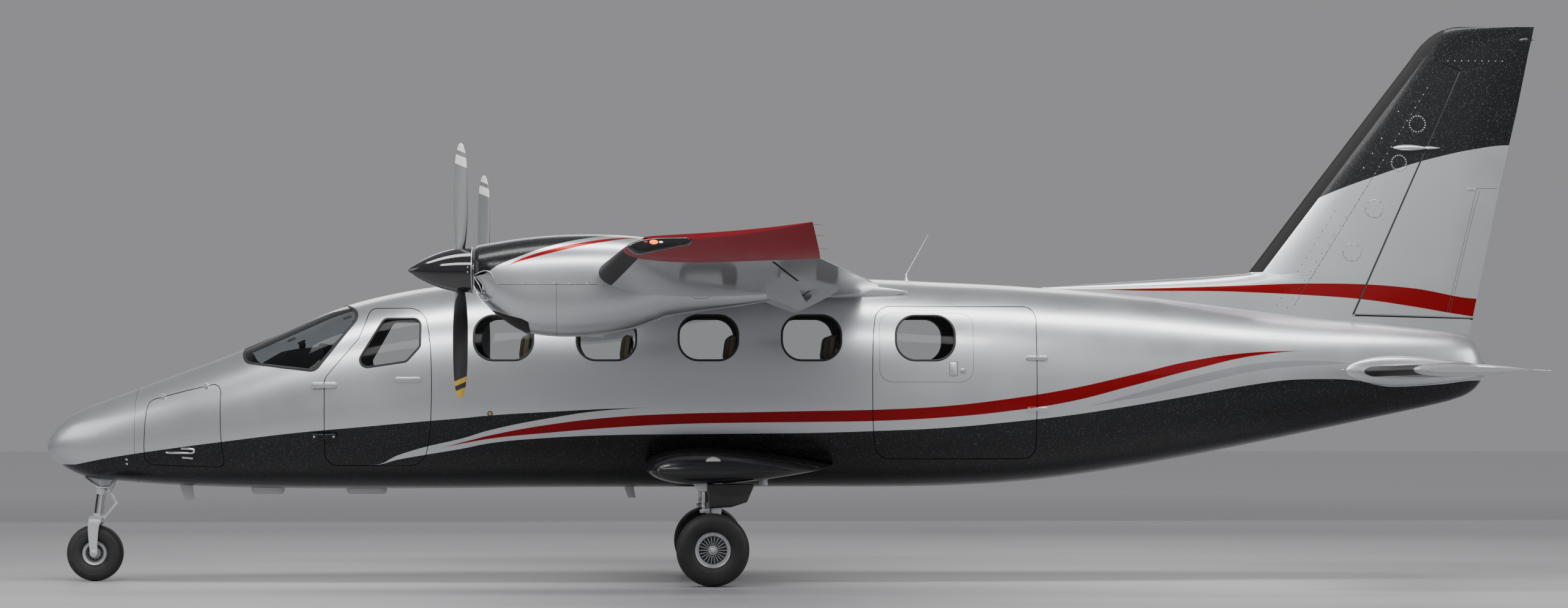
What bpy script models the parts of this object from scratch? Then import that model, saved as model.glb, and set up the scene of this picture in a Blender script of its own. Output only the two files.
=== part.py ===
"""Light high-wing commuter airliner with two propellers, parked on its fixed tricycle gear.

Metres, +Z up, nose toward -X, left side toward -Y, wheels on Z = 0.
Stations run aft from the nose tip, as on an aircraft's station drawing.
"""
import bpy
import bmesh
from math import copysign, cos, pi, radians, sin, sqrt, tan
from mathutils import Matrix, Vector

# Driving dimensions
LENGTH = 11.80
SPAN = 14.00
REFERENCE_STATION = LENGTH / 2

SEAT_GAP = 0.0003       # between pieces that touch
RUNNING_GAP = 0.006     # around doors and control surfaces
WALL = 0.050            # cabin wall, doors and frames
TAIL_WALL = 0.028
GLASS = 0.012
NOSE_FIT = 0.985        # a control surface's round nose against the thickness there
PIN_RADIUS = 0.010
PIN_TIP = 0.003
PIN_TIP_GAP = 0.0008
RUDDER_FOOT_GAP = 0.020  # the tilted rudder dips as it turns
RING_POINTS = 28

# Fuselage: station, underside, top, half width, squareness of the section
FUSELAGE = (
    (0.00, 1.025, 1.095, 0.035, 2.0),
    (0.03, 0.985, 1.165, 0.090, 2.0),
    (0.10, 0.928, 1.240, 0.165, 2.1),
    (0.20, 0.865, 1.313, 0.235, 2.2),
    (0.35, 0.812, 1.380, 0.305, 2.3),
    (0.50, 0.795, 1.434, 0.362, 2.35),
    (0.73, 0.776, 1.520, 0.435, 2.4),
    (1.00, 0.757, 1.619, 0.510, 2.45),
    (1.50, 0.738, 1.806, 0.630, 2.5),
    (2.00, 0.730, 2.024, 0.720, 2.6),
    (2.30, 0.729, 2.152, 0.757, 2.65),
    (2.75, 0.729, 2.268, 0.790, 2.7),
    (3.25, 0.731, 2.340, 0.806, 2.75),
    (4.00, 0.738, 2.372, 0.812, 2.8),
    (6.00, 0.742, 2.385, 0.812, 2.8),
    (6.50, 0.741, 2.380, 0.806, 2.8),
    (7.00, 0.747, 2.358, 0.792, 2.75),
    (7.50, 0.770, 2.335, 0.762, 2.7),
    (7.95, 0.812, 2.305, 0.720, 2.6),
    (8.50, 0.892, 2.262, 0.650, 2.5),
    (9.00, 0.980, 2.205, 0.577, 2.4),
    (9.50, 1.078, 2.142, 0.495, 2.3),
    (10.00, 1.180, 2.088, 0.408, 2.2),
    (10.50, 1.285, 2.045, 0.318, 2.1),
    (11.00, 1.393, 1.985, 0.222, 2.05),
    (11.20, 1.450, 1.945, 0.175, 2.0),
    (11.31, 1.515, 1.880, 0.125, 2.0),
    (11.375, 1.600, 1.740, 0.055, 2.0),
)
RADOME_STATION = 0.73
BAY_FRONT = 0.77
NOSE_JOINT = 1.54
CABIN_FRONT = 1.58
COCKPIT_JOINT = 3.25
CABIN_JOINT = 6.43
AFT_BULKHEAD = 7.90
TAIL_JOINT = 7.95
TAIL_CAVITY_END = 11.10

# Cabin
FLOOR_TOP = 0.90
FLOOR_THICKNESS = 0.045
WINDOW_FRONTS = (3.385, 4.180, 4.970, 5.770)
DOOR_WINDOW_FRONT = 6.655
WINDOW_LENGTH = 0.455
WINDOW_SILL = 1.735
WINDOW_HEIGHT = 0.345
WINDOW_RADIUS = 0.150
SEAT_ROWS = (3.245, 4.030, 4.850, 5.630)
CREW_SEAT_STATION = 2.500
SEAT_Y = 0.36
WINDSHIELD = ((1.60, 1.72), (2.15, 1.655), (2.50, 2.10), (2.16, 2.26), (1.51, 2.03))
WINDSHIELD_POST = 0.025

# Doors: outlines as (station, height) on the left side
CREW_DOOR = ((2.23, 0.92), (3.045, 0.92), (3.045, 2.135), (2.635, 2.135), (2.23, 1.585))
CREW_WINDOW = ((2.455, 1.665), (2.86, 1.725), (2.965, 1.84), (2.965, 2.055), (2.685, 2.055))
CREW_AXIS = (2.2265, 0.772)
CREW_HINGE_HEIGHTS = (1.14, 1.54)
CARGO_DOOR = ((6.475, 0.97), (7.750, 0.97), (7.750, 2.15), (6.475, 2.15))
CARGO_AXIS = (7.7535, 0.765)
CARGO_HINGE_HEIGHTS = (1.356, 1.752)
BAGGAGE_DOOR = ((0.790, 0.905), (1.450, 0.905), (1.430, 1.560), (0.815, 1.415))
DOOR_CORNER = 0.10

# Wing ribs: span position, leading edge station and height, trailing edge station and height, thickness
WING_RIBS = (
    (0.00, 4.370, 2.348, 6.400, 2.258, 0.160),
    (3.00, 4.370, 2.348, 6.400, 2.258, 0.160),
    (6.60, 4.568, 2.388, 5.833, 2.338, 0.125),
    (7.00, 4.700, 2.452, 5.770, 2.552, 0.030),
)
WING_CAMBER = 0.015
TIP_JOINT = 6.60
FLAP_SPAN = (0.95, 2.98)
AILERON_SPAN = (4.25, 6.45)
FLAP_HINGE = 0.76
AILERON_HINGE = 0.76

# Tailplane ribs, as the wing's
TAIL_RIBS = (
    (0.00, 10.345, 1.650, 11.430, 1.650, 0.115),
    (2.30, 10.425, 1.650, 11.305, 1.650, 0.115),
    (2.45, 10.500, 1.650, 11.290, 1.650, 0.050),
)
ELEVATOR_SPAN = (0.34, 2.28)
ELEVATOR_HINGE = 0.62

# Fin ribs: height, leading edge station, trailing edge station, thickness
FIN_RIBS = (
    (1.95, 9.20, 11.270, 0.095),
    (2.43, 9.50, 11.372, 0.095),
    (3.09, 10.00, 11.510, 0.095),
    (3.74, 10.50, 11.660, 0.095),
    (4.13, 10.80, 11.740, 0.090),
    (4.31, 10.955, 11.780, 0.075),
    (4.40, 11.200, 11.800, 0.035),
)
RUDDER_AXIS = ((10.34, 2.11), (11.205, 4.045))
RUDDER_FOOT = (11.35, 2.085)
DORSAL = ((7.85, 2.20), (9.70, 1.95), (9.70, 2.50), (9.30, 2.412), (9.00, 2.392), (8.50, 2.362), (7.85, 2.318))
DORSAL_HALF_WIDTH = 0.028

# Nacelles: station, underside, top, half width, squareness
NACELLE_Y = 2.35
NACELLE = (
    (3.45, 2.215, 2.560, 0.310, 2.3),
    (3.52, 2.135, 2.572, 0.358, 2.5),
    (3.62, 2.048, 2.588, 0.395, 2.7),
    (3.80, 1.935, 2.615, 0.425, 2.9),
    (4.05, 1.893, 2.638, 0.438, 3.0),
    (4.35, 1.903, 2.645, 0.432, 3.0),
    (4.62, 1.948, 2.632, 0.412, 2.9),
    (4.82, 2.015, 2.608, 0.385, 2.8),
    (5.05, 2.058, 2.565, 0.335, 2.6),
    (5.35, 2.100, 2.480, 0.250, 2.4),
    (5.62, 2.145, 2.400, 0.155, 2.2),
    (5.77, 2.180, 2.330, 0.070, 2.0),
)
COWL_WALL = 0.045
ENGINE_FRONT = 3.56
FIREWALL = 4.30
ENGINE_HALF_WIDTH = 0.370
ENGINE_BOTTOM = 1.98
ENGINE_TOP = 2.54

# Propellers
PROP_Z = 2.380
SPINNER_TIP = 2.955
SPINNER_BASE = 3.425
SPINNER_RADIUS = 0.170
SPINNER_SHELL = 0.010
SPINNER_FULLNESS = 0.85
BLADE_STATION = 3.345
# Blade: radius from the axis, chord, thickness, pitch in degrees
BLADE = (
    (0.060, 0.068, 0.066, 48.0),
    (0.150, 0.074, 0.056, 48.0),
    (0.230, 0.112, 0.034, 48.0),
    (0.400, 0.146, 0.022, 46.0),
    (0.600, 0.150, 0.017, 44.0),
    (0.760, 0.140, 0.013, 42.0),
    (0.860, 0.112, 0.010, 41.0),
    (0.915, 0.070, 0.008, 40.0),
    (0.942, 0.024, 0.006, 40.0),
)

# Landing gear
WHEEL_SIDES = 28
MAIN_WHEEL = (5.225, 1.250)
MAIN_RADIUS = 0.280
MAIN_RIM = 0.138
MAIN_HALF_WIDTH = 0.100
AXLE_RADIUS = 0.0190
BORE_RADIUS = 0.0200
LEG_Y = (1.010, 1.110)
MAIN_LEG = (
    (5.185, 0.235), (5.265, 0.235), (5.300, 0.420), (5.370, 0.600), (5.490, 0.640),
    (5.550, 0.860), (5.180, 0.860), (5.160, 0.600), (5.165, 0.420),
)
# Sponson ribs: distance from the centre line, front, rear, middle height, half height
SPONSON_RIBS = (
    (0.30, 4.690, 6.180, 0.925, 0.150),
    (0.70, 4.710, 6.160, 0.915, 0.145),
    (0.95, 4.735, 6.080, 0.895, 0.120),
    (1.10, 4.800, 5.960, 0.880, 0.095),
    (1.18, 4.930, 5.780, 0.875, 0.050),
)
JACK_PAD = (5.62, 0.90)
JACK_PAD_BOTTOM = 0.765

NOSE_WHEEL = (0.378, 0.222)
NOSE_RIM = 0.098
NOSE_HALF_WIDTH = 0.080
NOSE_AXLE_RADIUS = 0.0150
NOSE_BORE_RADIUS = 0.0160
STRUT_FOOT = (0.3915, 0.480)
STRUT_LEAN = radians(7.6)
PISTON_RADIUS = 0.026
FORK_INNER = 0.095
FORK_OUTER = 0.120


def clear_scene():
    for thing in list(bpy.data.objects):
        bpy.data.objects.remove(thing, do_unlink=True)


def at(station, y, z):
    return Vector((station - REFERENCE_STATION, y, z))


def material(name, colour, roughness, metallic=0.0, transmission=0.0):
    made = bpy.data.materials.new(name)
    made.use_nodes = True
    shader = made.node_tree.nodes["Principled BSDF"]
    shader.inputs["Base Color"].default_value = (*colour, 1.0)
    shader.inputs["Roughness"].default_value = roughness
    shader.inputs["Metallic"].default_value = metallic
    shader.inputs["Transmission Weight"].default_value = transmission
    return made


def mesh_object(name, points, faces):
    mesh = bpy.data.meshes.new(name)
    mesh.from_pydata([tuple(p) for p in points], [], faces)
    shape = bmesh.new()
    shape.from_mesh(mesh)
    bmesh.ops.recalc_face_normals(shape, faces=shape.faces)
    shape.to_mesh(mesh)
    shape.free()
    thing = bpy.data.objects.new(name, mesh)
    bpy.context.scene.collection.objects.link(thing)
    return thing


def loft(name, rings, capped=True):
    """Skin a row of rings with equal point counts; the last joins the first when uncapped."""
    count = len(rings[0])
    points = [p for ring in rings for p in ring]
    spans = len(rings) - 1 if capped else len(rings)
    faces = []
    for i in range(spans):
        a = i * count
        b = ((i + 1) % len(rings)) * count
        for j in range(count):
            k = (j + 1) % count
            faces.append((a + j, a + k, b + k))
            faces.append((a + j, b + k, b + j))
    if capped:
        faces.append(tuple(range(count)))
        faces.append(tuple(range(len(points) - count, len(points))))
    return mesh_object(name, points, faces)


def node(thing, name, finish, pivot=None, smooth=35.0):
    """Name a sub-part, give it its material and put its origin on its axis."""
    thing.name = name
    thing.data.name = name
    thing.data.materials.clear()
    thing.data.materials.append(finish)
    if pivot is not None:
        thing.data.transform(Matrix.Translation(-pivot))
        thing.location = pivot
    thing.data.shade_smooth()
    thing.data.set_sharp_from_angle(angle=radians(smooth))
    return thing


def boolean(thing, tool, operation):
    step = thing.modifiers.new(operation.title(), "BOOLEAN")
    step.operation = operation
    step.solver = "EXACT"
    step.object = tool
    tool.hide_render = True
    tool.display_type = "WIRE"


def cut(thing, tool):
    boolean(thing, tool, "DIFFERENCE")


def keep(thing, tool):
    boolean(thing, tool, "INTERSECT")


def join(thing, tool):
    boolean(thing, tool, "UNION")


def interpolate(table, x, column):
    """A smooth curve through one column of a table of stations."""
    last = len(table) - 1
    i = 0
    while i < last - 1 and x > table[i + 1][0]:
        i += 1
    x0, x1 = table[i][0], table[i + 1][0]
    y0, y1 = table[i][column], table[i + 1][column]
    chord = (y1 - y0) / (x1 - x0)
    before = table[max(i - 1, 0)]
    after = table[min(i + 2, last)]
    m0 = (y1 - before[column]) / (x1 - before[0]) if i > 0 else chord
    m1 = (after[column] - y0) / (after[0] - x0) if i + 2 <= last else chord
    t = min(max((x - x0) / (x1 - x0), 0.0), 1.0)
    h = x1 - x0
    return (
        y0 * (1 + 2 * t) * (1 - t) ** 2
        + h * m0 * t * (1 - t) ** 2
        + y1 * t * t * (3 - 2 * t)
        - h * m1 * t * t * (1 - t)
    )


def power_curve(value, power):
    return copysign(abs(value) ** (2.0 / power), value)


def body_ring(table, station, inset=0.0, centre_y=0.0, count=RING_POINTS):
    """A rounded section of a body given by underside, top, half width and squareness."""
    low = interpolate(table, station, 1) + inset
    high = interpolate(table, station, 2) - inset
    half = interpolate(table, station, 3) - inset
    power = interpolate(table, station, 4)
    ring = []
    for i in range(count):
        angle = 2 * pi * (i + 0.5) / count
        y = centre_y + half * power_curve(cos(angle), power)
        z = (low + high) / 2 + (high - low) / 2 * power_curve(sin(angle), power)
        ring.append(at(station, y, z))
    return ring


def body(name, table, stations, inset=0.0, centre_y=0.0, count=RING_POINTS):
    return loft(name, [body_ring(table, s, inset, centre_y, count) for s in stations])


def skin_y(station, z):
    """Half width of the fuselage skin at a station and a height."""
    low = interpolate(FUSELAGE, station, 1)
    high = interpolate(FUSELAGE, station, 2)
    half = interpolate(FUSELAGE, station, 3)
    power = interpolate(FUSELAGE, station, 4)
    reach = abs(z - (low + high) / 2) / ((high - low) / 2)
    return half * max(1.0 - reach ** power, 0.0) ** (1.0 / power)


def table_stations(table, start, end):
    inside = [row[0] for row in table if start + 0.02 < row[0] < end - 0.02]
    return [start] + inside + [end]


def grown(points, grow):
    """Move each side of a closed outline outward; the outline runs anticlockwise."""
    moved = []
    count = len(points)
    for i, point in enumerate(points):
        p = Vector(point)
        a = (p - Vector(points[i - 1])).normalized()
        b = (Vector(points[(i + 1) % count]) - p).normalized()
        na = Vector((a.y, -a.x))
        nb = Vector((b.y, -b.x))
        moved.append(p + grow * (na + nb) / (1 + na.dot(nb)))
    return moved


def anticlockwise(points):
    area = 0.0
    for i, p in enumerate(points):
        q = points[(i + 1) % len(points)]
        area += p[0] * q[1] - q[0] * p[1]
    return list(points) if area > 0 else list(reversed(points))


def rounded(points, radius, grow=0.0, arc=3):
    """A closed outline with its corners rounded, moved outward by grow."""
    corners = grown(anticlockwise(points), grow)
    if radius <= 0:
        return corners
    outline = []
    count = len(corners)
    for i, p in enumerate(corners):
        u = (corners[i - 1] - p).normalized()
        v = (corners[(i + 1) % count] - p).normalized()
        half = u.angle(v) / 2
        bend = radius + grow
        centre = p + (u + v).normalized() * bend / sin(half)
        start = p + u * bend / tan(half) - centre
        end = p + v * bend / tan(half) - centre
        sweep = pi - 2 * half
        for k in range(arc + 1):
            t = k / arc
            outline.append(centre + (start * sin((1 - t) * sweep) + end * sin(t * sweep)) / sin(sweep))
    return outline


def rectangle(x0, x1, z0, z1):
    return ((x0, z0), (x1, z0), (x1, z1), (x0, z1))


def side_prism(name, outline, y0, y1):
    """A prism across the aircraft from an outline of stations and heights."""
    rings = [[at(p[0], y, p[1]) for p in outline] for y in (y0, y1)]
    return loft(name, rings)


def plan_prism(name, outline, z0, z1):
    """A prism standing up from an outline of stations and span positions."""
    rings = [[at(p[0], p[1], z) for p in outline] for z in (z0, z1)]
    return loft(name, rings)


def box(name, x0, x1, y0, y1, z0, z1):
    return side_prism(name, rectangle(x0, x1, z0, z1), y0, y1)


def frame_of(axis):
    """Two directions square to an axis."""
    axis = axis.normalized()
    first = axis.orthogonal().normalized()
    return first, axis.cross(first)


def rod(name, start, end, radius_start, radius_end=None, count=20):
    """A round rod or cone between two points."""
    radius_end = radius_start if radius_end is None else radius_end
    u, v = frame_of(end - start)
    rings = []
    for centre, radius in ((start, radius_start), (end, radius_end)):
        angles = [2 * pi * (i + 0.5) / count for i in range(count)]
        rings.append([centre + radius * (u * cos(a) + v * sin(a)) for a in angles])
    return loft(name, rings)


def hinge_cone(name, start, end, radius_start, radius_end, across, count=24):
    """A cone along a hinge line whose end rings lie square to Y or Z, not to the line."""
    rings = []
    for centre, radius in ((start, radius_start), (end, radius_end)):
        angles = [2 * pi * (i + 0.5) / count for i in range(count)]
        rings.append([centre + radius * (Vector((cos(a), 0, 0)) + across * sin(a)) for a in angles])
    return loft(name, rings)


def cove(name, start, end, radius_start, radius_end, count=12):
    """The space of a trailing edge surface: round at the front, open to the rear."""
    rings = []
    for centre, radius in ((start, radius_start), (end, radius_end)):
        angles = [pi / 2 + pi * i / count for i in range(count + 1)]
        ring = [centre + radius * Vector((cos(a), 0, sin(a))) for a in angles]
        ring += [centre + Vector((1.2, 0, -0.45)), centre + Vector((1.2, 0, 0.45))]
        rings.append(ring)
    return loft(name, rings)


def turned(name, profile, centre, count):
    """Turn a closed profile of radii and side offsets about an axle along Y."""
    rings = []
    for i in range(count):
        angle = 2 * pi * i / count
        rings.append([centre + Vector((r * cos(angle), y, r * sin(angle))) for r, y in profile])
    return loft(name, rings, capped=False)


def turned_x(name, profile, centre_y, centre_z, count):
    """Turn an open profile of stations and radii about a fore-and-aft axis, closed by flat ends."""
    rings = []
    for station, radius in profile:
        angles = [2 * pi * i / count for i in range(count)]
        rings.append([at(station, centre_y + radius * cos(a), centre_z + radius * sin(a)) for a in angles])
    return loft(name, rings)


def block(name, centre, along, across, size):
    """A rectangular block with its first side along one direction and its second across it."""
    u = along.normalized()
    v = (across - u * across.dot(u)).normalized()
    w = u.cross(v)
    rings = []
    for side in (-0.5, 0.5):
        ring = []
        for a, b in ((-0.5, -0.5), (0.5, -0.5), (0.5, 0.5), (-0.5, 0.5)):
            ring.append(centre + u * size[0] * side + v * size[1] * a + w * size[2] * b)
        rings.append(ring)
    return loft(name, rings)


def wall_thickness_ratio(x, ratio):
    """Half thickness of a smooth aerofoil at a chord fraction, for a chord of 1."""
    return 5 * ratio * (0.2969 * sqrt(x) - 0.1260 * x - 0.3516 * x ** 2 + 0.2843 * x ** 3 - 0.1015 * x ** 4)


def aerofoil(chord, ratio, camber, count=11, edge=0.002):
    """Outline from the upper trailing edge round the nose to the lower trailing edge."""
    upper = []
    lower = []
    for i in range(count + 1):
        x = (1 - cos(pi * i / count)) / 2
        half = wall_thickness_ratio(x, ratio) * chord + edge * x
        middle = 4 * camber * x * (1 - x) * chord
        upper.append((x * chord, middle + half))
        lower.append((x * chord, middle - half))
    return list(reversed(upper)) + lower[1:]


def rib_at(ribs, span):
    """Straight interpolation between the ribs on each side of a span position."""
    for low, high in zip(ribs, ribs[1:]):
        if low[0] <= span <= high[0]:
            t = (span - low[0]) / (high[0] - low[0])
            return [a + (b - a) * t for a, b in zip(low, high)]
    return list(ribs[-1])


def lifting_ring(rib, camber, side, grow):
    span, x0, z0, x1, z1, ratio = rib
    chord = x1 - x0
    ring = []
    for x, z in grown(aerofoil(chord, ratio, camber), grow):
        ring.append(at(x0 + x, side * span, z0 + (z1 - z0) * x / chord + z))
    return ring


def lifting_surface(name, ribs, camber, spans, grow=0.0):
    """A solid wing or tailplane through signed span positions."""
    rings = []
    for span in spans:
        rings.append(lifting_ring(rib_at(ribs, abs(span)), camber, copysign(1, span), grow))
    return loft(name, rings)


def hinge_on(ribs, camber, span, fraction, side):
    """Hinge point and half thickness of a wing or tailplane at a chord fraction."""
    rib = rib_at(ribs, span)
    chord = rib[3] - rib[1]
    x = rib[1] + chord * fraction
    z = rib[2] + (rib[4] - rib[2]) * fraction + 4 * camber * fraction * (1 - fraction) * chord
    return at(x, side * span, z), wall_thickness_ratio(fraction, rib[5]) * chord


def add_pin(thing, name, point, along, gap):
    """A pointed hinge pin on the axis, from inside the end of a surface almost to the rib beside it."""
    tip = point + along * (gap - PIN_TIP_GAP)
    join(thing, rod(name, point - along * 0.025, tip, PIN_RADIUS, PIN_TIP, count=8))


def hinged_surface(name, whole, ribs, camber, span, fraction, side, finish, keep_from):
    """Part the trailing edge of a wing or tailplane, with a round nose on its hinge line."""
    start, r0 = hinge_on(ribs, camber, span[0], fraction, side)
    end, r1 = hinge_on(ribs, camber, span[1], fraction, side)
    rear = max(rib_at(ribs, s)[3] for s in span) + 0.1
    x0 = start.x + REFERENCE_STATION
    x1 = end.x + REFERENCE_STATION
    area = ((x0, side * span[0]), (rear, side * span[0]), (rear, side * span[1]), (x1, side * span[1]))
    keep(whole, plan_prism(f"{name}_area", grown(anticlockwise(area), 0.0), 1.0, 3.2))
    up = Vector((0, 0, 1))
    inset = (end - start).normalized() * 0.003
    join(whole, hinge_cone(f"{name}_nose", start + inset, end - inset, r0 * NOSE_FIT, r1 * NOSE_FIT, up))
    along = (end - start).normalized()
    add_pin(whole, f"{name}_pin_a", start, -along, RUNNING_GAP)
    add_pin(whole, f"{name}_pin_b", end, along, RUNNING_GAP)
    node(whole, name, finish, pivot=start)
    along *= RUNNING_GAP
    cut(keep_from, cove(f"{name}_cove", start - along, end + along, r0 + RUNNING_GAP, r1 + RUNNING_GAP))


def make_materials():
    return {
        "silver": material("silver_paint", (0.52, 0.53, 0.55), 0.35, 0.6),
        "black": material("black_paint", (0.01, 0.011, 0.013), 0.2, 0.3),
        "red": material("red_paint", (0.30, 0.01, 0.02), 0.25, 0.2),
        "grey": material("gear_grey", (0.42, 0.43, 0.45), 0.4, 0.3),
        "steel": material("bright_steel", (0.7, 0.7, 0.7), 0.2, 1.0),
        "rubber": material("tyre_rubber", (0.02, 0.02, 0.02), 0.85),
        "glass": material("window_glass", (0.9, 0.95, 0.95), 0.02, 0.0, 0.9),
        "seat": material("seat_leather", (0.45, 0.36, 0.22), 0.6),
        "trim": material("dark_trim", (0.03, 0.03, 0.03), 0.6),
        "blade": material("blade_grey", (0.35, 0.36, 0.37), 0.4, 0.2),
        "iron": material("engine_iron", (0.2, 0.2, 0.2), 0.6, 0.6),
    }


def cabin_stations():
    joints = [NOSE_JOINT, CABIN_JOINT]
    return sorted(set(table_stations(FUSELAGE, RADOME_STATION + SEAT_GAP, TAIL_JOINT) + joints + [2.52, 4.67, 5.33]))


def fuselage_section(name, start, end):
    """One barrel of the fuselage between two production joints."""
    inside = [s for s in cabin_stations() if start + 0.001 < s < end - 0.001]
    return body(name, FUSELAGE, [start] + inside + [end])


def window_prism(name, front, y0, y1):
    outline = rectangle(front, front + WINDOW_LENGTH, WINDOW_SILL, WINDOW_SILL + WINDOW_HEIGHT)
    return side_prism(name, rounded(outline, WINDOW_RADIUS), y0, y1)


def swung_prism(name, outline, side, edge, slope, skin):
    """A door's prism whose free edge leans inboard toward the hinge edge, so that it swings clear."""
    length = max(abs(p[0] - edge) for p in outline)
    rings = []
    for depth in (-0.30, 0.62):
        k = 1 - slope * depth / length
        rings.append([at(edge + (p[0] - edge) * k, side * (skin - depth), p[1]) for p in outline])
    return loft(name, rings)


def sheared_prism(name, outline, lean, skin, rise):
    """The nose baggage door's prism, square to the tapering skin, with a foot that rises inboard."""
    rings = []
    top = max(p[1] for p in outline)
    foot = min(p[1] for p in outline)
    for depth in (-0.20, 0.30):
        ring = []
        for p in outline:
            down = (top - p[1]) / (top - foot)
            ring.append(at(p[0] + lean * depth, -(skin - depth), p[1] + rise * depth * down))
        rings.append(ring)
    return loft(name, rings)


def add_hinge(fixed, moving, name, point, axis, inward, toward_door, lift):
    """A hinge whose two knuckles meet end to end on the axis, each on its own leaf."""
    axis = axis.normalized()
    knuckle = 0.034
    for thing, way, along in ((fixed, -1, -toward_door), (moving, 1, toward_door)):
        end = point + axis * way * SEAT_GAP / 2
        label = f"{name}_{'door' if way > 0 else 'frame'}"
        join(thing, rod(f"{label}_knuckle", end, end + axis * way * knuckle, 0.010, count=12))
        middle = end + axis * way * knuckle / 2
        leaf_centre = middle + along * 0.046 + inward * (lift / 2 + 0.006)
        join(thing, block(f"{label}_leaf", leaf_centre, along, axis, (0.092, knuckle * 0.96, lift + 0.008)))


def make_fuselage(m):
    """Nose cone, the hollow barrels of the fuselage, tail cone, doors and windshield."""
    nose = body("nose", FUSELAGE, table_stations(FUSELAGE, 0.0, RADOME_STATION))
    node(nose, "nose_cone", m["silver"])

    outer = cabin_stations()
    inner = [s for s in outer if CABIN_FRONT + 0.05 < s < AFT_BULKHEAD - 0.05]
    bow = fuselage_section("bow", RADOME_STATION + SEAT_GAP, NOSE_JOINT - SEAT_GAP)
    cockpit = fuselage_section("cockpit", NOSE_JOINT, COCKPIT_JOINT - SEAT_GAP)
    cabin = fuselage_section("cabin", COCKPIT_JOINT, CABIN_JOINT - SEAT_GAP)
    aft = fuselage_section("aft", CABIN_JOINT, TAIL_JOINT)
    room = body("cabin_room", FUSELAGE, [CABIN_FRONT] + inner + [AFT_BULKHEAD], inset=WALL)
    bay = body("nose_bay_room", FUSELAGE, [BAY_FRONT, 1.0, 1.25, NOSE_JOINT + 0.02], inset=WALL)
    for barrel in (cockpit, cabin, aft):
        cut(barrel, room)
    cut(bow, bay)

    doors = {}
    for side, label in ((-1, "left"), (1, "right")):
        door = body(f"crew_door_{label}", FUSELAGE, outer)
        cut(door, room)
        outline = rounded(CREW_DOOR, DOOR_CORNER)
        keep(door, swung_prism(f"crew_{label}_area", outline, side, CREW_DOOR[0][0], 0.42, 0.78))
        gap_outline = rounded(CREW_DOOR, DOOR_CORNER, RUNNING_GAP)
        cut(cockpit, swung_prism(f"crew_{label}_gap", gap_outline, side, CREW_DOOR[0][0], 0.42, 0.78))
        pane = rounded(CREW_WINDOW, 0.055)
        cut(door, side_prism(f"crew_{label}_window", pane, side * 0.2, side * 1.1))
        doors[label] = door

    cargo = body("cargo_door", FUSELAGE, outer)
    cut(cargo, room)
    outline = rounded(CARGO_DOOR, DOOR_CORNER)
    keep(cargo, swung_prism("cargo_area", outline, -1, CARGO_DOOR[1][0], 0.26, 0.80))
    gap_outline = rounded(CARGO_DOOR, DOOR_CORNER, RUNNING_GAP)
    cut(aft, swung_prism("cargo_gap", gap_outline, -1, CARGO_DOOR[1][0], 0.26, 0.80))
    door_window = window_prism("door_window", DOOR_WINDOW_FRONT, -1.1, 1.1)
    cut(cargo, door_window)
    cut(aft, door_window)

    hatch = body("nose_baggage_door", FUSELAGE, outer)
    cut(hatch, bay)
    outline = rounded(BAGGAGE_DOOR, 0.07)
    keep(hatch, sheared_prism("baggage_area", outline, 0.255, 0.50, 0.20))
    gap_outline = rounded(BAGGAGE_DOOR, 0.07, RUNNING_GAP)
    cut(bow, sheared_prism("baggage_gap", gap_outline, 0.255, 0.50, 0.20))

    for i, front in enumerate(WINDOW_FRONTS):
        cut(cabin, window_prism(f"window_{i}", front, -1.1, 1.1))
    for side, label in ((-1, "left"), (1, "right")):
        opening = rounded(WINDSHIELD, 0.07)
        cut(cockpit, side_prism(f"windshield_{label}_hole", opening, side * WINDSHIELD_POST, side * 1.1))
        pane = body(f"windshield_{label}", FUSELAGE, outer)
        cut(pane, body(f"windshield_{label}_back", FUSELAGE, [1.2] + inner[:5], inset=GLASS))
        area = rounded(WINDSHIELD, 0.07, -SEAT_GAP)
        keep(pane, side_prism(f"windshield_{label}_area", area, side * (WINDSHIELD_POST + SEAT_GAP), side * 1.1))
        node(pane, f"windshield_{label}", m["glass"])

    up = Vector((0, 0, 1))
    for side, label in ((-1, "left"), (1, "right")):
        for i, z in enumerate(CREW_HINGE_HEIGHTS):
            point = at(CREW_AXIS[0], side * CREW_AXIS[1], z)
            lift = CREW_AXIS[1] - skin_y(CREW_AXIS[0] - 0.09, z)
            inward = Vector((0, -side, 0))
            add_hinge(cockpit, doors[label], f"crew_{label}_{i}", point, up, inward, Vector((1, 0, 0)), lift)
        node(doors[label], f"crew_door_{label}", m["silver"], pivot=at(CREW_AXIS[0], side * CREW_AXIS[1], 1.34))
    for i, z in enumerate(CARGO_HINGE_HEIGHTS):
        point = at(CARGO_AXIS[0], -CARGO_AXIS[1], z)
        lift = CARGO_AXIS[1] - skin_y(CARGO_AXIS[0] + 0.09, z)
        add_hinge(aft, cargo, f"cargo_{i}", point, up, Vector((0, 1, 0)), Vector((-1, 0, 0)), lift)
    node(cargo, "cargo_door", m["silver"], pivot=at(CARGO_AXIS[0], -CARGO_AXIS[1], 1.55))

    front, rear = baggage_axis()
    along = (rear - front).normalized()
    down = (Vector((0, 0, -1)) - along * along.dot(Vector((0, 0, -1)))).normalized()
    inward = along.cross(down)
    inward = inward if inward.y > 0 else -inward
    for i, t in enumerate((0.22, 0.78)):
        add_hinge(bow, hatch, f"baggage_{i}", front.lerp(rear, t), along, inward, down, 0.030)
    node(hatch, "nose_baggage_door", m["silver"], pivot=front.lerp(rear, 0.5))

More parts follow.
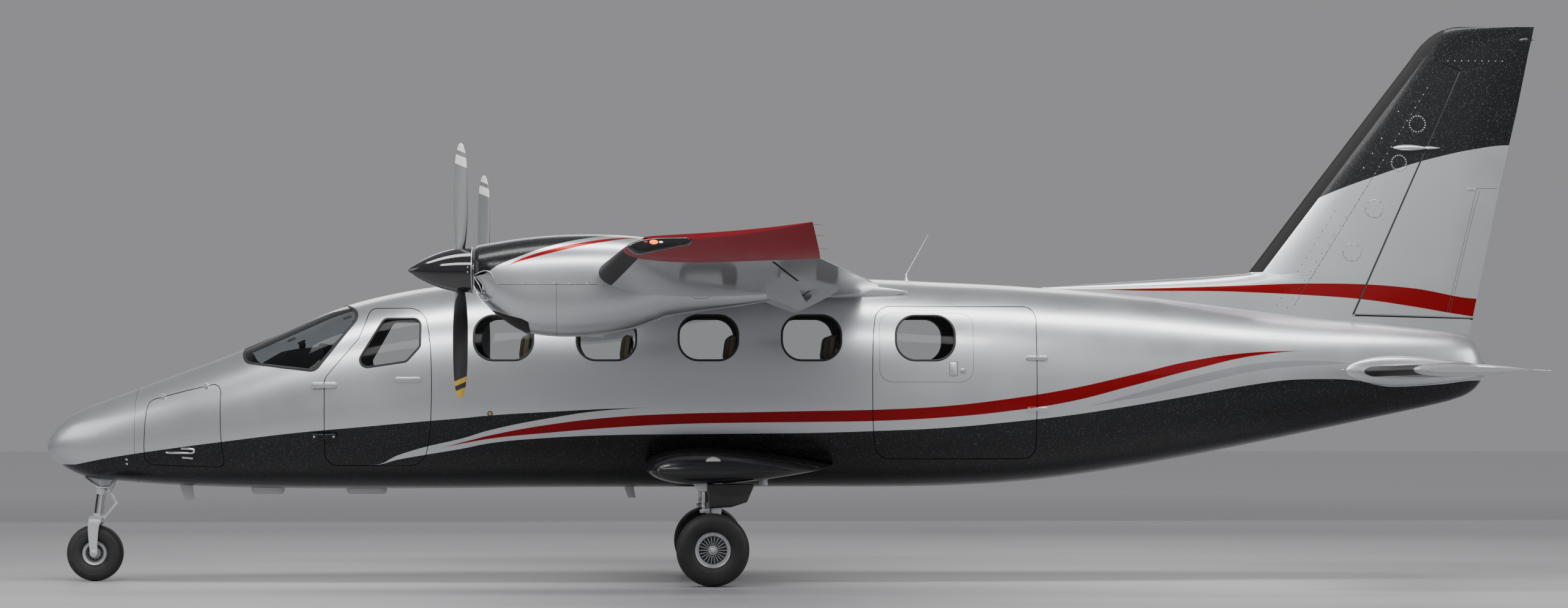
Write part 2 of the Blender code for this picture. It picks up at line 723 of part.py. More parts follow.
    cut(cabin, lifting_surface("wing_slot", WING_RIBS, WING_CAMBER, (-1.6, 1.6), grow=SEAT_GAP))
    node(bow, "nose_section", m["silver"])
    node(cockpit, "cockpit_section", m["silver"])
    node(cabin, "cabin_section", m["silver"])
    node(aft, "aft_cabin_section", m["silver"])

    tail = body("tail", FUSELAGE, table_stations(FUSELAGE, TAIL_JOINT + SEAT_GAP, 11.375))
    hollow = [7.90] + table_stations(FUSELAGE, 8.0, TAIL_CAVITY_END)
    cut(tail, body("tail_room", FUSELAGE, hollow, inset=TAIL_WALL))
    cut(tail, lifting_surface("tailplane_slot", TAIL_RIBS, 0.0, (-1.0, 0.0, 1.0), grow=SEAT_GAP))
    node(tail, "tail_cone", m["silver"])


def baggage_axis():
    """Ends of the nose baggage door's hinge line, just outside the skin along its top edge."""
    ends = []
    for station, z in (BAGGAGE_DOOR[3], BAGGAGE_DOOR[2]):
        ends.append(at(station, -(skin_y(station, z) + 0.018), z + RUNNING_GAP / 2))
    return ends


def make_seat(front, side, label, finish):
    """A plain seat of base, cushion and back, standing on the floor."""
    y = side * SEAT_Y
    seat = box("seat", front, front + 0.47, y - 0.215, y + 0.215, 1.19, 1.32)
    join(seat, box(f"{label}_base", front + 0.06, front + 0.40, y - 0.10, y + 0.10, FLOOR_TOP + SEAT_GAP, 1.20))
    outline = ((front + 0.40, 1.25), (front + 0.51, 1.25), (front + 0.58, 1.96), (front + 0.50, 1.96))
    join(seat, side_prism(f"{label}_back", outline, y - 0.20, y + 0.20))
    node(seat, label, finish)


def make_interior(m):
    """Floor, seats, and the instrument panel with its glare shield."""
    fit = WALL + SEAT_GAP
    stations = [CABIN_FRONT + SEAT_GAP] + [s for s in cabin_stations() if 1.6 < s < 7.8] + [AFT_BULKHEAD - SEAT_GAP]
    room = body("floor_room", FUSELAGE, stations, inset=fit)
    floor = box("floor", CABIN_FRONT - 0.1, AFT_BULKHEAD + 0.1, -0.9, 0.9, FLOOR_TOP - FLOOR_THICKNESS, FLOOR_TOP)
    keep(floor, room)
    node(floor, "cabin_floor", m["trim"])
    for side, label in ((-1, "left"), (1, "right")):
        make_seat(CREW_SEAT_STATION, side, f"crew_seat_{label}", m["seat"])
        for i, front in enumerate(SEAT_ROWS):
            make_seat(front, side, f"seat_{i + 1}_{label}", m["seat"])

    shape = ((1.63, 1.60), (1.72, 1.20), (1.90, 1.20), (1.93, 1.62), (2.06, 1.655), (2.05, 1.685), (1.75, 1.69))
    panel = side_prism("panel", anticlockwise(shape), -0.9, 0.9)
    keep(panel, room)
    node(panel, "instrument_panel", m["trim"])


def make_wing(m):
    spans = (-TIP_JOINT + SEAT_GAP, -3.0, 0.0, 3.0, TIP_JOINT - SEAT_GAP)
    wing = lifting_surface("wing_whole", WING_RIBS, WING_CAMBER, spans)
    for side, label in ((-1, "left"), (1, "right")):
        for name, span, fraction in (("aileron", AILERON_SPAN, AILERON_HINGE), ("flap", FLAP_SPAN, FLAP_HINGE)):
            whole = lifting_surface(f"{name}_{label}", WING_RIBS, WING_CAMBER, spans)
            full_name = f"{name}_{label}"
            hinged_surface(full_name, whole, WING_RIBS, WING_CAMBER, span, fraction, side, m["silver"], wing)
        tip_spans = [side * s for s in (TIP_JOINT, 6.75, 6.90, 7.00)]
        tip = lifting_surface("tip", curved_tip_ribs(), WING_CAMBER, tip_spans)
        node(tip, f"wing_tip_{label}", m["red"])
    node(wing, "wing", m["silver"])


def curved_tip_ribs():
    """Ribs of the upswept tip: the edge line turns up along a quarter wave."""
    first = rib_at(WING_RIBS, TIP_JOINT)
    last = WING_RIBS[-1]
    ribs = []
    for span in (TIP_JOINT, 6.75, 6.90, SPAN / 2):
        t = (span - TIP_JOINT) / (SPAN / 2 - TIP_JOINT)
        rise = 1 - cos(t * pi / 2)
        ribs.append([span] + [a + (b - a) * rise for a, b in zip(first[1:], last[1:])])
    return ribs


def make_tail(m):
    spans = (-2.45, -2.30, 0.0, 2.30, 2.45)
    tailplane = lifting_surface("tailplane_whole", TAIL_RIBS, 0.0, spans)
    for side, label in ((-1, "left"), (1, "right")):
        whole = lifting_surface(f"elevator_{label}", TAIL_RIBS, 0.0, spans)
        name = f"elevator_{label}"
        hinged_surface(name, whole, TAIL_RIBS, 0.0, ELEVATOR_SPAN, ELEVATOR_HINGE, side, m["silver"], tailplane)
    node(tailplane, "tailplane", m["silver"])

    skin = body("skin_for_fin", FUSELAGE, table_stations(FUSELAGE, 6.5, 11.375), inset=-SEAT_GAP)
    fin = fin_whole("fin")
    dorsal = side_prism("dorsal", anticlockwise(DORSAL), -DORSAL_HALF_WIDTH, DORSAL_HALF_WIDTH)
    join(fin, dorsal)
    cut(fin, skin)
    rudder = fin_whole("rudder")

    foot, head = [at(x, 0, z) for x, z in RUDDER_AXIS]
    along = (head - foot).normalized()
    square = Vector((along.z, 0, -along.x))
    horn = head - square * 0.235
    corners = [foot, at(RUDDER_FOOT[0], 0, RUDDER_FOOT[1]), at(11.95, 0, 2.4), at(11.95, 0, 4.6), at(11.30, 0, 4.6)]
    corners += [horn + Vector((0.10, 0, 0.24)), horn, head]
    area = [(p.x + REFERENCE_STATION, p.z) for p in corners]
    keep(rudder, side_prism("rudder_area", grown(anticlockwise(area), 0.0), -0.4, 0.4))
    r0, r1 = [fin_half_thickness(x, z) for x, z in RUDDER_AXIS]
    lateral = Vector((0, 1, 0))
    lower, upper = foot + along * 0.004, head - along * 0.006
    join(rudder, hinge_cone("rudder_nose", lower, upper, r0 * NOSE_FIT, r1 * NOSE_FIT, lateral))
    add_pin(rudder, "rudder_pin", foot, -along, RUDDER_FOOT_GAP / along.z)
    node(rudder, "rudder", m["black"], pivot=foot)
    drop = RUDDER_FOOT_GAP - RUNNING_GAP
    low_foot = foot - along * drop / along.z
    gap_area = [(low_foot.x + REFERENCE_STATION, low_foot.z), (area[1][0], area[1][1] - drop)] + area[2:]
    cut(fin, side_prism("rudder_gap", grown(anticlockwise(gap_area), RUNNING_GAP), -0.4, 0.4))
    cove_end = head + along * 0.05
    cove_foot = low_foot - along * RUNNING_GAP * 1.2
    cut(fin, hinge_cone("rudder_cove", cove_foot, cove_end, r0 + RUNNING_GAP, r1 + RUNNING_GAP, lateral))
    node(fin, "fin", m["silver"])


def fin_rib(z):
    return rib_at(FIN_RIBS, z)


def fin_half_thickness(station, z):
    _, x0, x1, ratio = fin_rib(z)
    return wall_thickness_ratio((station - x0) / (x1 - x0), ratio) * (x1 - x0)


def fin_whole(name):
    """Fin and rudder as one solid, through level sections."""
    rings = []
    for z, x0, x1, ratio in FIN_RIBS:
        rings.append([at(x0 + x, y, z) for x, y in aerofoil(x1 - x0, ratio, 0.0)])
    return loft(name, rings)


def make_nacelles(m):
    stations = [row[0] for row in NACELLE]
    for side, label in ((-1, "left"), (1, "right")):
        y = side * NACELLE_Y
        cowl = body("cowl", NACELLE, stations, centre_y=y, count=24)
        bay_stations = [3.50, 3.62, 3.80, 4.05, FIREWALL]
        bay = body(f"engine_bay_{label}", NACELLE, bay_stations, inset=COWL_WALL, centre_y=y, count=16)
        cut(cowl, bay)
        for out in (-1, 1):
            start = at(3.40, y + out * 0.245, 2.265)
            end = at(3.58, y + out * 0.215, 2.265)
            cut(cowl, rod(f"intake_{label}_{out}", start, end, 0.075, count=16))
        slot_spans = (y - 0.62, y + 0.62)
        cut(cowl, lifting_surface(f"nacelle_{label}_slot", WING_RIBS, WING_CAMBER, slot_spans, grow=SEAT_GAP))
        node(cowl, f"nacelle_{label}", m["silver"])

        y0, y1 = y - ENGINE_HALF_WIDTH, y + ENGINE_HALF_WIDTH
        front = rectangle(ENGINE_FRONT, FIREWALL - SEAT_GAP, ENGINE_BOTTOM, ENGINE_TOP)
        engine = side_prism("engine", front, y0, y1)
        keep(engine, body(f"engine_room_{label}", NACELLE, bay_stations, inset=COWL_WALL + 0.01, centre_y=y, count=12))
        node(engine, f"engine_block_{label}", m["iron"])
        make_propeller(m, y, label)


def spinner_radius(station, base_radius):
    t = (station - SPINNER_TIP) / (SPINNER_BASE - SPINNER_TIP)
    return base_radius * sin(pi / 2 * max(t, 0.0) ** SPINNER_FULLNESS)


def make_propeller(m, y, label):
    fractions = (0.0025, 0.03, 0.10, 0.22, 0.42, 0.68, 1.0)
    length = SPINNER_BASE - SPINNER_TIP - SEAT_GAP
    profile = [(SPINNER_TIP + f * length, spinner_radius(SPINNER_TIP + f * length, SPINNER_RADIUS)) for f in fractions]
    spinner = turned_x("spinner", profile, y, PROP_Z, 24)
    back = []
    for f in fractions[1:]:
        station = SPINNER_TIP + 0.02 + f * length
        back.append((station, spinner_radius(station - 0.02, SPINNER_RADIUS - SPINNER_SHELL)))
    cut(spinner, turned_x(f"spinner_{label}_inside", back, y, PROP_Z, 24))
    for way in (-1, 1):
        z = sorted((PROP_Z + way * 0.10, PROP_Z + way * 0.30))
        name = f"spinner_{label}_slot_{way}"
        cut(spinner, box(name, BLADE_STATION - 0.060, SPINNER_BASE + 0.02, y - 0.056, y + 0.056, z[0], z[1]))
    node(spinner, f"spinner_{label}", m["black"], pivot=at(BLADE_STATION, y, PROP_Z))

    hub = rod("hub", at(3.255, y, PROP_Z), at(SPINNER_BASE + 0.004, y, PROP_Z), 0.062, count=24)
    plate = rod(f"plate_{label}", at(SPINNER_BASE, y, PROP_Z), at(SPINNER_BASE + 0.012, y, PROP_Z), 0.164, count=24)
    shaft_end = NACELLE[0][0] - SEAT_GAP
    shaft = rod(f"shaft_{label}", at(SPINNER_BASE + 0.005, y, PROP_Z), at(shaft_end, y, PROP_Z), 0.050, count=20)
    join(hub, plate)
    join(hub, shaft)
    for way in (-1, 1):
        join(hub, blade(f"blade_{label}_{way}", y, way))
    node(hub, f"propeller_{label}", m["blade"], pivot=at(BLADE_STATION, y, PROP_Z))


def blade(name, y, way):
    """One blade as a loft of lens sections, turned to its pitch."""
    rings = []
    for radius, chord, thickness, pitch in BLADE:
        turn = radians(pitch)
        ring = []
        count = 10
        for i in range(count):
            angle = 2 * pi * i / count
            a = chord / 2 * cos(angle)
            b = thickness / 2 * sin(angle)
            dx = a * sin(turn) - b * cos(turn)
            dy = -(a * cos(turn) + b * sin(turn)) * way
            ring.append(at(BLADE_STATION + dx, y + dy, PROP_Z + way * radius))
        rings.append(ring)
    return loft(name, rings)


def wheel_profile(bore, rim, half_width):
    """Hub, web and rim of a wheel as a closed profile of radii and side offsets."""
    hub = bore + 0.022
    bead = rim - SEAT_GAP
    well = rim - 0.020
    return (
        (bore, -half_width * 0.62), (hub, -half_width * 0.62), (hub + 0.008, -0.014), (well, -0.014),
        (bead, -half_width * 0.72), (bead, half_width * 0.72), (well, 0.014), (hub + 0.008, 0.014),
        (hub, half_width * 0.62), (bore, half_width * 0.62),
    )


def tyre_profile(radius, rim, half_width, count=10):
    """A rounded tread and shoulders with a flat seat on the rim."""
    half_height = (radius - rim) * 0.56
    middle = radius - half_height
    profile = []
    for i in range(count):
        angle = 2 * pi * i / count
        r = max(middle + half_height * power_curve(cos(angle), 2.6), rim)
        profile.append((r, half_width * power_curve(sin(angle), 2.6)))
    return profile


def make_main_gear(m):
    skin = body("skin_for_sponson", FUSELAGE, [s for s in cabin_stations() if 3.2 < s < 7.6], inset=-SEAT_GAP)
    for side, label in ((-1, "left"), (1, "right")):
        rings = []
        for span, front, rear, middle, half in SPONSON_RIBS:
            ring = []
            for x, z in aerofoil(rear - front, 2 * half / (rear - front), 0.0, count=9, edge=0.004):
                ring.append(at(front + x, side * span, middle + z))
            rings.append(ring)
        sponson = loft("sponson", rings)
        cut(sponson, skin)
        pad_top = at(JACK_PAD[0], side * JACK_PAD[1], 0.88)
        pad_foot = at(JACK_PAD[0], side * JACK_PAD[1], JACK_PAD_BOTTOM)
        join(sponson, rod(f"jack_pad_{label}", pad_top, pad_foot, 0.035, count=20))
        socket = side_prism(f"leg_socket_{label}", grown(MAIN_LEG, SEAT_GAP), side * (LEG_Y[0] - SEAT_GAP),
                            side * (LEG_Y[1] + SEAT_GAP))
        cut(sponson, socket)
        node(sponson, f"sponson_{label}", m["black"])

        leg = side_prism("leg", MAIN_LEG, side * LEG_Y[0], side * LEG_Y[1])
        station, y = MAIN_WHEEL
        axle = rod(f"axle_{label}", at(station, side * 1.05, MAIN_RADIUS), at(station, side * 1.335, MAIN_RADIUS),
                   AXLE_RADIUS, count=24)
        join(leg, axle)
        cap = rod(f"axle_shoulder_{label}", at(station, side * 1.08, MAIN_RADIUS),
                  at(station, side * (y - 0.0625), MAIN_RADIUS), 0.034, count=24)
        join(leg, cap)
        node(leg, f"main_leg_{label}", m["grey"])

        centre = at(station, side * y, MAIN_RADIUS)
        rim = turned("rim", wheel_profile(BORE_RADIUS, MAIN_RIM, MAIN_HALF_WIDTH), centre, WHEEL_SIDES)
        node(rim, f"main_wheel_{label}", m["grey"], pivot=centre)
        tyre = turned("tyre", tyre_profile(MAIN_RADIUS, MAIN_RIM, MAIN_HALF_WIDTH), centre, WHEEL_SIDES)
        node(tyre, f"main_tyre_{label}", m["rubber"], pivot=centre)


def make_nose_gear(m):
    lean = Vector((sin(STRUT_LEAN), 0, cos(STRUT_LEAN)))
    foot = at(STRUT_FOOT[0], 0, STRUT_FOOT[1])
    collar_top = foot + lean * 0.050

    piston_foot = collar_top + lean * SEAT_GAP
    leg = rod("nose_piston", piston_foot, foot + lean * 0.36, PISTON_RADIUS, count=16)
    fairing = ((0.300, 0.86), (0.395, 0.735), (0.490, 0.735), (0.540, 0.86))
    join(leg, side_prism("nose_leg_fairing", anticlockwise(fairing), -0.048, 0.048))
    skin = body("skin_for_nose_leg", FUSELAGE, table_stations(FUSELAGE, 0.05, 1.2), inset=-SEAT_GAP)
    cut(leg, skin)
    node(leg, "nose_leg", m["grey"])

    fork = rod("nose_collar", foot - lean * 0.020, collar_top, 0.038, count=16)
    crown = ((0.325, 0.456), (0.435, 0.456), (0.428, 0.500), (0.348, 0.500))
    join(fork, side_prism("fork_crown", crown, -FORK_OUTER, FORK_OUTER))
    x, z = NOSE_WHEEL
    arm = ((x - 0.024, z - 0.028), (x + 0.024, z - 0.028), (x + 0.030, z + 0.03), (0.434, 0.470), (0.326, 0.470),
           (x - 0.030, z + 0.03))
    for side in (-1, 1):
        join(fork, side_prism(f"fork_arm_{side}", arm, side * FORK_INNER, side * FORK_OUTER))
    axle = rod("nose_axle", at(x, -FORK_OUTER - 0.012, z), at(x, FORK_OUTER + 0.012, z), NOSE_AXLE_RADIUS, count=16)
    join(fork, axle)
    for side in (-1, 1):
        shoulder = rod(f"nose_axle_shoulder_{side}", at(x, side * 0.100, z), at(x, side * 0.0504, z), 0.026, count=16)
        join(fork, shoulder)
    ring_foot = foot + lean * 0.215
    ring = rod("torque_ring", ring_foot, ring_foot + lean * 0.034, 0.042, count=16)
    cut(ring, rod("torque_ring_bore", ring_foot - lean * 0.01, ring_foot + lean * 0.05, PISTON_RADIUS + 0.0008, count=16))
    join(fork, ring)
    link = ((0.420, 0.470), (0.448, 0.478), (0.560, 0.600), (0.560, 0.624), (0.474, 0.724), (0.458, 0.712),
            (0.526, 0.612), (0.416, 0.496))
    join(fork, side_prism("torque_link", anticlockwise(link), -0.018, 0.018))
    node(fork, "nose_fork", m["grey"], pivot=foot)

    centre = at(x, 0, z)
    rim = turned("nose_rim", wheel_profile(NOSE_BORE_RADIUS, NOSE_RIM, NOSE_HALF_WIDTH), centre, WHEEL_SIDES)
    node(rim, "nose_wheel", m["grey"], pivot=centre)
    tyre = turned("nose_tyre_body", tyre_profile(NOSE_WHEEL[1], NOSE_RIM, NOSE_HALF_WIDTH), centre, WHEEL_SIDES)
    node(tyre, "nose_tyre", m["rubber"], pivot=centre)


def main():
    clear_scene()
    finishes = make_materials()
    make_fuselage(finishes)
    make_interior(finishes)
    make_wing(finishes)
    make_tail(finishes)
    make_nacelles(finishes)
    make_main_gear(finishes)
    make_nose_gear(finishes)


main()
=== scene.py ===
"""Looks of the commuter aircraft: fine skins, paint, glass, cabin and gear around its CAD frame.

Metres, +Z up, nose toward -X, left side toward -Y. Stations run aft from the nose tip.
"""
from math import copysign, cos, exp, pi, radians, sin, sqrt, tan

import bmesh
import bpy
import numpy as np
from mathutils import Matrix, Vector
from mathutils.bvhtree import BVHTree
from mathutils.interpolate import poly_3d_calc
from mathutils.kdtree import KDTree


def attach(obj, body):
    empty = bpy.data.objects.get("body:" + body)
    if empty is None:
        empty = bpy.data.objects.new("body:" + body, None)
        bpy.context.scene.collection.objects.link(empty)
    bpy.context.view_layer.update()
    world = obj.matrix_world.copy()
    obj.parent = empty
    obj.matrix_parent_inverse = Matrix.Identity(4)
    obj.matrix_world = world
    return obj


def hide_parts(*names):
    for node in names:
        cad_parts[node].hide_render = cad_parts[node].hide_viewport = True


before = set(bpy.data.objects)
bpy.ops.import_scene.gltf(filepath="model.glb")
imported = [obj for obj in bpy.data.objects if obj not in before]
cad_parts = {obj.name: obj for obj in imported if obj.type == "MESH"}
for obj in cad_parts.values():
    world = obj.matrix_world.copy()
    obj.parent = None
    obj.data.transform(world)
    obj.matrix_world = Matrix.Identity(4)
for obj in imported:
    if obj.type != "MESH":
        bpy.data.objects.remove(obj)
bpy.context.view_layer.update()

LENGTH = 11.80
REFERENCE_STATION = LENGTH / 2
SPAN = 14.00
SEAT_GAP = 0.0003
RUNNING_GAP = 0.006
WALL = 0.050
TAIL_WALL = 0.028
RING_POINTS = 112
INNER_POINTS = 72
FAR_OUT = 9.0
UP = Vector((0, 0, 1))
AFT = Vector((1, 0, 0))
ACROSS = Vector((0, 1, 0))
SIDES = ((-1, "left"), (1, "right"))

# Fuselage: station, underside, top, half width, squareness of the section
FUSELAGE = (
    (0.00, 1.025, 1.095, 0.035, 2.0),
    (0.03, 0.985, 1.165, 0.090, 2.0),
    (0.10, 0.928, 1.240, 0.165, 2.1),
    (0.20, 0.865, 1.313, 0.235, 2.2),
    (0.35, 0.812, 1.380, 0.305, 2.3),
    (0.50, 0.795, 1.434, 0.362, 2.35),
    (0.73, 0.776, 1.520, 0.435, 2.4),
    (1.00, 0.757, 1.619, 0.510, 2.45),
    (1.50, 0.738, 1.806, 0.630, 2.5),
    (2.00, 0.730, 2.024, 0.720, 2.6),
    (2.30, 0.729, 2.152, 0.757, 2.65),
    (2.75, 0.729, 2.268, 0.790, 2.7),
    (3.25, 0.731, 2.340, 0.806, 2.75),
    (4.00, 0.738, 2.372, 0.812, 2.8),
    (6.00, 0.742, 2.385, 0.812, 2.8),
    (6.50, 0.741, 2.380, 0.806, 2.8),
    (7.00, 0.747, 2.358, 0.792, 2.75),
    (7.50, 0.770, 2.335, 0.762, 2.7),
    (7.95, 0.812, 2.305, 0.720, 2.6),
    (8.50, 0.892, 2.262, 0.650, 2.5),
    (9.00, 0.980, 2.205, 0.577, 2.4),
    (9.50, 1.078, 2.142, 0.495, 2.3),
    (10.00, 1.180, 2.088, 0.408, 2.2),
    (10.50, 1.285, 2.045, 0.318, 2.1),
    (11.00, 1.393, 1.985, 0.222, 2.05),
    (11.20, 1.450, 1.945, 0.175, 2.0),
    (11.31, 1.515, 1.880, 0.125, 2.0),
    (11.375, 1.600, 1.740, 0.055, 2.0),
)
NOSE_CAP_END = 0.10
TAIL_CAP_START = 11.375
TAIL_CAP_LENGTH = 0.024
RADOME_STATION = 0.73
BAY_BULKHEAD = 1.54
CABIN_FRONT = 1.58
AFT_BULKHEAD = 7.90
TAIL_JOINT = 7.95
TAIL_CAVITY_END = 11.10

# Cabin
FLOOR_TOP = 0.90
WINDOW_FRONTS = (3.385, 4.180, 4.970, 5.770)
DOOR_WINDOW_FRONT = 6.655
WINDOW_LENGTH = 0.455
WINDOW_SILL = 1.735
WINDOW_HEIGHT = 0.345
WINDOW_RADIUS = 0.150
SEAT_ROWS = (3.245, 4.030, 4.850, 5.630)
CREW_SEAT_STATION = 2.500
SEAT_Y = 0.36
WINDSHIELD = ((1.60, 1.72), (2.15, 1.655), (2.50, 2.10), (2.16, 2.26), (1.51, 2.03))
WINDSHIELD_POST = 0.025
WINDSHIELD_RADIUS = 0.07
CREW_WINDOW_RADIUS = 0.055
PANE_GAP = 0.0006
# Insets of a pane's outer and inner face from the skin
PANE_FACES = (0.005, 0.010)
WINDSHIELD_FACES = (0.0005, 0.0085)
# Distances from the middle between which a window is cut
CUT_START = 0.2
CUT_END = 1.1

# Doors: outlines as (station, height) on the left side
CREW_DOOR = ((2.23, 0.92), (3.045, 0.92), (3.045, 2.135), (2.635, 2.135), (2.23, 1.585))
CREW_WINDOW = ((2.455, 1.665), (2.86, 1.725), (2.965, 1.84), (2.965, 2.055), (2.685, 2.055))
CREW_AXIS = (2.2265, 0.772)
CREW_HINGE_HEIGHTS = (1.14, 1.54)
CARGO_DOOR = ((6.475, 0.97), (7.750, 0.97), (7.750, 2.15), (6.475, 2.15))
CARGO_AXIS = (7.7535, 0.765)
CARGO_HINGE_HEIGHTS = (1.356, 1.752)
BAGGAGE_DOOR = ((0.790, 0.905), (1.450, 0.905), (1.430, 1.560), (0.815, 1.415))
BAGGAGE_CORNER = 0.07
BAGGAGE_SKIN = 0.50
BAGGAGE_LEAN = 0.255
BAGGAGE_RISE = 0.20
BAGGAGE_DEPTHS = (-0.20, 0.30)
DOOR_CORNER = 0.10
DOOR_DEPTHS = (-0.30, 0.62)

# Wing ribs: span position, leading edge station and height, trailing edge station and height, thickness
WING_RIBS = (
    (0.00, 4.370, 2.348, 6.400, 2.258, 0.160),
    (3.00, 4.370, 2.348, 6.400, 2.258, 0.160),
    (6.60, 4.568, 2.388, 5.833, 2.338, 0.125),
    (7.00, 4.700, 2.452, 5.770, 2.552, 0.030),
)
WING_CAMBER = 0.015
TIP_CAMBER = -0.022
TIP_JOINT = 6.60
FLAP_SPAN = (0.95, 2.98)
AILERON_SPAN = (4.25, 6.45)
FLAP_HINGE = 0.76
AILERON_HINGE = 0.76
TAIL_RIBS = (
    (0.00, 10.345, 1.650, 11.430, 1.650, 0.115),
    (2.30, 10.425, 1.650, 11.305, 1.650, 0.115),
    (2.45, 10.500, 1.650, 11.290, 1.650, 0.050),
)
ELEVATOR_SPAN = (0.34, 2.28)
ELEVATOR_HINGE = 0.62
# Radius of a surface's round nose, as a share of the hinge's half thickness
HINGE_NOSE = 0.985

# Fin ribs: height, leading edge station, trailing edge station, thickness
FIN_RIBS = (
    (1.95, 9.20, 11.270, 0.095),
    (2.43, 9.50, 11.372, 0.095),
    (3.09, 10.00, 11.510, 0.095),
    (3.74, 10.50, 11.660, 0.095),
    (4.13, 10.800, 11.740, 0.090),
    (4.19, 10.842, 11.752, 0.085),
    (4.25, 10.890, 11.766, 0.080),
    (4.31, 10.955, 11.780, 0.072),
    (4.345, 11.006, 11.787, 0.063),
    (4.369, 11.056, 11.792, 0.054),
    (4.385, 11.104, 11.795, 0.046),
    (4.395, 11.152, 11.798, 0.038),
    (4.400, 11.200, 11.800, 0.030),
)
# Dorsal fillet: height, front station; its sections join the fin's at FILLET_JOIN
DORSAL = (
    (1.95, 7.80), (2.20, 7.82), (2.300, 7.84), (2.318, 7.86), (2.340, 8.18), (2.362, 8.50), (2.378, 8.77),
    (2.392, 9.00), (2.402, 9.15), (2.412, 9.30), (2.422, 9.41), (2.430, 9.50),
)
FILLET_TOP = 2.43
FILLET_JOIN = 9.90
FIN_BLACK = (
    (9.9, 2.95), (10.0, 3.0), (10.2, 3.09), (10.5, 3.2), (10.8, 3.3), (11.0, 3.355), (11.3, 3.42), (11.6, 3.455),
)
RUDDER_AXIS = ((10.34, 2.11), (11.205, 4.045))
RUDDER_FOOT = (11.35, 2.085)
RUDDER_FOOT_GAP = 0.020
RUDDER_SLOT = 0.0045

# Nacelles: station, underside, top, half width, squareness
NACELLE_Y = 2.35
NACELLE = (
    (3.45, 2.215, 2.560, 0.310, 2.3),
    (3.52, 2.135, 2.572, 0.358, 2.5),
    (3.62, 2.048, 2.588, 0.395, 2.7),
    (3.80, 1.935, 2.615, 0.425, 2.9),
    (4.05, 1.893, 2.638, 0.438, 3.0),
    (4.35, 1.903, 2.645, 0.432, 3.0),
    (4.62, 1.948, 2.632, 0.412, 2.9),
    (4.82, 2.015, 2.608, 0.385, 2.8),
    (5.05, 2.058, 2.565, 0.335, 2.6),
    (5.35, 2.100, 2.480, 0.250, 2.4),
    (5.62, 2.145, 2.400, 0.155, 2.2),
    (5.77, 2.180, 2.330, 0.070, 2.0),
)
NACELLE_POINTS = 88
NACELLE_REAR_INSET = 0.009
SPLIT_HEIGHT = 2.265
FASTENER_HEIGHT = 2.272
PROP_Z = 2.380
SPINNER_TIP = 2.955
SPINNER_BASE = 3.425
SPINNER_RADIUS = 0.170
BLADE_STATION = 3.345
# Blade: radius from the axis, chord, thickness, pitch in degrees
BLADE = (
    (0.060, 0.068, 0.066, 48.0),
    (0.150, 0.074, 0.056, 48.0),
    (0.230, 0.112, 0.034, 48.0),
    (0.400, 0.146, 0.022, 46.0),
    (0.600, 0.150, 0.017, 44.0),
    (0.760, 0.140, 0.013, 42.0),
    (0.860, 0.112, 0.010, 41.0),
    (0.915, 0.070, 0.008, 40.0),
    (0.942, 0.024, 0.006, 40.0),
)

# Landing gear
MAIN_WHEEL = (5.225, 1.250)
MAIN_RADIUS = 0.280
MAIN_RIM = 0.138
MAIN_HALF_WIDTH = 0.100
WHEEL_RIBS = 22
SPONSON_RIBS = (
    (0.30, 4.690, 6.180, 0.925, 0.150),
    (0.70, 4.710, 6.160, 0.915, 0.145),
    (0.95, 4.735, 6.080, 0.895, 0.120),
    (1.10, 4.800, 5.960, 0.880, 0.095),
    (1.18, 4.930, 5.780, 0.875, 0.050),
)
NOSE_WHEEL = (0.378, 0.222)
NOSE_RADIUS = 0.222
NOSE_RIM = 0.098
NOSE_HALF_WIDTH = 0.080
STRUT_FOOT = (0.3915, 0.480)
STRUT_LEAN = radians(7.6)
LEG_Y = 1.062
DAMPER_STATION = 5.160


def at(station, y, z):
    return Vector((station - REFERENCE_STATION, y, z))


# Shapes


def interpolate(table, x, column):
    """A smooth curve through one column of a table of stations."""
    last = len(table) - 1
    i = 0
    while i < last - 1 and x > table[i + 1][0]:
        i += 1
    x0, x1 = table[i][0], table[i + 1][0]
    y0, y1 = table[i][column], table[i + 1][column]
    chord = (y1 - y0) / (x1 - x0)
    before = table[max(i - 1, 0)]
    after = table[min(i + 2, last)]
    m0 = (y1 - before[column]) / (x1 - before[0]) if i > 0 else chord
    m1 = (after[column] - y0) / (after[0] - x0) if i + 2 <= last else chord
    t = min(max((x - x0) / (x1 - x0), 0.0), 1.0)
    h = x1 - x0
    return (
        y0 * (1 + 2 * t) * (1 - t) ** 2
        + h * m0 * t * (1 - t) ** 2
        + y1 * t * t * (3 - 2 * t)
        - h * m1 * t * t * (1 - t)
    )


def power_curve(value, power):
    return copysign(abs(value) ** (2.0 / power), value)


def section(table, station):
    """Underside, top, half width and squareness; the fuselage's two ends are rounded off."""
    if table is FUSELAGE and station < NOSE_CAP_END:
        reach = sqrt(max(station, 0.0) / NOSE_CAP_END)
        middle = 1.060 + 0.24 * station
        return middle - 0.156 * reach, middle + 0.156 * reach, 0.165 * reach, 2.0 + station
    if table is FUSELAGE and station > TAIL_CAP_START:
        shrink = sqrt(max(1.0 - ((station - TAIL_CAP_START) / TAIL_CAP_LENGTH) ** 2, 0.0))
        return 1.67 - 0.07 * shrink, 1.67 + 0.07 * shrink, 0.055 * shrink, 2.0
    return [interpolate(table, station, column) for column in (1, 2, 3, 4)]


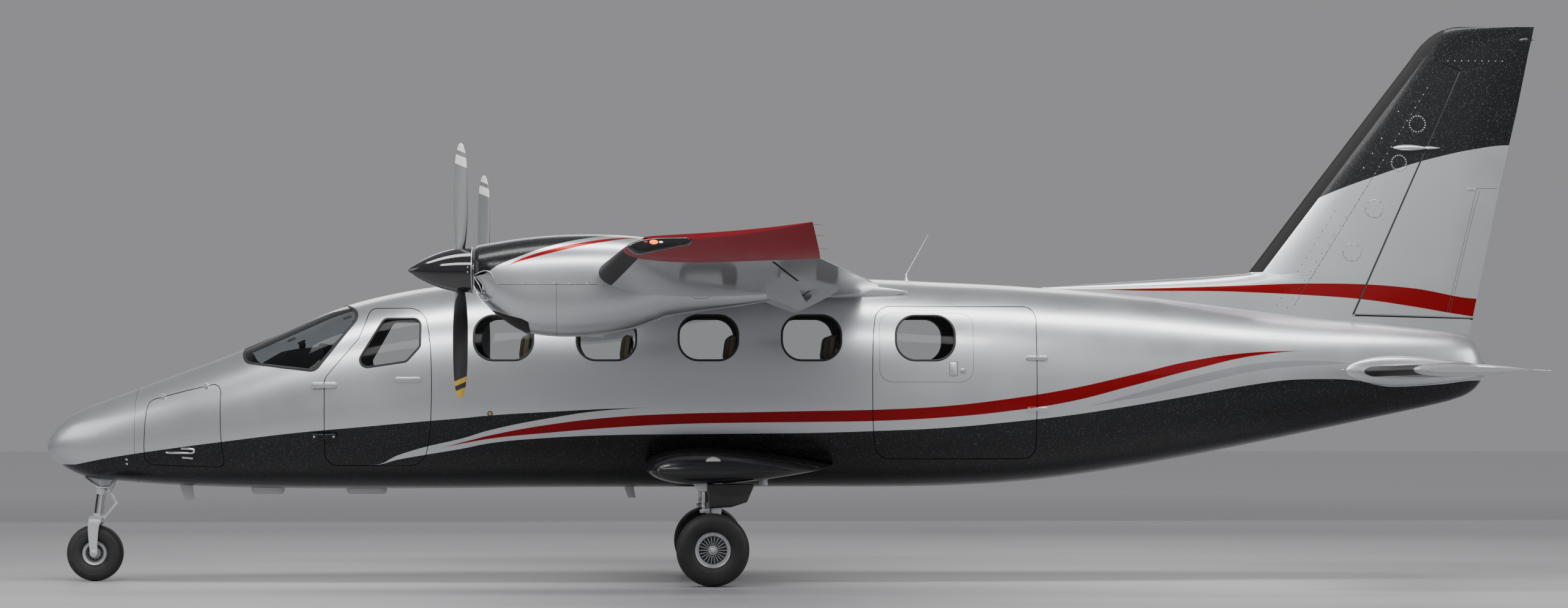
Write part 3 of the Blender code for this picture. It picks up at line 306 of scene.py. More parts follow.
def body_ring(table, station, inset=0.0, centre_y=0.0, count=RING_POINTS):
    low, high, half, power = section(table, station)
    low, high, half = low + inset, high - inset, half - inset
    ring = []
    for i in range(count):
        angle = 2 * pi * (i + 0.5) / count
        y = centre_y + half * power_curve(cos(angle), power)
        z = (low + high) / 2 + (high - low) / 2 * power_curve(sin(angle), power)
        ring.append(at(station, y, z))
    return ring


def skin_y(station, z):
    """Half width of the fuselage skin at a station and a height."""
    low, high, half, power = section(FUSELAGE, station)
    reach = abs(z - (low + high) / 2) / ((high - low) / 2)
    return half * max(1.0 - reach ** power, 0.0) ** (1.0 / power)


def even(start, end, longest):
    """Numbers from start to end, no further apart than the longest step."""
    count = max(1, int((end - start) / longest + 0.999))
    return [start + (end - start) * i / count for i in range(count + 1)]


def turns(count):
    """The angles of one full turn in equal steps."""
    return [2 * pi * i / count for i in range(count)]


def way_at(path, i, closed):
    """Direction of a path at one of its points."""
    if closed:
        return path[(i + 1) % len(path)] - path[i - 1]
    return path[min(i + 1, len(path) - 1)] - path[max(i - 1, 0)]


def mesh_object(name, points, faces):
    """A mesh whose faces all look outward."""
    mesh = bpy.data.meshes.new(name)
    mesh.from_pydata([tuple(p) for p in points], [], faces)
    shape = bmesh.new()
    shape.from_mesh(mesh)
    bmesh.ops.recalc_face_normals(shape, faces=shape.faces)
    shape.to_mesh(mesh)
    shape.free()
    mesh.update()
    thing = bpy.data.objects.new(name, mesh)
    bpy.context.scene.collection.objects.link(thing)
    return thing


def grid_faces(rows, count, closed, looped=False):
    """Quads between rows of points; closed joins each row's ends, looped joins the last row to the first."""
    faces = []
    for i in range(rows if looped else rows - 1):
        a = i * count
        b = ((i + 1) % rows) * count
        for j in range(count if closed else count - 1):
            k = (j + 1) % count
            faces.append((a + j, a + k, b + k, b + j))
    return faces


def loft(name, rings, capped=True):
    """Skin a row of rings with equal point counts; the last joins the first when uncapped."""
    count = len(rings[0])
    points = [p for ring in rings for p in ring]
    faces = grid_faces(len(rings), count, True, looped=not capped)
    if capped:
        faces.append(tuple(range(count)))
        faces.append(tuple(range(len(points) - count, len(points))))
    return mesh_object(name, points, faces)


class Skin:
    """A smooth surface known by its rows of points, to shade from and to set things on."""

    def __init__(self, rings, closed=True):
        grid = np.array([[tuple(p) for p in ring] for ring in rings], dtype=float)
        if closed:
            around = np.roll(grid, -1, axis=1) - np.roll(grid, 1, axis=1)
        else:
            around = np.gradient(grid, axis=1)
        along = np.gradient(grid, axis=0)
        normals = np.cross(around, along)
        normals /= np.maximum(np.linalg.norm(normals, axis=2, keepdims=True), 1e-12)
        middle = grid.mean(axis=1, keepdims=True)
        if (normals * (grid - middle)).sum() < 0:
            normals = -normals
        count = grid.shape[1]
        self.points = [Vector(p) for p in grid.reshape(-1, 3)]
        self.normals = [Vector(n) for n in normals.reshape(-1, 3)]
        self.faces = grid_faces(grid.shape[0], count, closed)
        self.tree = BVHTree.FromPolygons(self.points, self.faces)

    def normal_at(self, face, point):
        corners = self.faces[face]
        weights = poly_3d_calc([self.points[c] for c in corners], point)
        total = Vector((0, 0, 0))
        for corner, weight in zip(corners, weights):
            total += self.normals[corner] * weight
        return total.normalized()

    def nearest(self, point):
        """Point and normal of the skin nearest to a point, and the distance."""
        place, _, face, distance = self.tree.find_nearest(point)
        return place, self.normal_at(face, place), distance

    def hit(self, start, way):
        """Point and normal where a ray meets the skin."""
        place, _, face, _ = self.tree.ray_cast(start, way)
        return (place, self.normal_at(face, place)) if place is not None else None

    def side_point(self, station, z, side):
        """The skin seen from one side at a station and height; z is held within the skin's reach."""
        way = Vector((0, -side, 0))
        for step in range(60):
            for shift in (step * 0.004, -step * 0.004):
                found = self.hit(at(station, side * FAR_OUT, z + shift), way)
                if found:
                    return found
        return self.nearest(at(station, 0, z))[:2]


# A corner takes a skin's normal within this distance, where the face looks nearly the same way
SKIN_REACH = 0.0012
SKIN_AGREEMENT = 0.75


def shade(thing, skins, angle=32.0):
    """Smooth shading, with the surface's own normals wherever a face still lies on one of its skins."""
    mesh = thing.data
    mesh.shade_smooth()
    mesh.set_sharp_from_angle(angle=radians(angle))
    if not skins:
        return
    mesh.update()
    base = [tuple(n.vector) for n in mesh.corner_normals]
    known = {}
    for polygon in mesh.polygons:
        for corner in polygon.loop_indices:
            vertex = mesh.loops[corner].vertex_index
            if vertex not in known:
                found = []
                for skin in skins:
                    _, normal, distance = skin.nearest(mesh.vertices[vertex].co)
                    if distance < SKIN_REACH:
                        found.append(normal)
                known[vertex] = found
            for normal in known[vertex]:
                turn = normal.dot(polygon.normal)
                if abs(turn) > SKIN_AGREEMENT:
                    base[corner] = tuple(normal if turn > 0 else -normal)
                    break
    mesh.normals_split_custom_set(base)


def fuselage_rings(stations, inset=0.0, count=RING_POINTS):
    return [body_ring(FUSELAGE, s, inset, 0.0, count) for s in stations]


def grown(points, grow):
    """Move each side of a closed outline outward; the outline runs anticlockwise."""
    moved = []
    count = len(points)
    for i, point in enumerate(points):
        p = Vector(point)
        a = (p - Vector(points[i - 1])).normalized()
        b = (Vector(points[(i + 1) % count]) - p).normalized()
        na = Vector((a.y, -a.x))
        nb = Vector((b.y, -b.x))
        moved.append(p + grow * (na + nb) / (1 + na.dot(nb)))
    return moved


def anticlockwise(points):
    area = 0.0
    for i, p in enumerate(points):
        q = points[(i + 1) % len(points)]
        area += p[0] * q[1] - q[0] * p[1]
    return list(points) if area > 0 else list(reversed(points))


def rounded(points, radius, grow=0.0, arc=10):
    """A closed outline with its corners rounded, moved outward by grow."""
    corners = grown(anticlockwise(points), grow)
    outline = []
    count = len(corners)
    for i, p in enumerate(corners):
        u = (corners[i - 1] - p).normalized()
        v = (corners[(i + 1) % count] - p).normalized()
        half = u.angle(v) / 2
        bend = radius + grow
        centre = p + (u + v).normalized() * bend / sin(half)
        start = p + u * bend / tan(half) - centre
        end = p + v * bend / tan(half) - centre
        sweep = pi - 2 * half
        for k in range(arc + 1):
            t = k / arc
            outline.append(centre + (start * sin((1 - t) * sweep) + end * sin(t * sweep)) / sin(sweep))
    return outline


def rectangle(x0, x1, z0, z1):
    return ((x0, z0), (x1, z0), (x1, z1), (x0, z1))


def dense(points, step=0.02, closed=True):
    """More points along an outline or line of points."""
    result = []
    pairs = list(zip(points, list(points[1:]) + [points[0]])) if closed else list(zip(points, points[1:]))
    for p, q in pairs:
        p, q = Vector(p), Vector(q)
        count = max(1, int((q - p).length / step + 0.5))
        result += [p.lerp(q, k / count) for k in range(count)]
    if not closed:
        result.append(Vector(points[-1]))
    return result


def smooth_line(points, step=0.02):
    """A flowing line through points of any dimension."""
    points = [Vector(p) for p in points]
    result = []
    for i in range(len(points) - 1):
        p0 = points[max(i - 1, 0)]
        p1, p2 = points[i], points[i + 1]
        p3 = points[min(i + 2, len(points) - 1)]
        count = max(2, int((p2 - p1).length / step + 0.5))
        for k in range(count):
            t = k / count
            result.append(
                0.5 * (2 * p1 + (p2 - p0) * t + (2 * p0 - 5 * p1 + 4 * p2 - p3) * t * t
                       + (3 * p1 - p0 - 3 * p2 + p3) * t ** 3)
            )
    result.append(points[-1])
    return result


def side_prism(name, outline, y0, y1):
    """A prism across the aircraft from an outline of stations and heights."""
    return loft(name, [[at(p[0], y, p[1]) for p in outline] for y in (y0, y1)])


def plan_prism(name, outline, z0, z1):
    return loft(name, [[at(p[0], p[1], z) for p in outline] for z in (z0, z1)])


def box(name, x0, x1, y0, y1, z0, z1):
    return side_prism(name, rectangle(x0, x1, z0, z1), y0, y1)


def frame_of(axis, hint=None):
    """Two directions square to an axis."""
    axis = axis.normalized()
    if hint is None:
        first = axis.orthogonal().normalized()
    else:
        first = (hint - axis * axis.dot(hint)).normalized()
    return first, axis.cross(first)


def lathe(name, axis_start, axis_way, profile, count=48):
    """Turn a profile of (distance along, radius) about an axis; both ends are closed flat."""
    way = axis_way.normalized()
    u, v = frame_of(way)
    rings = []
    for along, radius in profile:
        centre = axis_start + way * along
        rings.append([centre + radius * (u * cos(a) + v * sin(a)) for a in turns(count)])
    return loft(name, rings)


def rod(name, start, end, radius_start, radius_end=None, count=24, edge=0.0):
    """A round rod or cone between two points, its end edges rounded by a small radius."""
    radius_end = radius_start if radius_end is None else radius_end
    length = (end - start).length
    profile = [(0.0, radius_start), (length, radius_end)]
    if edge > 0:
        profile = [
            (0.0, radius_start - edge), (edge * 0.3, radius_start - edge * 0.3), (edge, radius_start),
            (length - edge, radius_end), (length - edge * 0.3, radius_end - edge * 0.3),
            (length, radius_end - edge),
        ]
    return lathe(name, start, end - start, profile, count)


def tube(name, path, radius, count=12, closed=False):
    """A round tube along a path."""
    path = [Vector(p) for p in path]
    rings = []
    hint = None
    for i, p in enumerate(path):
        u, v = frame_of(way_at(path, i, closed), hint)
        hint = u
        rings.append([p + radius * (u * cos(a) + v * sin(a)) for a in turns(count)])
    return loft(name, rings, capped=not closed)


def block(name, centre, along, across, size, bevel=0.0):
    """A rectangular block with its first side along one direction and its second across it."""
    u = along.normalized()
    v = (across - u * across.dot(u)).normalized()
    w = u.cross(v)
    rings = []
    for side in (-0.5, 0.5):
        ring = []
        for a, b in ((-0.5, -0.5), (0.5, -0.5), (0.5, 0.5), (-0.5, 0.5)):
            ring.append(centre + u * size[0] * side + v * size[1] * a + w * size[2] * b)
        rings.append(ring)
    thing = loft(name, rings)
    if bevel > 0:
        soften(thing, bevel)
    return thing


def soften(thing, width, segments=2, angle=35.0):
    """Round the edges of a piece."""
    shape = bmesh.new()
    shape.from_mesh(thing.data)
    edges = [e for e in shape.edges if len(e.link_faces) == 2 and e.calc_face_angle(0.0) > radians(angle)]
    bmesh.ops.bevel(shape, geom=edges, offset=width, segments=segments, profile=0.5, affect="EDGES",
                    clamp_overlap=True)
    shape.to_mesh(thing.data)
    shape.free()
    return thing


def merge(name, things):
    """One object from several; their materials are kept."""
    shape = bmesh.new()
    slots = []
    for thing in things:
        mesh = thing.data
        first = len(shape.faces)
        shape.from_mesh(mesh)
        shape.faces.ensure_lookup_table()
        for i in range(first, len(shape.faces)):
            face = shape.faces[i]
            finish = mesh.materials[face.material_index] if len(mesh.materials) > face.material_index else None
            if finish is not None:
                if finish not in slots:
                    slots.append(finish)
                face.material_index = slots.index(finish)
        bpy.data.objects.remove(thing, do_unlink=True)
    mesh = bpy.data.meshes.new(name)
    shape.to_mesh(mesh)
    shape.free()
    for finish in slots:
        mesh.materials.append(finish)
    thing = bpy.data.objects.new(name, mesh)
    bpy.context.scene.collection.objects.link(thing)
    return thing


def carve(thing, tool, operation="DIFFERENCE", drop=True):
    """One Boolean, applied at once; faces made by the tool take the tool's material."""
    step = thing.modifiers.new("cut", "BOOLEAN")
    step.operation = operation
    step.solver = "EXACT"
    step.material_mode = "TRANSFER"
    step.object = tool
    graph = bpy.context.evaluated_depsgraph_get()
    graph.update()
    mesh = bpy.data.meshes.new_from_object(thing.evaluated_get(graph))
    thing.modifiers.clear()
    thing.data = mesh
    if drop:
        bpy.data.objects.remove(tool, do_unlink=True)
    return thing


def finish_with(thing, *finishes):
    thing.data.materials.clear()
    for finish in finishes:
        thing.data.materials.append(finish)
    return thing


def piece(thing, name, body="airframe", stands_for=(), finish=None, skins=(), angle=32.0):
    """Name a visible piece, shade it and let it ride on its body."""
    thing.name = name
    thing.data.name = name
    if finish is not None:
        finish_with(thing, finish)
    shade(thing, skins, angle)
    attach(thing, body)
    if stands_for:
        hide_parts(*stands_for)
    return thing


def strip_on(name, skin, path, side, profile, closed=True):
    """Sweep a small profile of (across, out) along stations and heights on a skin seen from one side."""
    places = [skin.side_point(p[0], p[1], side) for p in path]
    return strip(name, places, profile, closed)


def strip(name, places, profile, closed=True):
    """Sweep a small profile of (across, out) along points that each have a normal."""
    path = [p for p, _ in places]
    rings = []
    for i, (p, n) in enumerate(places):
        across = n.cross(way_at(path, i, closed)).normalized()
        rings.append([p + across * a + n * b for a, b in profile])
    return loft(name, rings, capped=not closed)


SEAM = ((-0.0013, -0.0015), (0.0013, -0.0015), (0.0013, 0.0006), (-0.0013, 0.0006))
BEAD_SINK = 0.003
BEAD_STEPS = 6


def bead(width, height):
    """Profile of a rounded bead, sunk a little into what it lies on."""
    points = [(-width / 2, -BEAD_SINK), (width / 2, -BEAD_SINK)]
    for i in range(BEAD_STEPS + 1):
        angle = pi * i / BEAD_STEPS
        points.append((width / 2 * cos(angle), height * sin(angle) ** 0.7 if 0 < i < BEAD_STEPS else 0.0))
    return tuple(points)


def studs(name, places, radius, height, count=8):
    """Small round heads set on a surface."""
    profile = [(0.0, radius), (0.001, radius), (0.001 + height * 0.7, radius * 0.75),
               (0.001 + height, radius * 0.25)]
    return merge(name, [lathe("stud", p - n * 0.001, n, profile, count) for p, n in places])


# Materials

SILVER = (0.54, 0.55, 0.57)
SILVER_METALLIC = 0.90
SILVER_COAT = 0.7
BLACK = (0.0055, 0.006, 0.0068)
RED = (0.24, 0.0025, 0.0055)
HEIGHT_RANGE = 4.5
ALONG_REACH = (-5.95, 5.95)
GLASS_IOR = 1.18


class Paint:
    """One procedural material, built node by node around its Principled shader."""

    def __init__(self, name, colour=(0.5, 0.5, 0.5), roughness=0.4, metallic=0.0, **sockets):
        self.material = bpy.data.materials.new(name)
        self.material.use_nodes = True
        self.tree = self.material.node_tree
        self.shader = self.tree.nodes["Principled BSDF"]
        self.shader.inputs["Base Color"].default_value = (*colour, 1.0)
        self.shader.inputs["Roughness"].default_value = roughness
        self.shader.inputs["Metallic"].default_value = metallic
        for key, value in sockets.items():
            self.socket(key).default_value = value
        self.place = self.tree.nodes.new("ShaderNodeTexCoord").outputs["Object"]
        parts = self.tree.nodes.new("ShaderNodeSeparateXYZ")
        self.tree.links.new(self.place, parts.inputs[0])
        self.x, self.y, self.z = parts.outputs

    def socket(self, key):
        """The shader's input that a keyword such as coat_weight names."""
        return self.shader.inputs[key.replace("_", " ").title().replace("Ior", "IOR")]

    def node(self, kind, inputs=(), **settings):
        made = self.tree.nodes.new(kind)
        for key, value in settings.items():
            setattr(made, key, value)
        for key, value in dict(inputs).items():
            if hasattr(value, "is_linked"):
                self.tree.links.new(value, made.inputs[key])
            else:
                made.inputs[key].default_value = value
        return made

    def math(self, operation, a, b=0.0, c=0.0):
        return self.node("ShaderNodeMath", {0: a, 1: b, 2: c}, operation=operation).outputs[0]

    def below(self, a, b):
        return self.math("LESS_THAN", a, b)

    def both(self, a, b):
        return self.math("MULTIPLY", a, b)

    def either(self, a, b):
        return self.math("MAXIMUM", a, b)

    def between(self, foot, top):
        """The area above one paint line and below another."""
        return self.both(self.below(foot, self.z), self.below(self.z, top))

    def mix(self, factor, a, b):
        a = (*a, 1.0) if isinstance(a, tuple) else a
        b = (*b, 1.0) if isinstance(b, tuple) else b
        return self.node("ShaderNodeMix", {0: factor, 6: a, 7: b}, data_type="RGBA").outputs[2]

    def blend(self, factor, a, b):
        return self.node("ShaderNodeMix", {0: factor, 2: a, 3: b}, data_type="FLOAT").outputs[0]

    def noise(self, scale, detail=2.0, rough=0.5, place=None):
        inputs = {"Vector": place or self.place, "Scale": scale, "Detail": detail, "Roughness": rough}
        return self.node("ShaderNodeTexNoise", inputs).outputs["Fac"]

    def cells(self, scale):
        """A random value for each small cell."""
        cell = self.node("ShaderNodeTexVoronoi", {"Vector": self.place, "Scale": scale})
        return self.node("ShaderNodeSeparateColor", {0: cell.outputs["Color"]}).outputs[0]

    def spread(self, value, low, high, start=0.3, end=0.7):
        """Stretch a value between two others."""
        inputs = {0: value, 1: start, 2: end, 3: low, 4: high}
        return self.node("ShaderNodeMapRange", inputs).outputs[0]

    def stretched(self, x, y, z):
        """The place with its axes scaled, for grain that runs one way."""
        return self.node("ShaderNodeMapping", {0: self.place, 3: (x, y, z)}).outputs[0]

    def curve(self, value, points, reach):
        """Height along a line of (input, height) points; inputs run between the two numbers of reach."""
        first, last = reach
        scaled = self.math("MULTIPLY_ADD", value, 1 / (last - first), -first / (last - first))
        made = self.node("ShaderNodeFloatCurve", {1: scaled})
        line = made.mapping.curves[0]
        made.mapping.clip_max_x = 1.0
        made.mapping.clip_max_y = 1.0
        rows = [((p - first) / (last - first), h / HEIGHT_RANGE) for p, h in points]
        rows = [(0.0, rows[0][1])] + rows + [(1.0, rows[-1][1])]
        while len(line.points) < len(rows):
            line.points.new(0.5, 0.5)
        for point, (p, h) in zip(line.points, rows):
            point.location = (p, h)
            point.handle_type = "AUTO_CLAMPED"
        made.mapping.update()
        return self.math("MULTIPLY", made.outputs[0], HEIGHT_RANGE)

    def along(self, points):
        """A paint line along the aircraft, from stations and heights."""
        return self.curve(self.x, [(s - REFERENCE_STATION, h) for s, h in points], ALONG_REACH)

    def bump(self, height, distance, strength=1.0):
        made = self.node("ShaderNodeBump", {"Height": height, "Distance": distance, "Strength": strength})
        self.tree.links.new(made.outputs[0], self.shader.inputs["Normal"])

    def set(self, **sockets):
        for key, value in sockets.items():
            self.tree.links.new(value, self.socket(key))


def coat_of_paint(paint, masks):
    """Silver flake paint with areas of other paint laid over it, and a clear coat."""
    grain = paint.cells(230.0)
    fine = paint.noise(420.0, 2.0, 0.6)
    cloud = paint.noise(2.2, 3.0, 0.5)
    glint = paint.both(paint.spread(grain, 0.90, 1.10, 0.0, 1.0), paint.spread(fine, 0.40, 0.60))
    dull = tuple(c * 0.90 for c in SILVER)
    bright = tuple(min(c * 1.12, 1.0) for c in SILVER)
    colour = paint.mix(glint, dull, bright)
    sparkle = paint.math("GREATER_THAN", grain, 0.965)
    black = paint.mix(paint.both(sparkle, 0.35), BLACK, (0.20, 0.21, 0.24))
    red = paint.mix(paint.spread(fine, 0.0, 0.25), RED, (0.33, 0.005, 0.010))
    # Colour, metallic, roughness and weight of the clear coat
    layers = {
        "black": (black, 0.10, 0.28, 0.12),
        "red": (red, 0.70, 0.30, 0.12),
        "grey": ((0.30, 0.31, 0.33), 0.6, 0.34, 0.6),
        "boot": ((0.004, 0.004, 0.0045), 0.0, 0.62, 0.0),
        "matte": ((0.012, 0.012, 0.013), 0.0, 0.6, 0.0),
    }
    metallic = SILVER_METALLIC
    coat = SILVER_COAT
    rough = paint.spread(cloud, 0.30, 0.37)
    for kind, mask in masks:
        tint, metal, dullness, cover = layers[kind]
        colour = paint.mix(mask, colour, tint)
        metallic = paint.blend(mask, metallic, metal)
        rough = paint.blend(mask, rough, dullness)
        coat = paint.blend(mask, coat, cover)
    paint.set(base_color=colour, roughness=rough)
    if masks:
        paint.set(metallic=metallic, coat_weight=coat)
    peel = paint.noise(90.0, 1.0, 0.4)
    paint.bump(peel, 0.00012, 0.6)
    return paint.material


def fresh_paint(name):
    return Paint(name, SILVER, 0.33, SILVER_METALLIC, coat_weight=SILVER_COAT, coat_roughness=0.06, coat_ior=1.5,
                 specular_ior_level=0.30)


def livery_fuselage():
    paint = fresh_paint("fuselage_paint")
    black_top = paint.along((
        (0.10, 0.90), (0.15, 0.905), (0.5, 0.97), (1.0, 1.045), (1.5, 1.11), (2.0, 1.17), (2.5, 1.215), (3.0, 1.26),
        (3.3, 1.285), (3.5, 1.305), (4.0, 1.335), (4.5, 1.36), (4.84, 1.365),
    ))
    crescent = paint.along((
        (2.59, 0.92), (2.8, 1.0), (3.0, 1.06), (3.3, 1.13), (3.5, 1.19), (4.0, 1.29), (4.4, 1.345), (4.84, 1.365),
    ))
    belly_top = paint.along((
        (2.59, 0.92), (2.8, 0.965), (3.0, 1.0), (3.3, 1.05), (3.5, 1.09), (4.0, 1.135), (4.5, 1.155), (5.0, 1.16),
        (5.5, 1.165), (6.0, 1.17), (6.5, 1.185), (7.0, 1.207), (7.5, 1.25), (8.0, 1.305), (8.5, 1.38), (9.0, 1.465),
        (9.5, 1.55), (9.8, 1.585), (10.1, 1.59), (10.3, 1.58), (10.5, 1.54), (10.6, 1.53), (11.0, 1.55), (11.3, 1.58),
    ))
    red_top = paint.along((
        (3.08, 1.055), (3.3, 1.10), (3.5, 1.15), (4.0, 1.24), (4.5, 1.295), (5.0, 1.32), (5.5, 1.33), (6.0, 1.34),
        (6.5, 1.35), (7.0, 1.375), (7.5, 1.43), (8.0, 1.51), (8.5, 1.62), (9.0, 1.735), (9.5, 1.80), (9.95, 1.81),
    ))
    red_foot = paint.along((
        (3.08, 1.055), (3.3, 1.09), (3.5, 1.125), (4.0, 1.175), (4.5, 1.215), (5.0, 1.24), (5.5, 1.25), (6.0, 1.255),
        (6.5, 1.263), (7.0, 1.288), (7.5, 1.335), (8.0, 1.41), (8.5, 1.535), (9.0, 1.665), (9.5, 1.775), (9.95, 1.81),
    ))
    grey_top = paint.along(((8.07, 1.38), (8.5, 1.47), (9.0, 1.61), (9.5, 1.71), (9.9, 1.735), (10.15, 1.725),
                            (10.3, 1.71)))
    grey_foot = paint.along(((8.07, 1.38), (8.5, 1.435), (9.0, 1.545), (9.5, 1.655), (10.0, 1.70), (10.3, 1.71)))
    black = paint.either(paint.below(paint.z, belly_top), paint.between(crescent, black_top))
    red = paint.between(red_foot, red_top)
    grey = paint.between(grey_foot, grey_top)
    return coat_of_paint(paint, (("black", black), ("grey", grey), ("red", red)))


def livery_fin():
    paint = fresh_paint("fin_paint")
    black_foot = paint.along(FIN_BLACK)
    red_top = paint.along(((8.25, 2.302), (8.6, 2.308), (9.3, 2.328), (10.0, 2.35), (10.4, 2.345), (10.8, 2.315),
                           (11.4, 2.23)))
    red_foot = paint.along(((8.25, 2.301), (8.6, 2.293), (9.3, 2.287), (9.5, 2.28), (10.0, 2.255), (10.4, 2.225),
                            (10.8, 2.17), (11.2, 2.105), (11.4, 2.082)))
    black = paint.below(black_foot, paint.z)
    slope = paint.math("MULTIPLY_ADD", paint.z, 0.762, 9.5 - 2.43 * 0.762 - REFERENCE_STATION + 0.105)
    boot = paint.both(paint.below(paint.x, slope), paint.below(2.44, paint.z))
    red = paint.between(red_foot, red_top)
    return coat_of_paint(paint, (("black", black), ("red", red), ("boot", boot)))


def livery_nacelle():
    paint = fresh_paint("nacelle_paint")
    nose_foot = paint.along(((3.40, 2.33), (3.50, 2.335), (3.56, 2.36), (3.62, 2.40), (3.8, 2.475), (4.0, 2.545),
                             (4.2, 2.595), (4.4, 2.625), (4.6, 2.645), (4.8, 2.67)))
    red_top = paint.along(((3.64, 2.394), (3.8, 2.455), (4.0, 2.52), (4.2, 2.567), (4.4, 2.60), (4.6, 2.618),
                           (4.74, 2.622)))
    red_foot = paint.along(((3.64, 2.394), (3.8, 2.437), (4.0, 2.492), (4.2, 2.54), (4.4, 2.58), (4.6, 2.609),
                            (4.74, 2.622)))
    scoop = paint.along(((3.50, 2.10), (3.57, 2.087), (3.70, 2.045), (3.84, 2.004), (3.865, 1.975), (3.885, 1.92),
                         (3.89, 1.70)))
    black = paint.below(nose_foot, paint.z)
    red = paint.between(red_foot, red_top)
    chin = paint.below(paint.z, scoop)
    return coat_of_paint(paint, (("black", black), ("red", red), ("matte", chin)))


def livery_wing():
    paint = fresh_paint("wing_paint")
    span = paint.math("ABSOLUTE", paint.y)
    sweep = paint.math("MULTIPLY_ADD", paint.math("MAXIMUM", paint.math("SUBTRACT", span, 3.0), 0.0), 0.055,
                       4.370 - REFERENCE_STATION + 0.095)
    boot = paint.both(paint.below(paint.x, sweep), paint.below(2.83, span))
    return coat_of_paint(paint, (("boot", boot),))


def livery_tailplane():
    paint = fresh_paint("tailplane_paint")
    span = paint.math("ABSOLUTE", paint.y)
    sweep = paint.math("MULTIPLY_ADD", span, 0.0348, 10.345 - REFERENCE_STATION + 0.075)
    boot = paint.both(paint.below(paint.x, sweep), paint.both(paint.below(0.42, span), paint.below(span, 2.29)))
    return coat_of_paint(paint, (("boot", boot),))


def plain_paint(name, colour, roughness, metallic=0.0, speck=0.08, scale=180.0, peel=0.00015, **sockets):
    """Paint, plastic or casting with a little variation in colour, gloss and surface."""
    paint = Paint(name, colour, roughness, metallic, **sockets)
    fine = paint.noise(scale, 2.0, 0.55)
    cloud = paint.noise(6.0, 3.0, 0.55)
    low = tuple(c * (1 - speck) for c in colour)
    high = tuple(min(c * (1 + speck), 1.0) for c in colour)
    paint.set(base_color=paint.mix(paint.spread(fine, 0.0, 1.0), low, high),
              roughness=paint.spread(cloud, roughness * 0.85, min(roughness * 1.15, 1.0)))
    paint.bump(fine, peel, 0.7)
    return paint.material


def brushed(name, colour, roughness, direction=(1.0, 1.0, 12.0)):
    """Bare metal with fine marks running one way."""
    paint = Paint(name, colour, roughness, 1.0)
    marks = paint.noise(60.0, 4.0, 0.6, paint.stretched(*direction))
    paint.set(base_color=paint.mix(marks, tuple(c * 0.86 for c in colour), colour),
              roughness=paint.spread(marks, roughness * 0.7, roughness * 1.3))
    paint.bump(marks, 0.00008, 0.6)
    return paint.material


def tyre_rubber():
    paint = Paint("tyre_rubber_fine", (0.012, 0.012, 0.013), 0.62)
    fine = paint.noise(500.0, 3.0, 0.6)
    dust = paint.noise(9.0, 4.0, 0.6)
    dusty = paint.spread(dust, 0.0, 0.55, 0.45, 0.8)
    paint.set(base_color=paint.mix(dusty, (0.010, 0.010, 0.011), (0.045, 0.042, 0.038)),
              roughness=paint.spread(dust, 0.50, 0.74))
    paint.bump(fine, 0.0003, 0.5)
    return paint.material


def leather(name, colour):
    paint = Paint(name, colour, 0.5)
    pebble = paint.node("ShaderNodeTexVoronoi", {"Vector": paint.place, "Scale": 420.0}).outputs["Distance"]
    cloud = paint.noise(14.0, 3.0, 0.6)
    paint.set(base_color=paint.mix(cloud, tuple(c * 0.72 for c in colour), tuple(min(c * 1.18, 1.0) for c in colour)),
              roughness=paint.spread(cloud, 0.42, 0.6))
    paint.bump(pebble, 0.0005, 0.5)
    return paint.material


def carpet(name, colour):
    paint = Paint(name, colour, 0.95, sheen_weight=0.3)
    pile = paint.noise(700.0, 3.0, 0.8)
    paint.set(base_color=paint.mix(pile, tuple(c * 0.5 for c in colour), tuple(c * 1.4 for c in colour)))
    paint.bump(pile, 0.002, 0.8)
    return paint.material


def glass(name, tint):
    """Clear panes; a low index keeps the lamps from showing in them as patches."""
    paint = Paint(name, tint, 0.0, 0.0, transmission_weight=1.0, ior=GLASS_IOR)
    film = paint.noise(5.0, 3.0, 0.5)
    paint.set(roughness=paint.spread(film, 0.0, 0.012))
    return paint.material


def blade_paint():
    """Grey back with white tip bands, black face with a yellow tip, told apart by which way a face looks."""
    paint = Paint("blade_paint_fine", (0.3, 0.3, 0.3), 0.38, 0.0, coat_weight=0.3, coat_roughness=0.15)
    normal = paint.node("ShaderNodeNewGeometry").outputs["Normal"]
    turned = paint.node("ShaderNodeVectorTransform", {0: normal}, vector_type="NORMAL", convert_from="WORLD",
                        convert_to="OBJECT").outputs[0]
    facing = paint.node("ShaderNodeSeparateXYZ", {0: turned}).outputs[0]
    front = paint.below(facing, 0.0)
    height = paint.math("ABSOLUTE", paint.math("SUBTRACT", paint.z, PROP_Z))
    slant = paint.math("MULTIPLY_ADD", paint.x, 0.45, 0.45 * (REFERENCE_STATION - BLADE_STATION))
    reach = paint.math("ADD", height, slant)

    def band(low, high):
        return paint.both(paint.below(low, reach), paint.below(reach, high))

    fine = paint.noise(30.0, 4.0, 0.6, paint.stretched(1.0, 1.0, 0.2))
    grey = paint.mix(fine, (0.15, 0.16, 0.16), (0.21, 0.22, 0.22))
    white = paint.either(band(0.775, 0.845), paint.below(0.880, reach))
    back = paint.mix(white, grey, (0.80, 0.80, 0.79))
    yellow = paint.either(band(0.800, 0.838), paint.below(0.876, reach))
    face = paint.mix(yellow, (0.012, 0.012, 0.013), (0.62, 0.40, 0.03))
    paint.set(base_color=paint.mix(front, face, back), roughness=paint.spread(fine, 0.30, 0.46))
    return paint.material


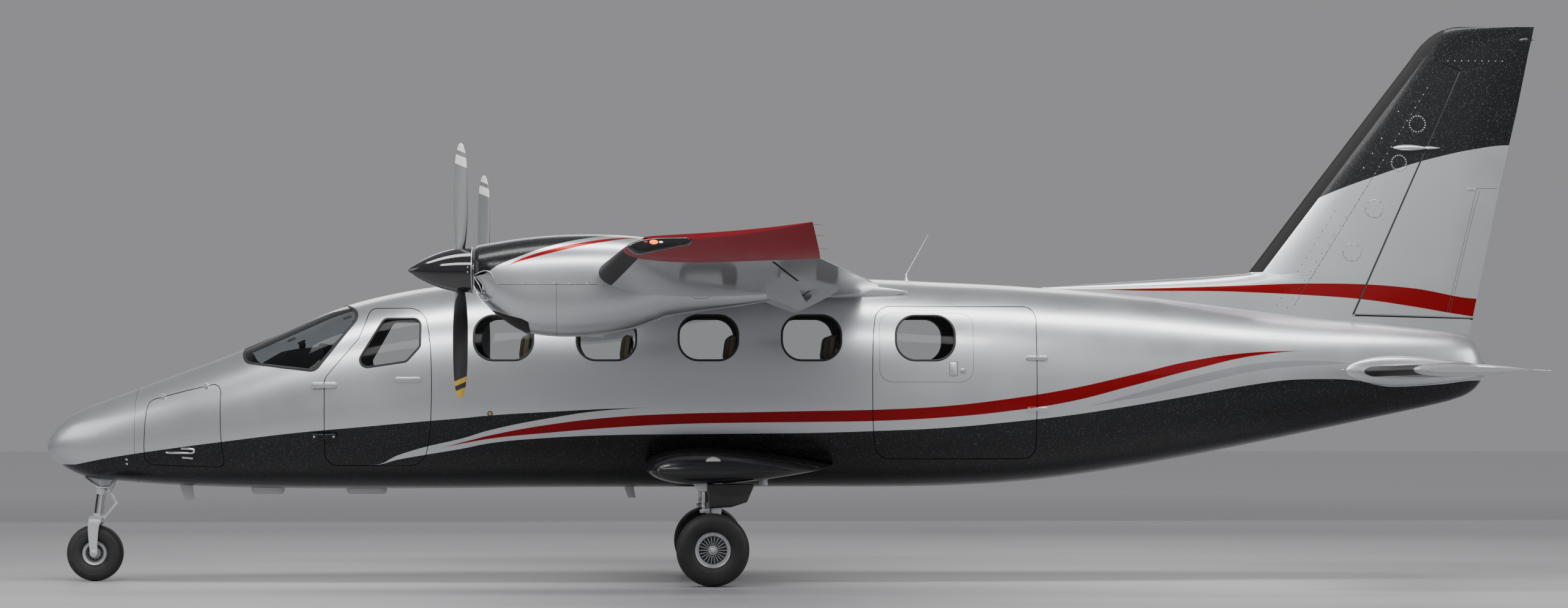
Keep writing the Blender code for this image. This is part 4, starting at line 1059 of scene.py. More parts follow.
def lamp_glow(name, colour, strength):
    paint = Paint(name, colour, 0.2, 0.0, emission_strength=strength)
    paint.shader.inputs["Emission Color"].default_value = (*colour, 1.0)
    grain = paint.noise(120.0, 2.0, 0.5)
    paint.set(roughness=paint.spread(grain, 0.15, 0.3))
    return paint.material


def make_finishes():
    return {
        "fuselage": livery_fuselage(),
        "fin": livery_fin(),
        "nacelle": livery_nacelle(),
        "wing": livery_wing(),
        "tailplane": livery_tailplane(),
        "silver": coat_of_paint(fresh_paint("silver_paint_fine"), ()),
        "red": plain_paint("tip_red", (0.26, 0.010, 0.020), 0.45, 0.1, 0.06, 300.0, coat_weight=0.05,
                           coat_roughness=0.2, specular_ior_level=0.3),
        "gloss_black": plain_paint("gloss_black", (0.006, 0.006, 0.007), 0.10, 0.0, 0.2, 200.0, 0.00005,
                                   coat_weight=1.0, coat_roughness=0.02),
        "pod_black": plain_paint("pod_black", (0.0085, 0.009, 0.010), 0.30, peel=0.00002, coat_weight=0.5,
                                 coat_roughness=0.10),
        "lens": plain_paint("frosted_lens", (0.62, 0.60, 0.56), 0.15, 0.0, 0.1, 150.0, coat_weight=1.0),
        "satin_black": plain_paint("satin_black", (0.012, 0.012, 0.013), 0.36, 0.0, 0.25, 260.0,
                                   coat_weight=0.3, coat_roughness=0.2),
        "rubber": plain_paint("seal_rubber", (0.010, 0.010, 0.011), 0.62, 0.0, 0.3, 400.0, 0.0002),
        # Dark trim; on the round noses of flaps, ailerons, elevators and rudder, and on the rudder's hidden cut faces,
        # it is painted shade in the gaps
        "dark": plain_paint("dark_trim_and_gap_shade", (0.018, 0.018, 0.019), 0.6, 0.0, 0.2, 350.0, 0.0003),
        "grey": plain_paint("gear_grey_fine", (0.50, 0.51, 0.53), 0.38, 0.25, 0.06, 240.0, coat_weight=0.25,
                            coat_roughness=0.2),
        "alloy": plain_paint("wheel_alloy_fine", (0.46, 0.47, 0.49), 0.36, 0.75, 0.08, 220.0),
        "pale_grey": plain_paint("antenna_grey", (0.50, 0.50, 0.50), 0.42, 0.0, 0.05, 200.0),
        "chrome": brushed("bright_chrome", (0.80, 0.80, 0.81), 0.10),
        "steel": brushed("brushed_steel_fine", (0.56, 0.56, 0.57), 0.30),
        "iron": plain_paint("engine_casting", (0.16, 0.16, 0.165), 0.62, 0.7, 0.25, 90.0, 0.0015),
        "tyre": tyre_rubber(),
        "glass": glass("cabin_glass_fine", (0.93, 0.95, 0.95)),
        "windshield": glass("windshield_glass_fine", (0.64, 0.67, 0.69)),
        "lining": plain_paint("cabin_lining", (0.15, 0.142, 0.128), 0.72, 0.0, 0.05, 320.0, 0.0003),
        "leather": leather("seat_leather_fine", (0.36, 0.29, 0.18)),
        "leather_dark": leather("seat_leather_dark", (0.07, 0.06, 0.05)),
        "leather_black": plain_paint("glare_shield_skin", (0.012, 0.012, 0.012), 0.75, 0.0, 0.25, 300.0, 0.0005),
        "webbing": carpet("belt_webbing", (0.05, 0.05, 0.055)),
        "carpet": carpet("cabin_carpet", (0.09, 0.09, 0.10)),
        "blade": blade_paint(),
        "amber": lamp_glow("amber_lamp", (1.0, 0.16, 0.01), 2.5),
        "white_lamp": lamp_glow("white_lamp", (0.95, 0.96, 1.0), 1.2),
        "red_lens": plain_paint("red_lens", (0.35, 0.01, 0.01), 0.12, 0.0, 0.1, 150.0, coat_weight=1.0),
        "green_lens": plain_paint("green_lens", (0.01, 0.22, 0.06), 0.12, 0.0, 0.1, 150.0, coat_weight=1.0),
        "gold": plain_paint("port_brass", (0.60, 0.42, 0.14), 0.28, 0.9, 0.06, 200.0),
        "screen": plain_paint("instrument_glass", (0.02, 0.035, 0.06), 0.08, 0.0, 0.3, 60.0, 0.00003),
        "legend": plain_paint("dial_white", (0.75, 0.75, 0.72), 0.5),
        "brake": brushed("brake_disc", (0.34, 0.33, 0.32), 0.38, (1.0, 1.0, 1.0)),
    }


# Fuselage


def fuselage_solid(name, start, end, inset=0.0, count=RING_POINTS, step=0.08):
    return loft(name, fuselage_rings(even(start, end, step), inset, count))


def window_outline(front, grow=0.0):
    shape = rectangle(front, front + WINDOW_LENGTH, WINDOW_SILL, WINDOW_SILL + WINDOW_HEIGHT)
    return rounded(shape, WINDOW_RADIUS, grow, 12)


def swung_prism(name, outline, side, edge, slope, skin):
    """A door's prism whose free edge leans inboard toward the hinge edge, so that it swings clear."""
    length = max(abs(p[0] - edge) for p in outline)
    rings = []
    for depth in DOOR_DEPTHS:
        k = 1 - slope * depth / length
        rings.append([at(edge + (p[0] - edge) * k, side * (skin - depth), p[1]) for p in outline])
    return loft(name, rings)


def sheared_prism(name, outline):
    """The nose baggage door's prism, square to the tapering skin, with a foot that rises inboard."""
    rings = []
    top = max(p[1] for p in outline)
    foot = min(p[1] for p in outline)
    for depth in BAGGAGE_DEPTHS:
        ring = []
        for p in outline:
            down = (top - p[1]) / (top - foot)
            x, z = p[0] + BAGGAGE_LEAN * depth, p[1] + BAGGAGE_RISE * depth * down
            ring.append(at(x, -(BAGGAGE_SKIN - depth), z))
        rings.append(ring)
    return loft(name, rings)


def make_fuselage(m, skin):
    """Nose, hollow cabin, tail and doors as fine skins in the CAD's places."""
    inner_skin = Skin(fuselage_rings(even(0.75, 11.0, 0.10), WALL, INNER_POINTS))
    skins = (skin, inner_skin)
    paint = m["fuselage"]

    tip = [0.0004, 0.002, 0.005, 0.010, 0.018, 0.030, 0.045, 0.065, 0.090] + even(0.12, RADOME_STATION, 0.045)
    nose = loft("nose", fuselage_rings(tip))
    piece(nose, "nose_skin", stands_for=("nose_cone",), finish=paint, skins=skins)

    room = finish_with(fuselage_solid("room", CABIN_FRONT, AFT_BULKHEAD, WALL, INNER_POINTS, 0.10), m["lining"])
    bay = finish_with(fuselage_solid("bay", RADOME_STATION + 0.04, BAY_BULKHEAD, WALL, INNER_POINTS, 0.10), m["dark"])
    cabin = finish_with(fuselage_solid("cabin", RADOME_STATION + SEAT_GAP, TAIL_JOINT), paint)
    cabin_cutters = [bay]
    door_shapes = (
        ("crew_door_left", -1, CREW_DOOR, CREW_DOOR[0][0], 0.42, 0.78, CREW_WINDOW),
        ("crew_door_right", 1, CREW_DOOR, CREW_DOOR[0][0], 0.42, 0.78, CREW_WINDOW),
        ("cargo_door", -1, CARGO_DOOR, CARGO_DOOR[1][0], 0.26, 0.80, None),
    )
    for label, side, shape, edge, slope, reach, pane in door_shapes:
        low, high = min(p[0] for p in shape) - 0.12, max(p[0] for p in shape) + 0.12
        leaf = finish_with(fuselage_solid(label, low, high), paint)
        hollow = finish_with(fuselage_solid("hollow", low - 0.05, high + 0.05, WALL, INNER_POINTS), m["lining"])
        carve(leaf, hollow)
        if pane:
            hole = side_prism("hole", rounded(pane, CREW_WINDOW_RADIUS), side * CUT_START, side * CUT_END)
        else:
            hole = side_prism("hole", window_outline(DOOR_WINDOW_FRONT), -CUT_START, -CUT_END)
        carve(leaf, finish_with(hole, m["rubber"]))
        area = finish_with(swung_prism("area", rounded(shape, DOOR_CORNER), side, edge, slope, reach), m["dark"])
        carve(leaf, area, "INTERSECT")
        piece(leaf, f"{label}_skin", label, (label,), skins=skins)
        gap = swung_prism("gap", rounded(shape, DOOR_CORNER, RUNNING_GAP), side, edge, slope, reach)
        cabin_cutters.append(finish_with(gap, m["dark"]))

    hatch = finish_with(fuselage_solid("hatch", 0.735, 1.56), paint)
    hollow = finish_with(fuselage_solid("hollow", 0.60, 1.70, WALL, INNER_POINTS), m["dark"])
    carve(hatch, hollow)
    area = sheared_prism("area", rounded(BAGGAGE_DOOR, BAGGAGE_CORNER))
    carve(hatch, finish_with(area, m["dark"]), "INTERSECT")
    piece(hatch, "nose_baggage_door_skin", "nose_baggage_door", ("nose_baggage_door",), skins=skins)
    gap = sheared_prism("gap", rounded(BAGGAGE_DOOR, BAGGAGE_CORNER, RUNNING_GAP))
    cabin_cutters.append(finish_with(gap, m["dark"]))

    carve(cabin, room)
    for tool in cabin_cutters:
        carve(cabin, tool)
    holes = [side_prism("hole", window_outline(front), -CUT_END, CUT_END) for front in WINDOW_FRONTS]
    holes.append(side_prism("hole", window_outline(DOOR_WINDOW_FRONT), CUT_START, CUT_END))
    for side, _ in SIDES:
        opening = rounded(WINDSHIELD, WINDSHIELD_RADIUS)
        holes.append(side_prism("hole", opening, side * WINDSHIELD_POST, side * CUT_END))
    carve(cabin, finish_with(merge("holes", holes), m["rubber"]))
    carve(cabin, wing_slot(m, -1.6, 1.6))
    barrels = ("nose_section", "cockpit_section", "cabin_section", "aft_cabin_section")
    piece(cabin, "cabin_skin", stands_for=barrels, skins=skins)

    tail_end = [TAIL_CAP_START, 11.384, 11.390, 11.394, 11.397, 11.3988]
    stations = even(TAIL_JOINT + SEAT_GAP, 11.20, 0.10) + [11.24, 11.28, 11.31, 11.34, 11.36] + tail_end
    tail = finish_with(loft("tail", fuselage_rings(stations)), paint)
    carve(tail, finish_with(fuselage_solid("hollow", 7.90, TAIL_CAVITY_END, TAIL_WALL, 64, 0.15), m["dark"]))
    slot = lifting_surface("slot", TAIL_RIBS, 0.0, (-1.0, 0.0, 1.0), grow=SEAT_GAP)
    carve(tail, finish_with(slot, m["dark"]))
    piece(tail, "tail_skin", stands_for=("tail_cone",), skins=skins)


def make_glazing(m, skin):
    """Window panes set into the skin, their rubber seals, and the windshield with its frame."""
    door_window = window_outline(DOOR_WINDOW_FRONT, -PANE_GAP)
    crew_window = rounded(CREW_WINDOW, CREW_WINDOW_RADIUS, -PANE_GAP)
    panes = (
        ("cabin_panes", "airframe", [(window_outline(front, -PANE_GAP), -CUT_END, CUT_END) for front in WINDOW_FRONTS]
         + [(door_window, CUT_START, CUT_END)]),
        ("cargo_door_pane", "cargo_door", [(door_window, -CUT_END, -CUT_START)]),
        ("crew_door_left_pane", "crew_door_left", [(crew_window, -CUT_END, -CUT_START)]),
        ("crew_door_right_pane", "crew_door_right", [(crew_window, CUT_START, CUT_END)]),
    )
    for name, body, areas in panes:
        low = min(p[0] for area in areas for p in area[0]) - 0.1
        high = max(p[0] for area in areas for p in area[0]) + 0.1
        outer = fuselage_solid(name, low, high, PANE_FACES[0])
        carve(outer, fuselage_solid("back", low - 0.05, high + 0.05, PANE_FACES[1]))
        tool = merge("areas", [side_prism("area", outline, y0, y1) for outline, y0, y1 in areas])
        carve(outer, tool, "INTERSECT")
        faces = [Skin(fuselage_rings(even(low, high, 0.08), inset)) for inset in PANE_FACES]
        piece(outer, name, body, finish=m["glass"], skins=faces)
    for side, label in SIDES:
        pane = fuselage_solid("pane", 1.35, 2.65, WINDSHIELD_FACES[0], step=0.05)
        carve(pane, fuselage_solid("back", 1.3, 2.7, WINDSHIELD_FACES[1], step=0.05))
        area = rounded(WINDSHIELD, WINDSHIELD_RADIUS, -PANE_GAP)
        carve(pane, side_prism("area", area, side * (WINDSHIELD_POST + PANE_GAP), side * CUT_END), "INTERSECT")
        faces = [Skin(fuselage_rings(even(1.35, 2.65, 0.05), inset)) for inset in WINDSHIELD_FACES]
        piece(pane, f"windshield_{label}_pane", stands_for=(f"windshield_{label}",),
              finish=m["windshield"], skins=faces)

    seal = bead(0.017, 0.0035)

    def seal_on(outline, side, name, body):
        thing = strip_on("seal", skin, dense(outline, 0.03), side, seal)
        piece(thing, name, body, finish=m["rubber"], angle=50)

    for side, label in SIDES:
        for i, front in enumerate(WINDOW_FRONTS):
            seal_on(window_outline(front, 0.003), side, f"window_seal_{label}_{i}", "airframe")
        seal_on(window_outline(DOOR_WINDOW_FRONT, 0.003), side, f"rear_window_seal_{label}",
                "cargo_door" if side < 0 else "airframe")
        seal_on(rounded(CREW_WINDOW, CREW_WINDOW_RADIUS, 0.003), side, f"crew_window_seal_{label}",
                f"crew_door_{label}")
        piece(windshield_frame(skin, side), f"windshield_frame_{label}", finish=m["rubber"], angle=50)
        clips = [plate("clip", skin.side_point(x, z, side), Vector((1, 0, 0.35)), 0.066, 0.028, 0.005, 0.0025)
                 for x, z in ((1.954, 1.895), (2.391, 2.067))]
        piece(merge("clips", clips), f"windshield_clips_{label}", finish=m["satin_black"], angle=40)


def windshield_frame(skin, side):
    """A rubber bead round one pane: along the outline, and down the middle post where the outline leaves the skin."""
    places = []
    for p in dense(rounded(WINDSHIELD, WINDSHIELD_RADIUS, 0.004), 0.03):
        reach = skin_y(p[0], p[1])
        if reach > WINDSHIELD_POST + 0.012:
            places.append(skin.side_point(p[0], p[1], side))
    gap = max(range(len(places)), key=lambda i: (places[i][0] - places[i - 1][0]).length)
    places = places[gap:] + places[:gap]
    start, end = places[-1][0], places[0][0]
    for station in even(start.x + REFERENCE_STATION, end.x + REFERENCE_STATION, 0.03)[1:-1]:
        found = skin.hit(at(station, side * (WINDSHIELD_POST - 0.004), 4.0), Vector((0, 0, -1)))
        places.append(found)
    return strip("frame", places, bead(0.025, 0.004))


# Wing and tail


def wall_thickness_ratio(x, ratio):
    """Half thickness of a smooth aerofoil at a chord fraction, for a chord of 1."""
    return 5 * ratio * (0.2969 * sqrt(x) - 0.1260 * x - 0.3516 * x ** 2 + 0.2843 * x ** 3 - 0.1015 * x ** 4)


def aerofoil(chord, ratio, camber, count=34, edge=0.002):
    """Outline from the upper trailing edge round the nose to the lower trailing edge."""
    upper = []
    lower = []
    for i in range(count + 1):
        x = (1 - cos(pi * i / count)) / 2
        half = wall_thickness_ratio(x, ratio) * chord + edge * x
        middle = 4 * camber * x * (1 - x) * chord
        upper.append((x * chord, middle + half))
        lower.append((x * chord, middle - half))
    return list(reversed(upper)) + lower[1:]


def rib_at(ribs, span):
    """Straight interpolation between the ribs on each side of a span position."""
    for low, high in zip(ribs, ribs[1:]):
        if low[0] <= span <= high[0]:
            t = (span - low[0]) / (high[0] - low[0])
            return [a + (b - a) * t for a, b in zip(low, high)]
    return list(ribs[-1])


def lifting_ring(rib, camber, side, grow=0.0):
    span, x0, z0, x1, z1, ratio = rib
    chord = x1 - x0
    ring = []
    for x, z in grown(aerofoil(chord, ratio, camber), grow):
        ring.append(at(x0 + x, side * span, z0 + (z1 - z0) * x / chord + z))
    return ring


def lifting_rings(ribs, camber, spans, grow=0.0):
    return [lifting_ring(rib_at(ribs, abs(s)), camber, copysign(1, s), grow) for s in spans]


def lifting_surface(name, ribs, camber, spans, grow=0.0):
    return loft(name, lifting_rings(ribs, camber, spans, grow))


def wing_slot(m, low, high):
    """The wing's space between two span positions, to cut from what it runs through."""
    return finish_with(lifting_surface("slot", WING_RIBS, WING_CAMBER, (low, high), grow=SEAT_GAP), m["dark"])


def hinge_on(ribs, camber, span, fraction, side):
    """Hinge point and half thickness of a wing or tailplane at a chord fraction."""
    rib = rib_at(ribs, span)
    chord = rib[3] - rib[1]
    x = rib[1] + chord * fraction
    z = rib[2] + (rib[4] - rib[2]) * fraction + 4 * camber * fraction * (1 - fraction) * chord
    return at(x, side * span, z), wall_thickness_ratio(fraction, rib[5]) * chord


def hinge_cone(name, start, end, radius_start, radius_end, across, count=48):
    """A cone along a hinge line whose end rings lie square to Y or Z, not to the line."""
    rings = []
    for centre, radius in ((start, radius_start), (end, radius_end)):
        angles = [2 * pi * (i + 0.5) / count for i in range(count)]
        rings.append([centre + radius * (Vector((cos(a), 0, 0)) + across * sin(a)) for a in angles])
    return loft(name, rings)


def cove(name, start, end, radius_start, radius_end, count=24):
    """The space of a trailing edge surface: round at the front, open to the rear."""
    rings = []
    for centre, radius in ((start, radius_start), (end, radius_end)):
        angles = [pi / 2 + pi * i / count for i in range(count + 1)]
        ring = [centre + radius * Vector((cos(a), 0, sin(a))) for a in angles]
        ring += [centre + Vector((1.2, 0, -0.45)), centre + Vector((1.2, 0, 0.45))]
        rings.append(ring)
    return loft(name, rings)


def hinged_surface(m, name, ribs, camber, spans, span, fraction, side, finish, skins, keep_from):
    """Part the trailing edge of a wing or tailplane, with a round nose on its hinge line."""
    start, r0 = hinge_on(ribs, camber, span[0], fraction, side)
    end, r1 = hinge_on(ribs, camber, span[1], fraction, side)
    whole = finish_with(lifting_surface(name, ribs, camber, spans), finish)
    rear = max(rib_at(ribs, s)[3] for s in span) + 0.1
    x0, x1 = start.x + REFERENCE_STATION, end.x + REFERENCE_STATION
    area = ((x0, side * span[0]), (rear, side * span[0]), (rear, side * span[1]), (x1, side * span[1]))
    carve(whole, finish_with(plan_prism("area", anticlockwise(area), 1.0, 3.2), finish), "INTERSECT")
    along = (end - start).normalized()
    inset = along * 0.003
    nose = hinge_cone("nose", start + inset, end - inset, r0 * HINGE_NOSE, r1 * HINGE_NOSE, UP)
    # The round nose takes the dark trim: painted shade, so the groove in front of the moving surface reads dark
    carve(whole, finish_with(nose, m["dark"]), "UNION")
    for i, (point, way) in enumerate(((start, -along), (end, along))):
        pin = rod("pin", point - way * 0.025, point + way * 0.0052, 0.010, 0.003, 16)
        piece(pin, f"{name}_pin_{i}", name, finish=m["steel"])
    piece(whole, f"{name}_skin", name, (name,), skins=skins)
    gap = along * RUNNING_GAP
    space = cove("cove", start - gap, end + gap, r0 + RUNNING_GAP, r1 + RUNNING_GAP)
    carve(keep_from, finish_with(space, m["dark"]))


def curved_tip_ribs():
    """Ribs of the upswept tip: the edge line turns up along a quarter wave."""
    first = rib_at(WING_RIBS, TIP_JOINT)
    last = WING_RIBS[-1]
    ribs = []
    for i in range(13):
        rise_angle = pi / 2 * i / 12
        t = sin(rise_angle)
        rise = 1 - cos(t * pi / 2)
        rib = [TIP_JOINT + (SPAN / 2 - TIP_JOINT) * t] + [a + (b - a) * rise for a, b in zip(first[1:], last[1:])]
        ribs.append((rib, WING_CAMBER + (TIP_CAMBER - WING_CAMBER) * rise))
    return ribs


def make_wing(m):
    spans = (-TIP_JOINT + SEAT_GAP, -3.0, 0.0, 3.0, TIP_JOINT - SEAT_GAP)
    skin_spans = even(-TIP_JOINT, -3.0, 0.4) + even(-3.0, 3.0, 0.5)[1:] + even(3.0, TIP_JOINT, 0.4)[1:]
    skin = Skin(lifting_rings(WING_RIBS, WING_CAMBER, skin_spans), closed=False)
    wing = finish_with(lifting_surface("wing", WING_RIBS, WING_CAMBER, spans), m["wing"])
    for side, label in SIDES:
        for name, span, fraction in (("aileron", AILERON_SPAN, AILERON_HINGE), ("flap", FLAP_SPAN, FLAP_HINGE)):
            hinged_surface(m, f"{name}_{label}", WING_RIBS, WING_CAMBER, spans, span, fraction, side,
                           m["silver"], (skin,), wing)
        rings = [lifting_ring(rib, camber, side) for rib, camber in curved_tip_ribs()]
        piece(loft("tip", rings), f"wing_tip_{label}_skin", stands_for=(f"wing_tip_{label}",),
              finish=m["red"], skins=(Skin(rings, closed=False),))
        make_tip_light(m, side, label)
    piece(wing, "wing_skin", stands_for=("wing",), skins=(skin,))


def make_tip_light(m, side, label):
    """The black lamp fairing on the tip's leading edge, with its position and strobe lamps, and the wicks."""
    y = side * 6.982
    outline = smooth_line((
        (4.582, 2.394), (4.613, 2.422), (4.681, 2.444), (4.768, 2.456), (4.90, 2.460), (4.992, 2.460), (5.011, 2.450),
        (5.003, 2.422), (4.988, 2.407), (4.955, 2.400), (4.855, 2.380), (4.740, 2.357), (4.663, 2.344), (4.618, 2.364),
        (4.582, 2.394),
    ), 0.012)[:-1]
    centre = Vector((4.82, 2.415))
    rings = []
    for reach, shrink in ((6.84, 0.10), (6.90, 0.02), (6.97, 0.0), (6.986, 0.03), (6.996, 0.09), (7.001, 0.18),
                          (7.003, 0.30)):
        shape = [p.lerp(centre, shrink) for p in outline]
        rings.append([at(p.x, side * reach, p.y) for p in shape])
    piece(loft("fairing", rings), f"tip_lamp_fairing_{label}", finish=m["gloss_black"], angle=50)
    lens = m["red_lens"] if side < 0 else m["green_lens"]
    for name, station, radius, finish in (("position", 4.762, 0.019, m["amber"]),
                                          ("strobe", 4.808, 0.009, m["white_lamp"]), ("lens", 4.712, 0.010, lens)):
        spot = at(station, y + side * 0.0195, 2.424)
        profile = [(0.0, radius), (radius * 0.35, radius * 0.86), (radius * 0.6, radius * 0.5), (radius * 0.68, 0.0005)]
        lamp = lathe("lamp", spot, Vector((0, side, 0)), profile, 24)
        stretch = Matrix.Translation(spot) @ Matrix.Diagonal((1.5, 1, 0.8, 1)) @ Matrix.Translation(-spot)
        lamp.data.transform(stretch)
        piece(lamp, f"tip_{name}_lamp_{label}", finish=finish, angle=60)
    wicks = []
    for z, length in ((2.540, 0.075), (2.475, 0.085), (2.395, 0.11)):
        spread = (2.552 - z) * 1.6
        reach = side * (6.98 - spread * 0.9)
        wicks.append(rod("wick", at(5.765 - spread * 0.02, reach, z), at(5.765 + length, reach, z - 0.004), 0.0022,
                         0.0014, 8))
    piece(merge("wicks", wicks), f"tip_wicks_{label}", finish=m["satin_black"])


def fin_rib(z):
    return rib_at(FIN_RIBS, z)


def fin_half_thickness(station, z):
    _, x0, x1, ratio = fin_rib(z)
    return wall_thickness_ratio((station - x0) / (x1 - x0), ratio) * (x1 - x0)


def fin_rings():
    """Level sections of fin and rudder, closed over the top by a rounded cap."""
    rings = []
    for z in sorted({row[0] for row in FIN_RIBS + DORSAL}):
        _, x0, x1, _ = fin_rib(z)
        front = interpolate(DORSAL, z, 1) if z < FILLET_TOP else x0
        blunt = 0.37 + 0.23 * min((9.5 - front) / 0.6, 1.0)
        sides = []
        for i in range(49):
            station = front + (x1 - front) * (1 - cos(pi * i / 48)) / 2
            if z < FILLET_TOP and station < FILLET_JOIN:
                half = fin_half_thickness(FILLET_JOIN, z) * ((station - front) / (FILLET_JOIN - front)) ** blunt
            else:
                half = fin_half_thickness(max(station, x0), z)
            sides.append((station, half + 0.002 * i / 48))
        rings.append([at(x, y, z) for x, y in reversed(sides)] + [at(x, -y, z) for x, y in sides[1:]])
    return rings


def make_tail(m):
    spans = (-2.45, -2.43, -2.38, -2.30, 0.0, 2.30, 2.38, 2.43, 2.45)
    skin = Skin(lifting_rings(TAIL_RIBS, 0.0, even(-2.30, 2.30, 0.46)), closed=False)
    tailplane = finish_with(lifting_surface("tailplane", TAIL_RIBS, 0.0, spans), m["tailplane"])
    for side, label in SIDES:
        hinged_surface(m, f"elevator_{label}", TAIL_RIBS, 0.0, spans, ELEVATOR_SPAN, ELEVATOR_HINGE, side,
                       m["silver"], (skin,), tailplane)
    piece(tailplane, "tailplane_skin", stands_for=("tailplane",), skins=(skin,))

    rings = fin_rings()
    fin_skin = Skin([[p.lerp(q, t) for p, q in zip(a, b)] for a, b in zip(rings, rings[1:]) for t in (0, 0.34, 0.67)]
                    + [rings[-1]], closed=False)
    fin = finish_with(loft("fin", rings), m["fin"])
    rudder = finish_with(loft("rudder", rings), m["fin"])
    carve(fin, fuselage_solid("skin", 6.5, TAIL_CAP_START, -SEAT_GAP))

    foot, head = [at(x, 0, z) for x, z in RUDDER_AXIS]
    along = (head - foot).normalized()
    square = Vector((along.z, 0, -along.x))
    horn = head - square * 0.235
    corners = [foot, at(RUDDER_FOOT[0], 0, RUDDER_FOOT[1]), at(11.95, 0, 2.4), at(11.95, 0, 4.6), at(11.30, 0, 4.6)]
    corners += [horn + Vector((0.10, 0, 0.24)), horn, head]
    area = anticlockwise([(p.x + REFERENCE_STATION, p.z) for p in corners])
    # The rudder's cut faces, hidden in the slots, take the dark trim as painted shade so that they catch no light
    carve(rudder, finish_with(side_prism("area", area, -0.4, 0.4), m["dark"]), "INTERSECT")
    r0, r1 = [fin_half_thickness(x, z) for x, z in RUDDER_AXIS]
    nose = hinge_cone("nose", foot + along * 0.004, head - along * 0.006, r0 * HINGE_NOSE, r1 * HINGE_NOSE, ACROSS)
    # The rudder's round nose takes the dark trim: painted shade in the groove along the hinge line
    carve(rudder, finish_with(nose, m["dark"]), "UNION")
    piece(rudder, "rudder_skin", "rudder", ("rudder",), skins=(fin_skin,))
    drop = RUDDER_FOOT_GAP - RUNNING_GAP
    low_foot = foot - along * drop / along.z
    corners[0] = low_foot
    corners[1] = corners[1] - Vector((0, 0, drop))
    area = anticlockwise([(p.x + REFERENCE_STATION, p.z) for p in corners])
    carve(fin, finish_with(side_prism("gap", grown(area, RUDDER_SLOT), -0.4, 0.4), m["dark"]))
    space = hinge_cone("cove", low_foot - along * RUNNING_GAP * 1.2, head + along * 0.05, r0 + RUDDER_SLOT,
                       r1 + RUDDER_SLOT, ACROSS)
    carve(fin, finish_with(space, m["dark"]))
    piece(fin, "fin_skin", stands_for=("fin",), skins=(fin_skin,))
    sill = ((RUDDER_AXIS[0][0] + 0.02, RUDDER_AXIS[0][1]), (RUDDER_FOOT[0] - 0.050, RUDDER_FOOT[1]))
    outline = [(x, z - 0.0065) for x, z in sill] + [(x, z - 0.023) for x, z in reversed(sill)]
    strips = [side_prism("sill", anticlockwise(outline), -0.006, 0.006)]
    slot_line = [Vector((p.x + REFERENCE_STATION, p.z)) for p in (head, horn, horn + Vector((0.084, 0, 0.202)))]
    for a, b in zip(slot_line, slot_line[1:]):
        way = (b - a).normalized()
        away = Vector((way.y, -way.x))
        away = away if away.x < 0 or (away.x < 0.5 and away.y < 0) else -away
        a, b = a + way * 0.004, b - way * 0.002
        edge = [a + away * 0.0015, b + away * 0.0015, b + away * 0.008, a + away * 0.008]
        strips.append(side_prism("strip", anticlockwise([tuple(p) for p in edge]), -0.004, 0.004))
    piece(merge("strips", strips), "rudder_slot_strips", finish=m["rubber"])
    return fin_skin


# Nacelles and propellers


def nacelle_rings(y, rows, count=NACELLE_POINTS):
    """Rings of a nacelle from pairs of (station, inset)."""
    return [body_ring(NACELLE, s, inset, y, count) for s, inset in rows]


def tail_rings(y):
    """The nacelle's rear end, drawn out to a thin edge under the wing."""
    rings = []
    for station, half_y, half_z in ((5.785, 0.066, 0.070), (5.805, 0.055, 0.055), (5.820, 0.040, 0.036),
                                    (5.829, 0.020, 0.016)):
        reach_y = half_y - NACELLE_REAR_INSET * 0.5
        reach_z = half_z - NACELLE_REAR_INSET * 0.5
        ring = []
        for i in range(NACELLE_POINTS):
            angle = 2 * pi * (i + 0.5) / NACELLE_POINTS
            ring.append(at(station, y + reach_y * cos(angle), 2.245 + reach_z * sin(angle)))
        rings.append(ring)
    return rings


